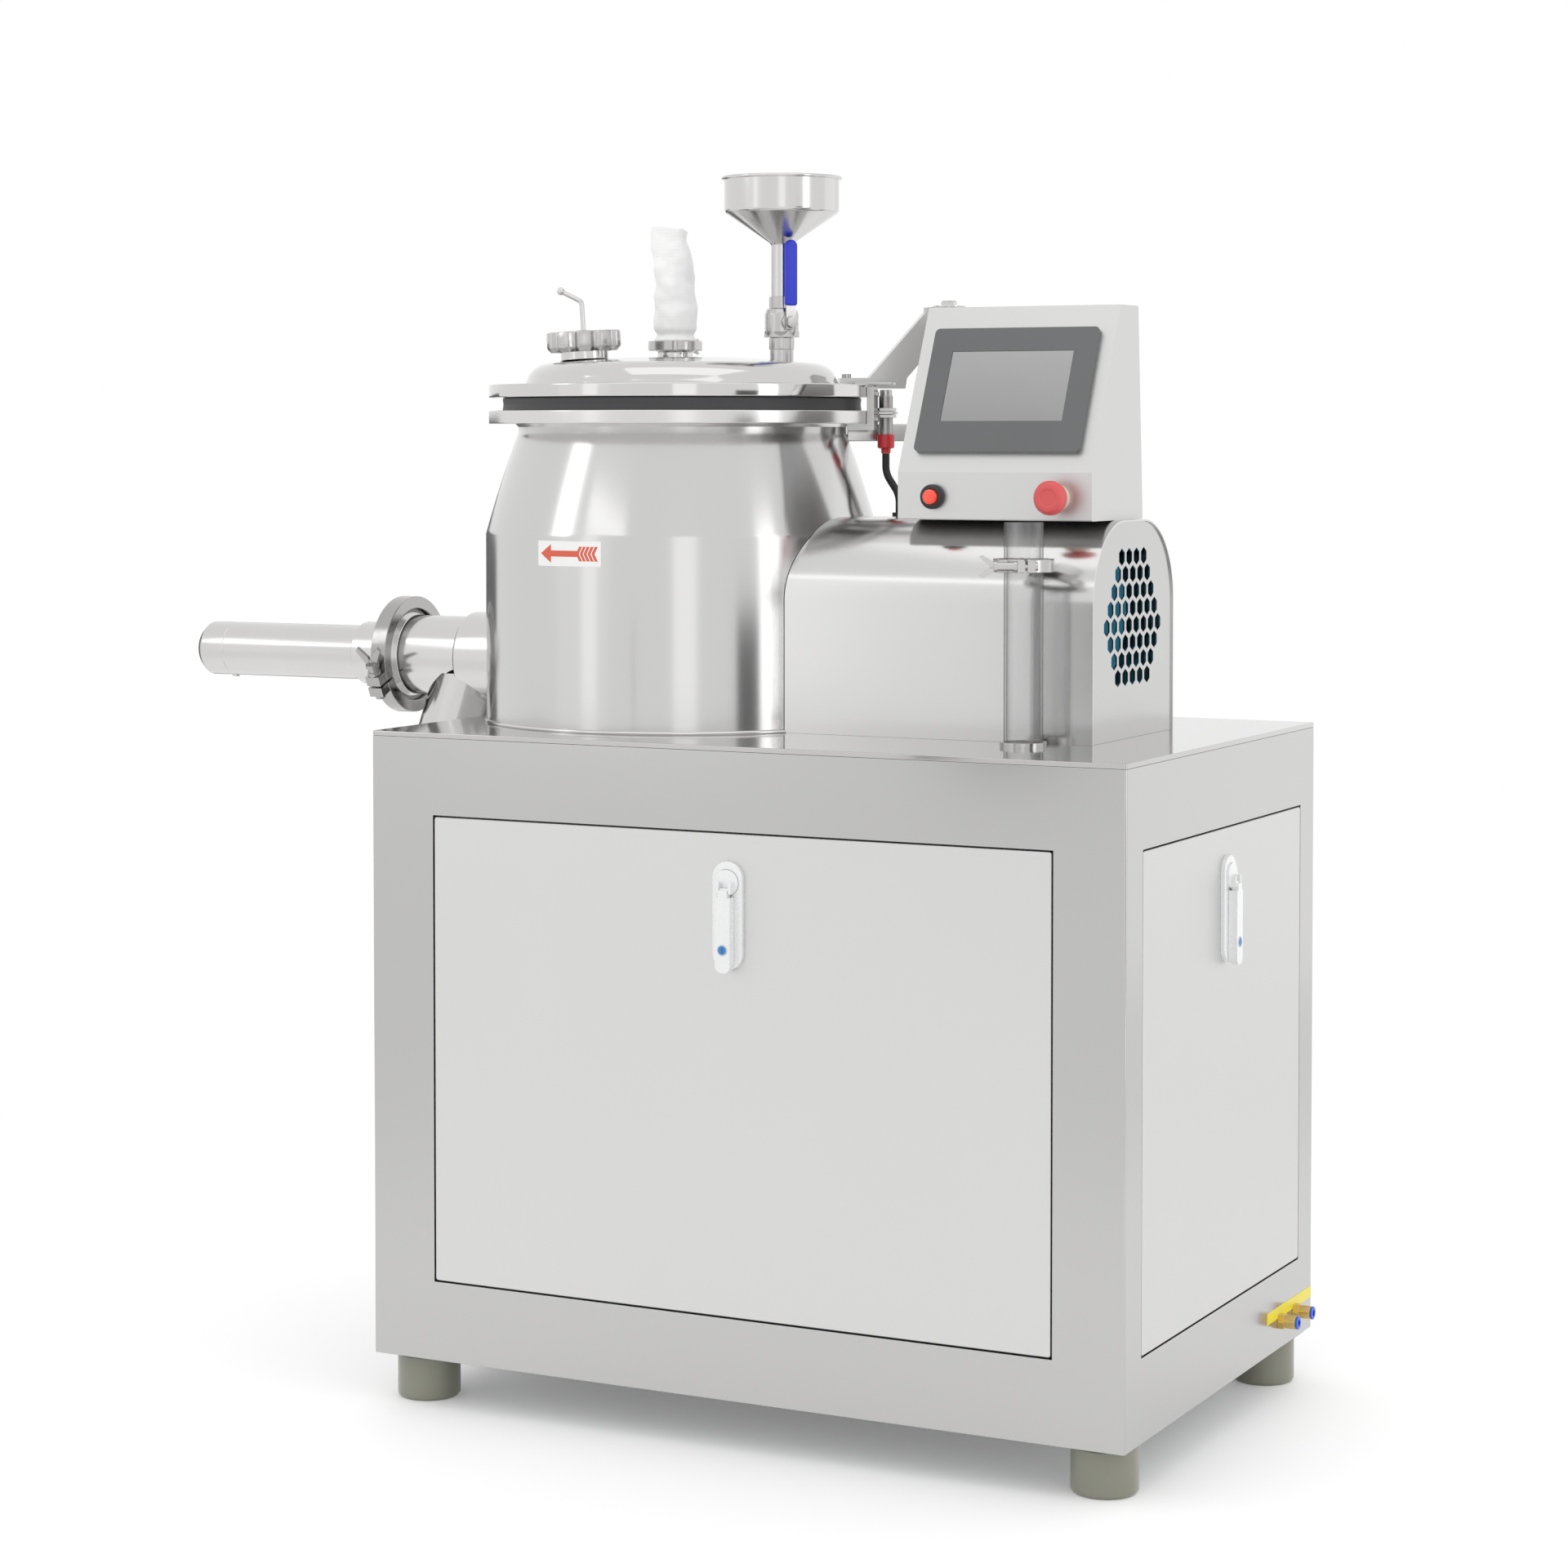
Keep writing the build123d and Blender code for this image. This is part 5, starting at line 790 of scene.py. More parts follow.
    def piece(
        self,
        name: str,
        finish: Finish,
        slot: str,
        body: Body = Body.MACHINE,
        bevel: float = 0.0,
        angle: float = 32.0,
        replaces: Sequence[str] = (),
        prepare: Optional[Callable[[bpy.types.Object], None]] = None,
    ) -> bpy.types.Object:
        """Makes the object, in metres, and lets it ride on its body.

        Args:
            name: the piece's name.
            finish: its surface.
            slot: name of a material slot; not used.
            body: the body that carries it.
            bevel: width of the broken edges, in millimetres.
            angle: sharpest angle that is shaded smooth.
            replaces: construction nodes that it stands for.
            prepare: a step run on the object before its modifiers.

        Returns:
            The object.
        """
        self.tidy()
        bmesh.ops.scale(self.mesh, vec=(MM, MM, MM), verts=self.mesh.verts)
        data = bpy.data.meshes.new(name)
        self.mesh.to_mesh(data)
        self.mesh.free()
        made = add_object(name, data)
        data.materials.append(finish.material())
        if prepare:
            prepare(made)
        if bevel:
            add_bevel(made, bevel, angle)
        shade(made, angle)
        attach(made, body.value)
        if replaces:
            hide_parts(*replaces)
        LOG.info("%s: %d faces", name, len(made.data.polygons))
        return made


def shade(made: bpy.types.Object, angle: float) -> None:
    """Smooth shading with sharp edges past an angle.

    Args:
        made: the piece.
        angle: sharpest angle that is shaded smooth.
    """
    made.data.polygons.foreach_set("use_smooth", [True] * len(made.data.polygons))
    made.data.set_sharp_from_angle(angle=math.radians(angle))


def add_bevel(made: bpy.types.Object, width: float, angle: float) -> None:
    """Breaks the edges of a piece.

    Args:
        made: the piece.
        width: width of the broken edges, in millimetres.
        angle: sharpest angle left unbroken.
    """
    bevel = made.modifiers.new("edges", "BEVEL")
    bevel.width = width * MM
    bevel.segments = 2
    bevel.limit_method = "ANGLE"
    bevel.angle_limit = math.radians(angle)
    bevel.harden_normals = True


def cut(made: bpy.types.Object, tool: Form) -> None:
    """Takes a tool's volume out of a piece.

    Args:
        made: the piece.
        tool: the volume, in millimetres.
    """
    tool.tidy()
    bmesh.ops.scale(tool.mesh, vec=(MM, MM, MM), verts=tool.mesh.verts)
    data = bpy.data.meshes.new("cutter")
    tool.mesh.to_mesh(data)
    tool.mesh.free()
    other = add_object("cutter", data)
    step = made.modifiers.new("cut", "BOOLEAN")
    step.operation = "DIFFERENCE"
    step.solver = "EXACT"
    step.object = other
    with bpy.context.temp_override(object=made, active_object=made):
        bpy.ops.object.modifier_apply(modifier=step.name)
    bpy.data.objects.remove(other)
    bpy.data.meshes.remove(data)


def dress(node: str, finish: Finish, bevel: float = 0.5, angle: float = 30.0, flat: bool = False) -> None:
    """Gives a construction node its finish, with its edges broken.

    Args:
        node: the node's name.
        finish: its surface.
        bevel: width of the broken edges, in millimetres.
        angle: sharpest angle left unbroken.
        flat: True for sheet metal, whose faces stay flat up to their edges.
    """
    part = frame["nodes"][node]
    part.data.materials.clear()
    part.data.materials.append(finish.material())
    if bevel:
        part.modifiers.new("weld", "WELD").merge_threshold = 0.00001
        add_bevel(part, bevel, angle)
        part.modifiers["edges"].harden_normals = flat
        part.modifiers["edges"].loop_slide = not flat
    if not flat:
        part.modifiers.new("normals", "WEIGHTED_NORMAL").keep_sharp = False
    LOG.info("%s dressed in %s", node, finish.name)


def hexagon(across: float, turn: float = 0.0) -> list[Point]:
    """A hexagon's corners from its width across the flats.

    Args:
        across: width across the flats.
        turn: angle of the first corner, in degrees.

    Returns:
        The corners in order.
    """
    radius = across / math.sqrt(3)
    return arc((0, 0), radius, turn, turn + 300, 5)


def rounded_box(half_w: float, half_h: float, radius: float, steps: int = 6) -> list[Point]:
    """A rectangle with round corners.

    Args:
        half_w: half its width.
        half_h: half its height.
        radius: radius of the corners.
        steps: segments in each corner.

    Returns:
        The outline's points in order.
    """
    out: list[Point] = []
    places = ((1, 1, 0), (-1, 1, 90), (-1, -1, 180), (1, -1, 270))
    for sx, sy, start in places:
        centre = (sx * (half_w - radius), sy * (half_h - radius))
        out += arc(centre, radius, start, start + 90, steps)
    return out


def shell_profile(outer: Sequence[Point], inner: Sequence[Point]) -> list[Point]:
    """A closed wall section from its outer and inner lines.

    Args:
        outer: the outer line.
        inner: the inner line, in the same direction.

    Returns:
        The section.
    """
    return list(outer) + list(reversed(inner))


@dataclass
class Cabinet:
    """The sheet-metal base with its panels, locks and feet."""

    panel_half: float = 396.5
    side_half: float = 263.0
    panel_low: float = 155.0
    panel_high: float = 710.0
    panel_deep: float = 19.5
    corner: float = 3.0
    foot_r: float = 38.0
    foot_h: float = 54.0
    foot_x: float = 440.0
    foot_y: float = 262.0
    inlets: tuple[float, float] = (195.0, 250.0)
    inlet_z: float = 92.0

    def build(self) -> None:
        """Builds every piece of the cabinet."""
        dress("cabinet_shell", Stock.sheet, 0.8, flat=True)
        dress("rear_panel", Stock.panel, 0.6)
        dress("base_frame", Stock.grey_paint, 0.5)
        dress("lock_plates", Stock.lock, 0.8)
        for side in ("front", "side"):
            dress(f"{side}_lock_rotor", Stock.lock, 0.5)
            dress(f"{side}_lock_lever", Stock.lock, 0.8)
        self.panel("front_door_skin", "front_panel", self.panel_half, at(0, -HALF_D, 0))
        side = at(HALF_W, 0, 0) @ turned(90, "Z")
        self.panel("side_door_skin", "side_panel", self.side_half, side)
        self.top()
        self.feet()
        self.keys()
        self.inlet_set()

    def panel(self, name: str, node: str, half: float, where: Matrix) -> None:
        """A tray-shaped door with folded edges.

        Args:
            name: the piece's name.
            node: the construction node that it stands for.
            half: half its width.
            where: placement of the middle of its foot.
        """
        middle = (self.panel_low + self.panel_high) / 2
        high = (self.panel_high - self.panel_low) / 2
        outline = rounded_box(half, high, self.corner)
        place = where @ at(0, 0, middle) @ turned(90, "X")
        inset = 1.6
        inner = rounded_box(half - inset, high - inset, self.corner - 1)
        form = Form()
        rows = [
            [place @ Vector((x, y, z)) for x, y in line]
            for line, z in (
                (inner, -self.panel_deep),
                (outline, -self.panel_deep),
                (outline, -0.8),
                (rounded_box(half - 0.8, high - 0.8, self.corner), 0.0),
            )
        ]
        form.take(rows, False, False)
        flat = [form.mesh.verts.new(p) for p in rows[-1]]
        form.mesh.faces.new(flat)
        back = [form.mesh.verts.new(place @ Vector((x, y, -inset))) for x, y in inner]
        edge = [form.mesh.verts.new(p) for p in rows[0]]
        for i in range(len(back)):
            j = (i + 1) % len(back)
            form.mesh.faces.new((edge[i], edge[j], back[j], back[i]))
        form.mesh.faces.new(list(reversed(back)))
        form.piece(name, Stock.panel, "satin_stainless", angle=30, replaces=[node])

    def top(self) -> None:
        """The mirror-polished top plate with its down-turned edge."""
        outline = rounded_box(HALF_W, HALF_D, self.corner)
        form = Form().prism(outline, TOP_Z - 6, TOP_Z)
        form.piece("top_sheet", Stock.top, "mirror_stainless", bevel=0.9, angle=40, replaces=["top_plate"])

    def feet(self) -> None:
        """Four resin feet."""
        form = Form()
        r, h = self.foot_r, self.foot_h
        wall = [(15, 0.1), (r - 3, 0.1, 2), (r, 4, 3), (r, h - 2, 1), (r - 1.5, h, 1), (6.5, h)]
        profile = soften(wall) + [(6.5, 20), (15, 20)]
        for sx in (-1, 1):
            for sy in (-1, 1):
                form.lathe(profile, at(sx * self.foot_x, sy * self.foot_y, 0), 64, True)
        form.piece("resin_feet", Stock.foot, "foot_rubber", angle=40, replaces=["feet"])

    def keys(self) -> None:
        """Blue key inserts in the two lock levers, with their slots."""
        places = {
            "front_key": (at(0, -HALF_D - 17.6, 579), Body.FRONT_LEVER),
            "side_key": (at(HALF_W + 17.6, 0, 579) @ turned(90, "Z"), Body.SIDE_LEVER),
        }
        for name, (where, body) in places.items():
            form = Form()
            ring = [(0, 0.06), (5.2, 0.06), (5.5, -0.1), (5.5, -0.4), (0, -0.4)]
            form.lathe(ring, where @ turned(90, "X"), 40)
            form.piece(name, Stock.key, "blue_plastic", body)
            slit = Form().block((-0.45, -0.1, -2.8), (0.45, 0.3, 2.8), where)
            slit.piece(name + "_slit", Stock.black, "black_plastic", body)

    def inlet_set(self) -> None:
        """Brass push-in fittings with blue rings, and the strip of tape above them."""
        brass = Form()
        rings = Form()
        for y in self.inlets:
            where = at(HALF_W, y, self.inlet_z) @ ALONG_X
            brass.prism(hexagon(17.2, 30), 0, 8, where)
            wall = [(4.1, 4), (4.1, 17), (6.2, 17), (6.2, 22), (8, 22, 0.8), (8, 8)]
            brass.lathe(soften(wall), where, 40)
            ring = [(4.1, 17.1), (4.1, 25), (8, 25, 1.2), (8, 22.3, 0.6), (5.9, 22.3), (5.9, 17.1)]
            rings.lathe(soften(ring), where, 40, True)
        brass.piece("inlet_bodies", Stock.brass, "brass", bevel=0.4, angle=30, replaces=["air_inlets"])
        rings.piece("inlet_collars", Stock.ring, "blue_plastic", angle=30, replaces=["inlet_rings"])
        tape = Form().block((HALF_W, 150, 96), (HALF_W + 0.35, 312, 110))
        tape.piece("inlet_tape", Stock.tape, "satin_stainless")


@dataclass
class Bowl:
    """The mixing bowl, its flange and what is fixed to it."""

    r: float = 244.0
    bulge_r: float = 229.9
    neck_r: float = 203.6
    wall: float = 5.0
    shoulder: float = 1042.0
    bulge: float = 1090.0
    neck: float = 1167.0
    flange_r: float = 240.0
    sticker_angle: float = -95.5
    sticker_z: float = 1023.0

    def barrel(self, grow: float) -> list[Point]:
        """The barrelled cone from the shoulder to the neck, as an arc through three points."""
        p1 = Vector((self.r + grow, self.shoulder))
        p2 = Vector((self.bulge_r + grow, self.bulge))
        p3 = Vector((self.neck_r + grow, self.neck))
        a, b = p2 - p1, p3 - p1
        d = 2 * (a.x * b.y - a.y * b.x)
        ux = (b.y * a.length_squared - a.y * b.length_squared) / d
        uy = (a.x * b.length_squared - b.x * a.length_squared) / d
        centre = p1 + Vector((ux, uy))
        radius = (p1 - centre).length
        start = math.degrees(math.atan2(p1.y - centre.y, p1.x - centre.x))
        end = math.degrees(math.atan2(p3.y - centre.y, p3.x - centre.x))
        return arc((centre.x, centre.y), radius, start, end, 28)

    def build(self) -> None:
        """Builds the bowl and its trim."""
        where = at(BOWL_X, AXIS_Y, 0)
        body = [(0, TOP_Z + 0.2), (self.r, TOP_Z + 0.2)] + self.barrel(0)
        body += [(self.neck_r, FLANGE_Z), (self.neck_r - self.wall, FLANGE_Z)]
        inner = self.barrel(-self.wall)
        body += list(reversed(inner)) + [(self.r - self.wall, TOP_Z + 12), (0, TOP_Z + 12)]
        form = Form().lathe(body, where, 192)
        form.piece(
            "bowl_wall", Stock.bowl, "satin_stainless", angle=24, replaces=["bowl"], prepare=self.open_side
        )
        bead = arc((self.r + 0.2, TOP_Z + 1.6), 2.6, -60, 150, 8)
        form = Form().lathe(bead, where, 192)
        form.piece("bowl_foot_weld", Stock.tube, "satin_stainless")
        self.flange(where)
        self.gasket(where)
        self.collar()
        self.arrow()
        dress("guide_block", Stock.sheet, 0.8)
        self.tab()

    def flange(self, where: Matrix) -> None:
        """The thick turned flange under the gasket."""
        low, high = FLANGE_Z, FLANGE_Z + 16
        bore = self.neck_r - self.wall
        line = [(bore, low), (bore, high), (self.flange_r, high, 1.6), (self.flange_r, low, 1.6)]
        line += [(self.neck_r + 4, low), (self.neck_r, low - 4), (bore + 2, low - 4)]
        form = Form().lathe(soften(line), where, 192, True)
        form.piece("bowl_flange", Stock.turned, "satin_stainless")

    def gasket(self, where: Matrix) -> None:
        """The dark seal between the flanges."""
        bore = self.neck_r - self.wall
        low, high = FLANGE_Z + 16, LID_TOP_Z - 16.3
        line = [(bore, low), (bore, high), (223, high, 2), (222, (low + high) / 2, 5), (223, low, 2)]
        form = Form().lathe(soften(line), where, 160, True)
        form.piece("lid_seal", Stock.gasket, "dark_rubber", angle=30, replaces=["lid_gasket"])

    def foot_x(self, aside: float) -> float:
        """X of the bowl's wall on the discharge side, at a distance from the tube's middle plane."""
        return BOWL_X - math.sqrt(self.r ** 2 - aside ** 2)

    def collar(self) -> None:
        """The spigot of the discharge tube, whose flare follows the bowl's wall."""
        steps, bore, reach, flare, mouth = 144, 48.8, 57.0, 16.0, -541.0
        lip = [(reach - 5 + 5 * math.sin(t), mouth + 5 - 5 * math.cos(t)) for t in self.quarter(6)]
        spread = [(reach + flare * (1 - math.cos(t)), flare * (1 - math.sin(t))) for t in self.quarter(12)]
        rings = []
        for radius, place in [(bore, mouth)] + lip:
            rings.append([(radius, place)] * steps)
        for radius, back in spread + [(reach + flare, -3.0), (bore, -3.0)]:
            row = []
            for i in range(steps):
                row.append((radius, self.foot_x(radius * math.cos(math.tau * i / steps)) - back))
            rings.append(row)
        form = Form()
        placed = [[self.about_tube(i / steps, *spot) for i, spot in enumerate(ring)] for ring in rings]
        form.take(placed, True, False)
        form.piece("spigot", Stock.tube, "satin_stainless", angle=30, prepare=Discharge().open_foot)

    @staticmethod
    def quarter(steps: int) -> list[float]:
        """Angles of a quarter turn, in radians."""
        return [math.pi / 2 * step / steps for step in range(steps + 1)]

    @staticmethod
    def about_tube(turn: float, radius: float, x: float) -> Vector:
        """A point at a share of a turn about the discharge tube's axis.

        Args:
            turn: share of a turn.
            radius: distance from the axis.
            x: place along the axis.

        Returns:
            The point.
        """
        angle = math.tau * turn
        return Vector((x, AXIS_Y + radius * math.cos(angle), TUBE_Z + radius * math.sin(angle)))

    @staticmethod
    def open_side(made: bpy.types.Object) -> None:
        """Opens the bowl's wall for the discharge plug."""
        bore, low, high = Discharge.bore, -500, -440
        tool = [(0, low), (bore, low), (bore, high), (0, high)]
        cut(made, Form().lathe(tool, at(0, AXIS_Y, TUBE_Z) @ ALONG_X, 96))

    def arrow(self) -> None:
        """The turning-direction sticker: a red arrow with a feathered tail."""
        paper = [((-46, -15), (-46, 15)), ((46, -15), (46, 15))]
        self.sticker("arrow_paper", Stock.paper, paper, 0.25)
        outline = ((-41, 0.1), (-25, 11), (-24.9, 3.6), (14, 3.6))
        self.sticker("arrow_shaft", Stock.ink, [((x, -half), (x, half)) for x, half in outline], 0.4)
        for k in range(5):
            x = 12.5 + k * 5.3
            low, high = ((x + 4.5, -8.7), (x + 8.3, -8.7)), ((x + 4.5, 8.7), (x + 8.3, 8.7))
            self.sticker(f"arrow_feather_{k}", Stock.ink, [low, ((x, 0), (x + 3.8, 0)), high], 0.4)

    def sticker(self, name: str, finish: Finish, stations: Sequence[Station], lift: float) -> None:
        """Wraps a flat shape on the bowl's upright wall, in narrow strips.

        Args:
            name: the piece's name.
            finish: its print.
            stations: pairs of opposite points in order, in millimetres along the wall and up.
            lift: how far it stands off the wall.
        """
        middle, back = math.radians(self.sticker_angle), self.r - 0.3
        front = self.r + lift
        rings = []
        for k, (first, last) in enumerate(zip(stations, stations[1:])):
            span = (Vector(last[0]) - Vector(first[0])).length
            parts = max(1, math.ceil(span / 2.0))
            for step in range(0 if k == 0 else 1, parts + 1):
                t = step / parts
                a, b = (Vector(first[i]).lerp(Vector(last[i]), t) for i in (0, 1))
                ring = []
                for point, radius in ((a, front), (b, front), (b, back), (a, back)):
                    turn = middle + point.x / self.r
                    x, y = BOWL_X + radius * math.cos(turn), AXIS_Y + radius * math.sin(turn)
                    ring.append(Vector((x, y, self.sticker_z + point.y)))
                rings.append(ring)
        form = Form()
        form.take(rings, False, True)
        form.piece(name, finish, "satin_stainless")

    def tab(self) -> None:
        """The bracket plate that holds the lid sensor."""
        form = Form()
        outline = rounded_box(18, 13, 3)
        moved = [(x + self.flange_r + 12, y) for x, y in outline]
        form.prism(moved, FLANGE_Z + 11.5, FLANGE_Z + 15, about_bowl(16))
        form.piece("sensor_bracket", Stock.sheet, "satin_stainless", bevel=0.5)


@dataclass
class Lid:
    """The domed lid with its ports and arm."""

    flange_r: float = 240.0
    dome_r: float = 193.5
    flat_r: float = 163.0
    edge: float = 27.0
    rise: float = 35.0
    wall: float = 4.0
    feed: tuple[float, float] = (211.0, 121.0)
    vent: tuple[float, float] = (-34.0, 44.0)

    def crown(self, reach: float) -> float:
        """Height of the dome at a distance from its axis."""
        return LID_TOP_Z + self.rise - (self.rise - self.edge) * (reach / self.flat_r) ** 2

    def dome(self, grow: float) -> list[Point]:
        """The dome's section from its edge to the middle."""
        line: list[Point] = []
        for step in range(15):
            turn = math.radians(90 * step / 14)
            r = self.flat_r + (self.dome_r - self.flat_r + grow) * math.cos(turn)
            z = LID_TOP_Z + (self.edge + grow) * math.sin(turn)
            line.append((r, z))
        for step in range(1, 13):
            r = self.flat_r * (1 - step / 12)
            line.append((r, self.crown(r) + grow))
        return line

    def build(self) -> None:
        """Builds the lid and everything on it."""
        where = at(BOWL_X, AXIS_Y, 0)
        low, high = LID_TOP_Z - 16, LID_TOP_Z
        bore = self.dome_r - self.wall
        outer = [(bore, low), (self.flange_r, low, 1.8), (self.flange_r, high, 1.8), (self.dome_r + 5, high)]
        outer = soften(outer) + [(self.dome_r + 1.5, high + 1), (self.dome_r + 0.3, high + 4)]
        dome = [p for p in self.dome(0) if p[1] > high + 4]
        inner = list(reversed(self.dome(-self.wall)))
        form = Form().lathe(outer + dome + inner, where, 192)
        form.piece("lid_dome", Stock.mirror, "mirror_stainless", Body.LID, angle=30, replaces=["lid"])
        plate = Form()
        outline = [(x + 243, y) for x, y in rounded_box(25, 13, 3)]
        plate.prism(outline, LID_TOP_Z, LID_TOP_Z + 3, about_bowl(16))
        plate.piece("sensor_target", Stock.sheet, "satin_stainless", Body.LID, bevel=0.5)
        self.feed_port()
        self.vent_port()

    def feed_frame(self) -> Matrix:
        """Placement of the small feed port."""
        angle, reach = self.feed
        out = at(reach, 0, self.crown(reach))
        return about_bowl(angle) @ out @ turned(3, "Y")

    def feed_port(self) -> None:
        """The threaded neck, its hand nut and the cap with its bent handle."""
        where = self.feed_frame()
        line = [(26.5, -12), (26.5, 24), (33, 24, 1), (33, 19, 1), (29.5, 17, 1)]
        line += [(29.5, 1.5, 1.5), (34, -1.5)]
        neck = Form().lathe(soften(line), where, 72)
        neck.piece("feed_neck", Stock.mirror, "mirror_stainless", Body.LID)
        nut = Form()
        steps, lobes, scallop = 240, 10, 5.6
        low, high, outer = 11.0, 36.0, 46.3
        rows = []
        dips = [scallop * max(0.0, math.cos(lobes * math.tau * i / steps)) ** 1.5 for i in range(steps)]
        around = list(zip(circle(steps), dips))
        outside = [(low, 5.0), (low + 5, 0.4), (low + 6, 0.0)]
        outside += [(high - 2, 0.0), (high - 0.6, 0.6), (high, 2.2)]
        for z, inset in outside:
            r = outer - inset
            rows.append([where @ Vector(((r - dip) * c, (r - dip) * s, z)) for (c, s), dip in around])
        for r, z in ((11.2, high), (11.2, 33), (33.4, 32.3), (33.4, low), (41, low)):
            rows.append([where @ Vector((r * c, r * s, z)) for (c, s), _ in around])
        nut.take(rows, True, False)
        nut.piece(
            "feed_hand_nut", Stock.cast, "cast_stainless", Body.FEED_RING, angle=28, replaces=["feed_nut"]
        )
        cap = Form()
        line = [(0, 18.4), (25.4, 18.4), (25.4, 24.3), (32.4, 24.3), (32.4, 31.6), (10.4, 31.6)]
        line += [(10.4, 35, 1), (8, 37.5, 2), (3, 38.2)]
        cap.lathe(soften(line), where, 64)
        path = [(0, 0, 33)] + self.bent((0, 0, 36), (0, 0, 73), (25, 0, 87), 9)
        cap.sweep(path, 3.0, 20, where)
        cap.ball((25, 0, 87), 4.9, where)
        cap.piece(
            "feed_cap_handle", Stock.mirror, "mirror_stainless", Body.FEED_LID, angle=30,
            replaces=["feed_cap"],
        )

    @staticmethod
    def bent(start: Place, corner: Place, end: Place, radius: float) -> list[Vector]:
        """A path with one rounded bend.

        Args:
            start: where it begins.
            corner: the corner that is rounded.
            end: where it stops.
            radius: radius of the bend.

        Returns:
            Points of the path in order.
        """
        a, b, c = Vector(start), Vector(corner), Vector(end)
        back, ahead = (a - b), (c - b)
        reach = radius / math.tan(back.angle(ahead) / 2)
        first, last = b + back.normalized() * reach, b + ahead.normalized() * reach
        out = [a]
        for step in range(9):
            t = step / 8
            out.append(first * (1 - t) ** 2 + b * 2 * t * (1 - t) + last * t * t)
        return out + [c]

    def vent_frame(self) -> Matrix:
        """Placement of the air vent."""
        return at(BOWL_X + self.vent[0], AXIS_Y + self.vent[1], self.crown(math.hypot(*self.vent)))

    def vent_port(self) -> None:
        """The ferrule, its clamp and the filter bag."""
        where = self.vent_frame()
        line = [(20, -12), (20, 13), (29, 13), (29, 10.5, 0.6), (22, 8.5, 2), (22, 1.5, 1.5), (26, -1)]
        Form().lathe(soften(line), where, 72).piece("vent_stub", Stock.mirror, "mirror_stainless", Body.LID)
        Bag(where, 22.5, 165.0).build()


@dataclass
class Bag:
    """The cloth filter bag tied over the vent.

    Attributes:
        where: placement of the vent.
        low: height of its bottom over the lid.
        high: height of its top over the lid.
        radius: radius of its mouth.
    """

    where: Matrix
    low: float
    high: float
    radius: float = 27.0

    def build(self) -> None:
        """A thin tube of cloth, creased where it slumps, with a tied mouth."""
        form = Form()
        around, along = 96, 90
        rows = []
        for side in (0.0, 1.2):
            part = []
            for k in range(along + 1):
                t = k / along
                z = self.low + (self.high - self.low) * t
                part.append([self.point(2 * math.pi * i / around, t, z, side) for i in range(around)])
            rows.append(part)
        skin = rows[0] + list(reversed(rows[1]))
        form.take(skin, True, False)
        made = form.piece(
            "filter_sock", Stock.cloth, "white_cloth", Body.LID, angle=60, replaces=["filter_bag"]
        )

    def point(self, turn: float, t: float, z: float, inset: float) -> Vector:
        """One point of the bag, from its angle and height share.

        Args:
            turn: angle about the bag's axis, in radians.
            t: share of its height.
            z: height over the lid.
            inset: distance inside the outer face.

        Returns:
            The point.
        """
        flat = 1.0 - 0.30 * smooth(0.60, 1.0, t)
        tie = 1.0 - 0.16 * math.exp(-((t - 0.05) / 0.035) ** 2)
        r = (self.radius - inset) * tie
        seed = Vector((math.cos(turn) * 1.1, math.sin(turn) * 1.1, t * 5.2))
        fold = noise.noise(seed * 1.2) * 3.0 + noise.noise(seed * 2.6 + Vector((7, 1, 3))) * 0.9
        pleat = math.cos(11 * turn + 2.0 * noise.noise(seed)) * 0.7 * (1 - smooth(0.0, 0.35, t))
        slump = math.cos(3 * turn + 9 * t) * 2.0 * smooth(0.25, 0.7, t)
        sag = (fold + slump) * smooth(0.06, 0.3, t) - 2.2 * smooth(0.2, 0.5, t) + pleat
        r = min(self.radius + 1.2 - inset, r + sag)
        x = r * math.cos(turn)
        y = r * math.sin(turn) * flat
        lean = -7.0 * smooth(0.3, 1.0, t)
        drop = 5.0 * smooth(0.8, 1.0, t) * (0.5 + 0.5 * math.cos(turn - 0.6))
        drop += 2.0 * noise.noise(seed * 2.3) * t
        return self.where @ Vector((x + lean, y, z - drop))


def smooth(low: float, high: float, value: float) -> float:
    """Rises smoothly from 0 to 1 between two values.

    Args:
        low: where it starts to rise.
        high: where it reaches 1.
        value: where it is read.

    Returns:
        The share, from 0 to 1.
    """
    t = min(1.0, max(0.0, (value - low) / (high - low)))
    return t * t * (3 - 2 * t)


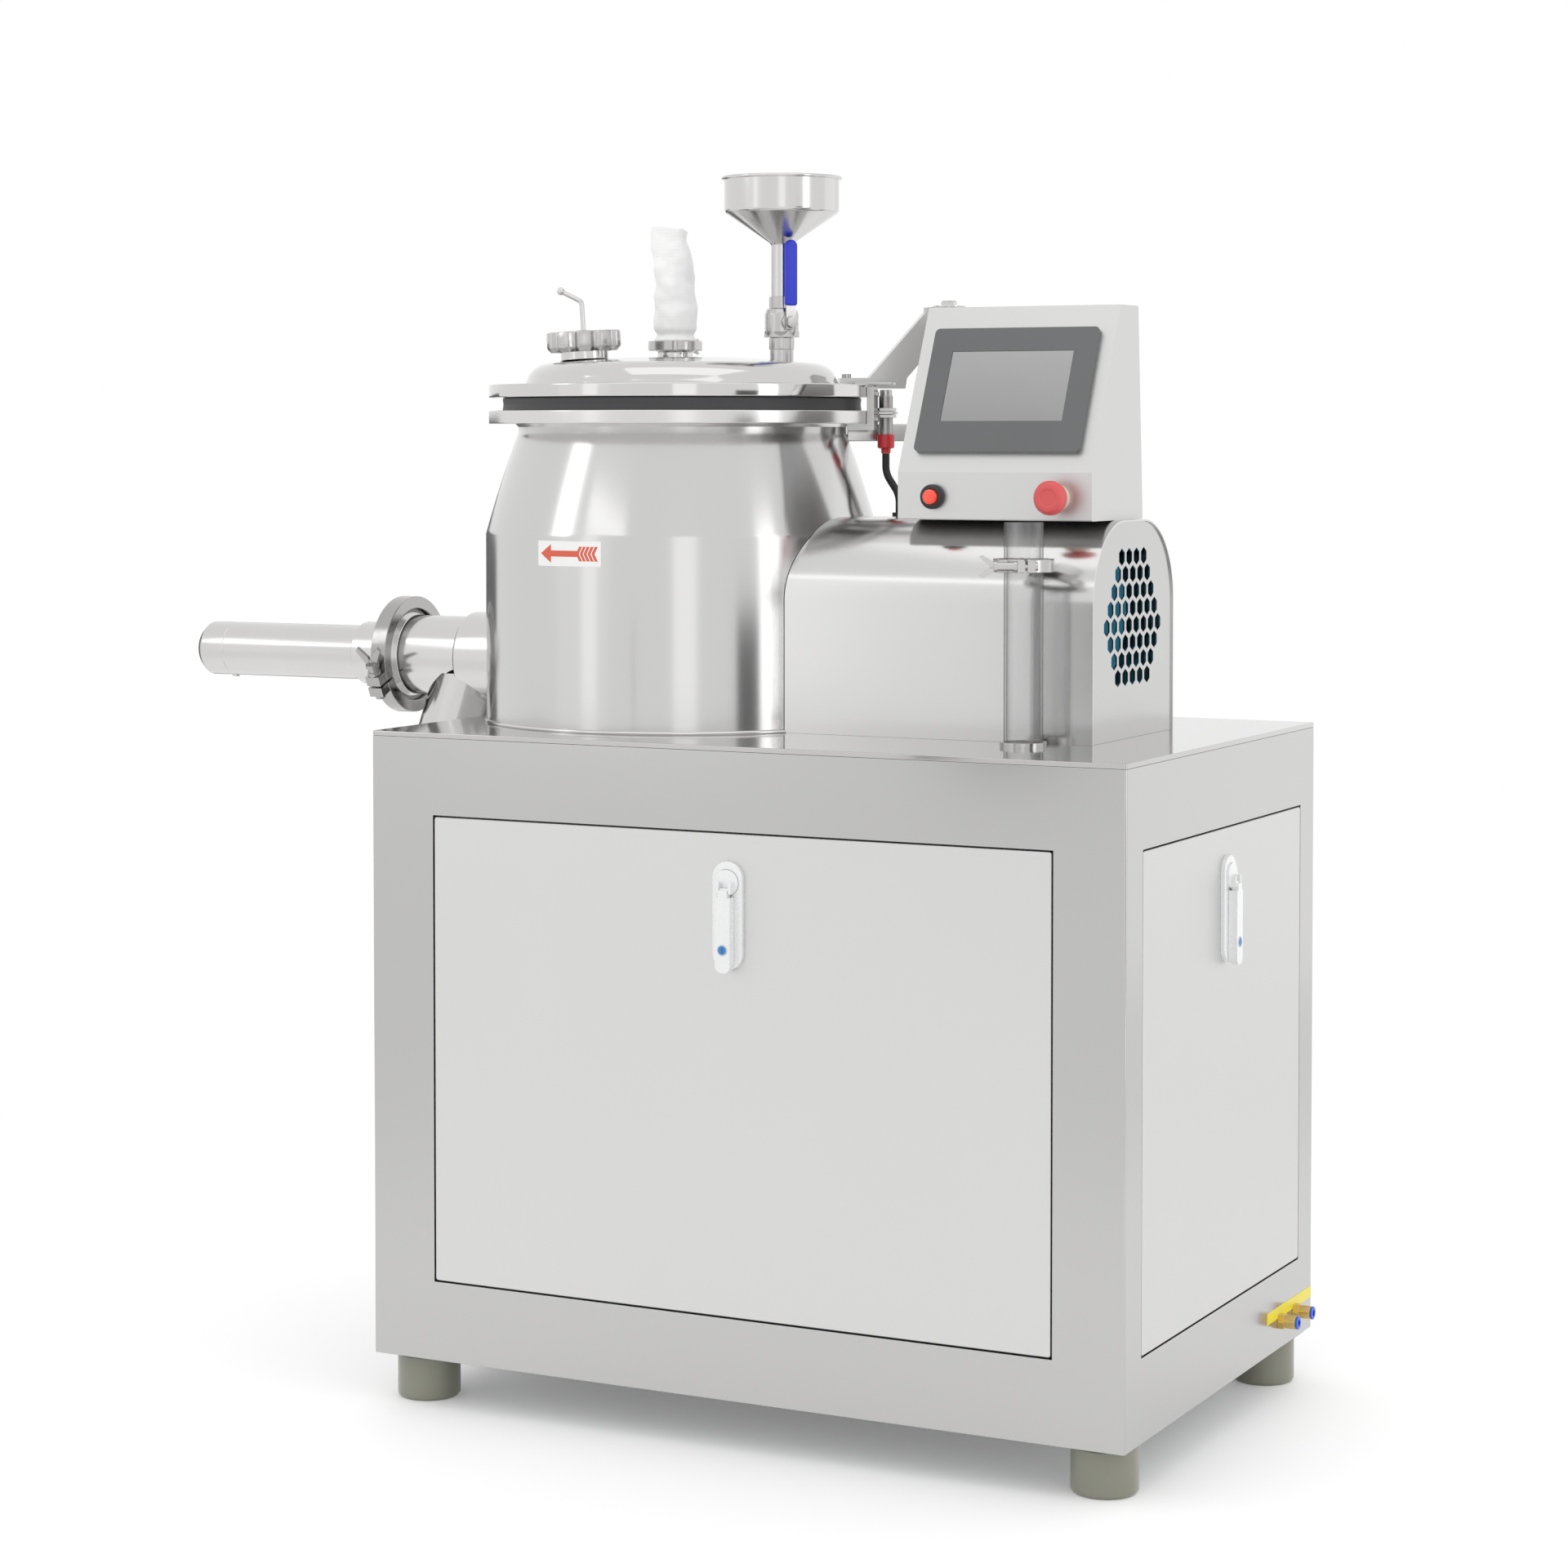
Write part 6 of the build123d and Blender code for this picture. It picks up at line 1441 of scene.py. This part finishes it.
@dataclass
class Valve:
    """The ball valve and filling funnel on the lid."""

    reach: float = 124.0
    angle: float = 31.0
    stem_angle: float = -38.0
    height: float = 1256.37

    def frame(self) -> Matrix:
        """Placement on the lid, with local X along the stem."""
        turn = math.radians(self.angle)
        x = BOWL_X + self.reach * math.cos(turn)
        y = AXIS_Y + self.reach * math.sin(turn)
        return at(x, y, self.height) @ turned(self.stem_angle, "Z")

    def build(self) -> None:
        """Builds the valve body, its handle and the funnel."""
        where = self.frame()
        line = [(10.5, -7), (14.7, -7), (14.7, 14, 0.6), (13.4, 14.2)]
        line += [(13.4, 14.6), (14.2, 15, 0.4), (14.2, 28.6, 0.4), (13.8, 29), (18.4, 29.5, 2)]
        line += [(21, 36, 3), (21, 58, 3), (18.4, 64.6, 2), (13.8, 65), (14.2, 65.4), (14.2, 79.6, 0.4)]
        line += [(13.4, 80), (10.5, 80)]
        body = Form().lathe(soften(line, 4), where, 72)
        for nut in ((27.2, 22, 14.2, 28.4), (27.2, 22, 65.6, 79.6), (37.8, 34, 29.2, 36.8)):
            body.nut(*nut, where)
        boss = [(5.2, 18.6), (9.8, 18.6), (9.8, 24.2, 0.8), (5.2, 24.9)]
        body.lathe(soften(boss), where @ at(0, 0, 47.72) @ ALONG_X, 48, True)
        body.piece(
            "valve_housing", Stock.cast, "cast_stainless", Body.LID, bevel=0.5, replaces=["valve_body"]
        )
        dress("valve_stem", Stock.cast, 0.5)
        self.grip(where)
        rim = arc((73.2, 226.6), 2.2, -60, 200, 10)
        line = [(13.2, 70.4), (13.2, 145, 5), (71.5, 184.6, 7), (71.5, 224.6)] + rim
        line += [(70.2, 226), (70.2, 185.6, 6), (11.6, 146.4, 4), (11.6, 70.4)]
        form = Form().lathe(soften(line, 6), where, 128, True)
        form.piece("funnel_spun", Stock.tube, "satin_stainless", Body.LID, angle=30, replaces=["funnel"])

    @staticmethod
    def grip(where: Matrix) -> None:
        """The dipped vinyl sleeve on the lever."""
        low, high, half = 67.9, 149.5, 7.9
        outline = arc((0, high - half), half, 0, 180, 14) + arc((-half + 3, low + 3), 3, 180, 270, 4)
        outline += arc((half - 3, low + 3), 3, 270, 360, 4)
        form = Form().prism(outline, 0, 7.8, where @ at(22.9, 0, 0) @ END_ON)
        made = form.piece(
            "lever_sleeve", Stock.grip, "blue_grip", Body.VALVE, bevel=2.6, angle=40, replaces=["valve_grip"]
        )
        made.modifiers["edges"].segments = 4


@dataclass
class Lift:
    """The post, its rod, the stay to the bowl and the lid's arm."""

    angle: float = 31.0
    reach: float = 333.7
    post_r: float = 30.0
    rod_r: float = 22.9
    top: float = 1180.0
    flange_r: float = 42.0
    flange_t: float = 10.0

    def build(self) -> None:
        """Builds the lift."""
        out = about_bowl(self.angle)
        where = out @ at(self.reach, 0, 0)
        post = [(23.2, 850), (23.2, self.top - 1), (24.6, self.top, 0.6), (self.post_r, self.top, 1.5)]
        post += [(self.post_r, TOP_Z + self.flange_t, 2), (self.flange_r, TOP_Z + self.flange_t, 1.2)]
        post += [(self.flange_r, TOP_Z + 0.1, 0.4), (23.2, TOP_Z + 0.1)]
        form = Form().lathe(soften(post), where, 96, True)
        for turn in range(4):
            spot = where @ turned(45 + 90 * turn - self.angle, "Z") @ at(36, 0, TOP_Z + self.flange_t)
            form.prism(hexagon(8), -0.5, 5.6, spot)
        form.prism(rounded_box(20, 10.8, 1.5, 3), 205, 308, out @ at(0, 0, 1167) @ END_ON)
        form.piece("post_tube", Stock.tube, "mirror_stainless", bevel=0.4, replaces=["lift_post"])
        rod = [(0, 850.5), (self.rod_r, 850.5), (self.rod_r, 1289.5), (15, 1289.5), (15, 1323.4)]
        rod += [(20.9, 1323.4, 0.4), (20.9, 1325.2, 0.4), (0, 1325.2)]
        form = Form().lathe(soften(rod), where, 96)
        form.prism(hexagon(17.2), 1325.2, 1330.6, where)
        dome = [(9.4, 1330.6), (8, 1331.9, 1), (0, 1332.2)]
        form.lathe(soften(dome), where, 48)
        form.piece("lift_column", Stock.tube, "mirror_stainless", Body.LIFT, bevel=0.3, replaces=["lift_rod"])
        dress("lid_arm", Stock.sheet, 1.2)


@dataclass
class Sensor:
    """The lid sensor with its threaded barrel, nuts, plug and cable."""

    angle: float = 16.0
    reach: float = 256.7
    low: float = 1164.5
    high: float = 1219.5

    def build(self) -> None:
        """Builds the sensor."""
        where = about_bowl(self.angle) @ at(self.reach, 0, 0)
        line: list[Point] = [(0, self.low), (8.2, self.low)]
        z = self.low + 1
        while z < self.high - 8:
            line += [(8.3, z), (8.95, z + 0.5)]
            z += 1.0
        line += [(8.3, z), (8.3, self.high - 7), (7.4, self.high - 6.6), (7.4, self.high - 0.6)]
        line += [(6.8, self.high), (0, self.high)]
        form = Form().lathe(line, where, 48)
        for low in (1185.3, 1193.4):
            form.prism(hexagon(22.4), low, low + 3.8, where)
        form.piece("sensor_barrel", Stock.cast, "nickel", bevel=0.3, angle=24, replaces=["lid_sensor"])
        plug = [(0, 1141.6), (5.6, 1141.6), (6, 1147, 1), (10.4, 1148.2, 2), (10.4, 1164.4, 0.8), (0, 1164.4)]
        form = Form().lathe(soften(plug), where, 48)
        form.piece("sensor_plug", Stock.plug_red, "red_plastic", angle=40)
        dress("sensor_cable", Stock.cable, 0)


@dataclass
class Housing:
    """The arched motor housing beside the bowl, and what it covers."""

    half: float = 129.0
    top: float = 1065.0
    corner: float = 97.0
    end_x: float = 366.0
    sheet: float = 2.0

    def arch(self, grow: float) -> list[Point]:
        """The arch's outline, open at the foot."""
        half, top, r = self.half + grow, self.top + grow, self.corner + grow
        line = [(half, TOP_Z + 0.1)] + arc((half - r, top - r), r, 0, 90, 28)
        return line + arc((-half + r, top - r), r, 90, 180, 28) + [(-half, TOP_Z + 0.1)]

    def build(self) -> None:
        """Builds the housing."""
        outline = shell_profile(self.arch(0), self.arch(-self.sheet))
        form = Form().prism(outline, BOWL_X + 60, self.end_x, at(0, AXIS_Y, 0) @ END_ON)

        def trim(made: bpy.types.Object) -> None:
            """Cuts the housing to the bowl."""
            bowl = Bowl()
            wall = [(0, 700), (bowl.r + 1, 700)] + bowl.barrel(1) + [(0, bowl.neck)]
            cut(made, Form().lathe(wall, at(BOWL_X, AXIS_Y, 0), 192))

        form.piece(
            "housing_shell", Stock.housing, "satin_stainless", angle=30, replaces=["motor_housing"],
            prepare=trim,
        )
        dress("vent_plate", Stock.sheet, 0.3)
        dress("chopper_motor", Stock.motor, 0.6)
        dress("cable_glands", Stock.black, 0.4)


@dataclass
class Panel:
    """The control box with its screen and the two devices."""

    front: float = -98.0
    button_x: float = 156.0
    stop_x: float = 313.0
    device_z: float = 1092.0

    def build(self) -> None:
        """Builds the box, the screen and the devices."""
        dress("control_box", Stock.box, 0, flat=True)
        dress("screen_bezel", Stock.frame, 1.6)
        dress("screen_glass", Stock.screen, 0.3)
        self.button()
        self.stop()

    def button(self) -> None:
        """The illuminated push button in its black ring."""
        where = at(self.button_x, self.front, self.device_z) @ TOWARDS_FRONT
        ring = [(9, 0), (14.5, 0), (14.5, 6.8, 2), (11.6, 9, 1), (9, 9, 0.6), (9, -2)]
        form = Form().lathe(soften(ring), where, 64)
        form.piece("button_ring", Stock.black, "device_plastic", angle=40, replaces=["device_rings"])
        lens = [(8.7, 2), (8.7, 12.6, 1.8), (6.5, 14.7, 3), (0, 15)]
        form = Form().lathe(soften(lens) + [(0, 2)], where, 64)
        form.piece("button_lens", Stock.lens, "red_lens", Body.BUTTON, angle=40, replaces=["push_button"])

    def stop(self) -> None:
        """The emergency stop: a mushroom head over a pale collar."""
        where = at(self.stop_x, self.front, self.device_z) @ TOWARDS_FRONT
        collar = [(9.2, 0), (15, 0), (15, 8.4, 1.4), (12.6, 10, 0.8), (9.2, 10)]
        form = Form().lathe(soften(collar), where, 64)
        form.piece("stop_collar", Stock.cream, "device_plastic", angle=40)
        head = [(5.2, 16.4), (15.2, 16.2, 0.8), (19.4, 18.8, 1.5), (19.9, 21.5, 1), (19.9, 25.6, 3)]
        head += [(16.2, 30.6, 4), (11, 31, 3), (9, 29.9, 2), (0, 29.8)]
        form = Form().lathe(soften(head), where, 96)
        form.piece(
            "stop_head", Stock.red, "red_plastic", Body.ESTOP_HEAD, angle=40, replaces=["estop_button"]
        )
        dress("estop_stem", Stock.red, 0.4)


@dataclass
class Standpipe:
    """The clear pipe in front of the housing."""

    x: float = 297.0
    y: float = -160.0
    r: float = 22.5
    wall: float = 3.0
    low: float = 815.0
    joint: float = 1016.0
    high: float = 1065.0
    ferrule: float = 28.0

    def rim(self, side: int) -> list[tuple]:
        """The ferrule on one side of the joint: 1 above it and -1 below."""
        steps = ((self.ferrule, 0.2, 0.5), (self.ferrule, 2.8, 0.8), (self.r, 5, 1.5))
        return [(reach, self.joint + side * away, radius) for reach, away, radius in steps]

    def build(self) -> None:
        """Builds the two tubes, the base ring and the clamp."""
        where = at(self.x, self.y, 0)
        bore = self.r - self.wall
        lower = [(bore, self.low), (bore, self.joint - 0.2)] + self.rim(-1) + [(self.r, self.low)]
        upper = [(bore, self.high, 0.4), (bore, self.joint + 0.2)] + self.rim(1)
        upper += [(self.r, self.high - 0.6), (self.r - 0.6, self.high)]
        form = Form()
        for line in (lower, upper):
            form.lathe(soften(line), where, 72, True)
        form.piece("pipe_tubes", Stock.clear, "clear_tube", angle=30, replaces=["standpipe"])
        dress("standpipe_fittings", Stock.cast, 0.7)
        dress("standpipe_nut", Stock.cast, 0.9)


@dataclass
class Discharge:
    """The discharge tube, chute, clamp and cylinder on the left."""

    r: float = 50.8
    bore: float = 48.8
    end_x: float = -634.0
    collar_x: float = -541.0
    ferrule: float = 59.5
    chute_x: float = -533.0
    tilt: float = 18.8
    length: float = 215.0
    far_x: float = -956.0

    def chute(self) -> Matrix:
        """Placement of the chute, whose local Z runs up along it."""
        return at(self.chute_x, AXIS_Y, TUBE_Z) @ turned(self.tilt, "Y")

    def build(self) -> None:
        """Builds the discharge."""
        where = at(0, AXIS_Y, TUBE_Z) @ ALONG_X
        line = [(self.bore, self.end_x - 6), (self.bore, self.collar_x + 1)]
        line += [(self.r, self.collar_x + 1), (self.r, self.end_x + 7, 2)]
        line += [(self.ferrule, self.end_x - 1, 1), (self.ferrule, self.end_x - 5.8, 0.8)]
        form = Form().lathe(soften(line), where, 128, True)
        form.piece(
            "throw_tube", Stock.tube, "mirror_stainless", angle=30, replaces=["discharge_tube"],
            prepare=self.open_foot,
        )
        self.build_chute()
        self.cylinder()
        # The clamp and its nut get the darker steel, a painted dark reflection
        dress("discharge_clamp", Stock.clamp, 1.4)
        dress("discharge_nut", Stock.clamp, 1.2)
        dress("discharge_plug", Stock.tube, 0.5)

    def open_foot(self, made: bpy.types.Object) -> None:
        """Opens a tube into the chute."""
        tool = [(0, -self.length), (self.bore, -self.length), (self.bore, 0), (0, 0)]
        cut(made, Form().lathe(tool, self.chute(), 96))

    def build_chute(self) -> None:
        """The slanting chute, cut to the tube, the spigot and the bowl."""
        low = -self.length
        line = [(self.bore, low), (self.r - 0.4, low), (self.r, low + 0.6), (self.r, 0), (self.bore, 0)]
        form = Form().lathe(line, self.chute(), 128, True)

        def saddle(made: bpy.types.Object) -> None:
            """Cuts the top of the chute."""
            where = at(0, AXIS_Y, TUBE_Z) @ ALONG_X
            tool = [(0, -800), (self.r - 1, -800), (self.r - 1, self.collar_x), (53, self.collar_x)]
            tool += [(53, -492), (66, -482), (66, -300), (0, -300)]
            cut(made, Form().lathe(tool, where, 128))
            cut(made, Form().block((-700, -300, TUBE_Z - 20), (-300, 300, TUBE_Z + 200)))

        form.piece(
            "chute_tube", Stock.tube, "satin_stainless", angle=30, replaces=["discharge_chute"],
            prepare=saddle,
        )

    def cylinder(self) -> None:
        """The air cylinder that draws the plug."""
        where = at(self.end_x - 6, AXIS_Y, TUBE_Z) @ AGAINST_X
        long = self.end_x - 6 - self.far_x
        cap = 66.0
        line = [(8.2, 0.2), (self.ferrule, 0.2), (self.ferrule, 4.6, 0.8), (46, 10, 3), (40, 14, 4)]
        line += [(40, cap - 1.2, 1), (38.6, cap, 0.6), (35.4, cap + 0.2), (35, cap + 3), (35, long - 44.5)]
        line += [(34.6, long - 44), (35, long - 43.5), (35, long - 9, 4), (27, long, 3), (0, long)]
        form = Form().lathe(soften(line, 6), where, 128)
        stub = [(0, -3), (4.9, -3), (4.9, 3.4, 0.8), (3.2, 3.6), (3.2, 1), (0, 1)]
        form.lathe(soften(stub), at(-914, AXIS_Y, TUBE_Z - 34) @ turned(180, "X"), 32)
        form.piece("ram_cylinder", Stock.tube, "mirror_stainless", angle=26, replaces=["discharge_cylinder"])


class Inside:
    """Construction nodes that are mostly out of sight."""

    FINISHES = {
        "impeller": Stock.mirror,
        "impeller_shaft": Stock.iron,
        "motor_pulley": Stock.iron,
        "chopper_rotor": Stock.mirror,
        "shaft_housings": Stock.sheet,
        "main_motor": Stock.drive,
        "drive_belt": Stock.gasket,
        "control_tray": Stock.zinc,
        "vent_fitting": Stock.cast,
        "vent_nut": Stock.cast,
    }

    def build(self) -> None:
        """Dresses them."""
        for node, finish in self.FINISHES.items():
            dress(node, finish, 0.5)


def aimed(rig: Union["Lamp", "Card"], data: bpy.types.ID) -> bpy.types.Object:
    """Adds a lamp's or card's object, set in place, aimed and hidden from the camera.

    Args:
        rig: the lamp or card.
        data: its light or mesh.

    Returns:
        The object.
    """
    made = add_object(rig.name, data)
    made.location = rig.place
    made.rotation_euler = (Vector(rig.aim) - Vector(rig.place)).to_track_quat("-Z", "Y").to_euler()
    made.visible_camera = False
    return made


@dataclass(frozen=True)
class Lamp:
    """A soft box of the studio, aimed at a point; places in metres."""

    name: str
    place: Place
    aim: Place
    size: tuple[float, float]
    power: float

    def build(self) -> bpy.types.Object:
        """Returns the light, set in place."""
        data = bpy.data.lights.new(self.name, "AREA")
        data.shape = "RECTANGLE"
        data.size, data.size_y = self.size
        data.energy = self.power
        return aimed(self, data)


@dataclass(frozen=True)
class Card:
    """A dark or light card that only the metal sees."""

    name: str
    place: Place
    aim: Place
    size: tuple[float, float]
    shade: float

    def build(self) -> bpy.types.Object:
        """Returns the card, set in place and hidden from the camera."""
        wide, tall = self.size[0] / 2, self.size[1] / 2
        data = bpy.data.meshes.new(self.name)
        corners = [(-wide, -tall, 0), (wide, -tall, 0), (wide, tall, 0), (-wide, tall, 0)]
        data.from_pydata(corners, [], [(0, 1, 2, 3)])
        made = aimed(self, data)
        matt = Solid(f"card_{self.name}", (self.shade,) * 3, rough=0.9, pebble=10.0, depth_mm=0.0)
        data.materials.append(matt.material())
        made.visible_shadow = False
        made.visible_diffuse = False
        return made


@dataclass
class Studio:
    """Camera, lights, cards, background and floor."""

    eye: Place = (1.884, -3.882, 1.164)
    yaw: float = 26.953
    dip: float = 2.085
    lens: float = 81.6
    shift: float = -0.14
    surround: float = 0.97
    lamps: tuple[Lamp, ...] = (
        Lamp("streak_low", (-1.50, -2.71, 1.42), (-0.236, 0.0, 1.0), (0.5, 1.6), 0.7),
        Lamp("streak_high", (-2.43, -2.04, 2.45), (-0.236, 0.0, 1.08), (0.7, 1.2), 4.0),
        Lamp("streak_front", (1.26, -2.60, 1.35), (-0.236, 0.0, 1.0), (0.7, 1.6), 1.2),
        Lamp("shoulder_strip", (-1.10, -2.65, 2.43), (0.1, -0.12, 1.0), (1.3, 0.25), 0.9),
        Lamp("right_box", (2.70, -0.60, 1.25), (-0.236, 0.0, 1.0), (0.61, 2.4), 6.0),
        Lamp("left_box", (-2.0, -3.1, 1.5), (0.0, -0.3, 0.6), (2.2, 2.2), 1.0),
        Lamp("side_box", (1.95, 2.75, 1.1), (0.45, 0.0, 0.6), (2.4, 2.2), 2.5),
        Lamp("over_box", (0.2, -0.7, 3.3), (0.0, 0.0, 0.8), (2.4, 1.8), 5.5),
    )
    cards: tuple[Card, ...] = (
        Card("flag_back", (-2.5, 1.5, 0.6), (-0.236, 0.0, 0.9), (1.7, 1.2), 0.15),
        Card("flag_right", (2.12, -1.09, 0.80), (-0.236, 0.0, 0.85), (0.60, 0.80), 0.12),
        Card("flag_front", (-0.17, -1.5, 0.88), (0.83, -1.456, 0.88), (0.26, 0.36), 0.01),
    )

    def build(self) -> None:
        """Sets up the studio."""
        self.camera()
        self.world()
        staged = [lamp.build() for lamp in self.lamps]
        staged += [card.build() for card in self.cards]
        staged.append(self.floor())
        bpy.context.scene.view_settings.view_transform = "Standard"

    def camera(self) -> None:
        """The camera, matched to the photograph."""
        data = bpy.data.cameras.new("camera")
        data.lens = self.lens
        data.sensor_width = 36.0
        data.shift_y = self.shift
        made = add_object("camera", data)
        made.location = self.eye
        made.rotation_euler = (math.radians(90 - self.dip), 0, math.radians(self.yaw))
        bpy.context.scene.camera = made

    def world(self) -> None:
        """White for the camera, metal and glass; a plain level of light for the rest."""
        world = bpy.data.worlds.new("studio")
        world.use_nodes = True
        bpy.context.scene.world = world
        graph = Graph(world.node_tree)
        colour = graph.blend(graph.shown(), grey(self.surround), grey(1.0))
        back = graph.wire("ShaderNodeBackground", "Background", None, {"Color": colour, "Strength": 1.0})
        graph.node("ShaderNodeOutputWorld", None, {"Surface": back})

    def floor(self) -> bpy.types.Object:
        """A pale round floor that fades out into the background."""
        reach, steps = 3.0, 128
        data = bpy.data.meshes.new("floor")
        data.from_pydata([(reach * c, reach * s, 0) for c, s in circle(steps)], [], [tuple(range(steps))])
        made = add_object("floor", data)
        stuff = bpy.data.materials.new("floor_pale")
        stuff.use_nodes = True
        graph = Graph(stuff.node_tree)
        where = graph.wire("ShaderNodeTexCoord", "Object")
        away = graph.wire("ShaderNodeVectorMath", "Value", {"operation": "LENGTH"}, {0: where})
        spread = {"Value": away, "From Min": 1.1, "From Max": 2.7}
        fade = graph.wire("ShaderNodeMapRange", "Result", {"interpolation_type": "SMOOTHSTEP"}, spread)
        base = {"Base Color": grey(0.93), "Roughness": 0.6}
        plain = graph.surface(base)
        lift = graph.wire("ShaderNodeEmission", "Emission", None, {"Color": grey(1.0), "Strength": 0.16})
        sum_up = graph.wire("ShaderNodeAddShader", "Shader", None, {0: plain, 1: lift})
        near = graph.wire("ShaderNodeMixShader", "Shader", None, {0: graph.shown(), 1: plain, 2: sum_up})
        clear = graph.wire("ShaderNodeBsdfTransparent", "BSDF")
        graph.finish(graph.wire("ShaderNodeMixShader", "Shader", None, {0: fade, 1: near, 2: clear}))
        data.materials.append(stuff)
        return made


def main() -> None:
    """Builds the whole scene."""
    logging.basicConfig(level=logging.INFO, format="%(name)s %(message)s")
    for assembly in (
        Cabinet(), Bowl(), Lid(), Valve(), Lift(), Sensor(), Housing(), Panel(), Standpipe(), Discharge(),
        Inside(), Studio(),
    ):
        assembly.build()


if __name__ == "__main__":
    main()
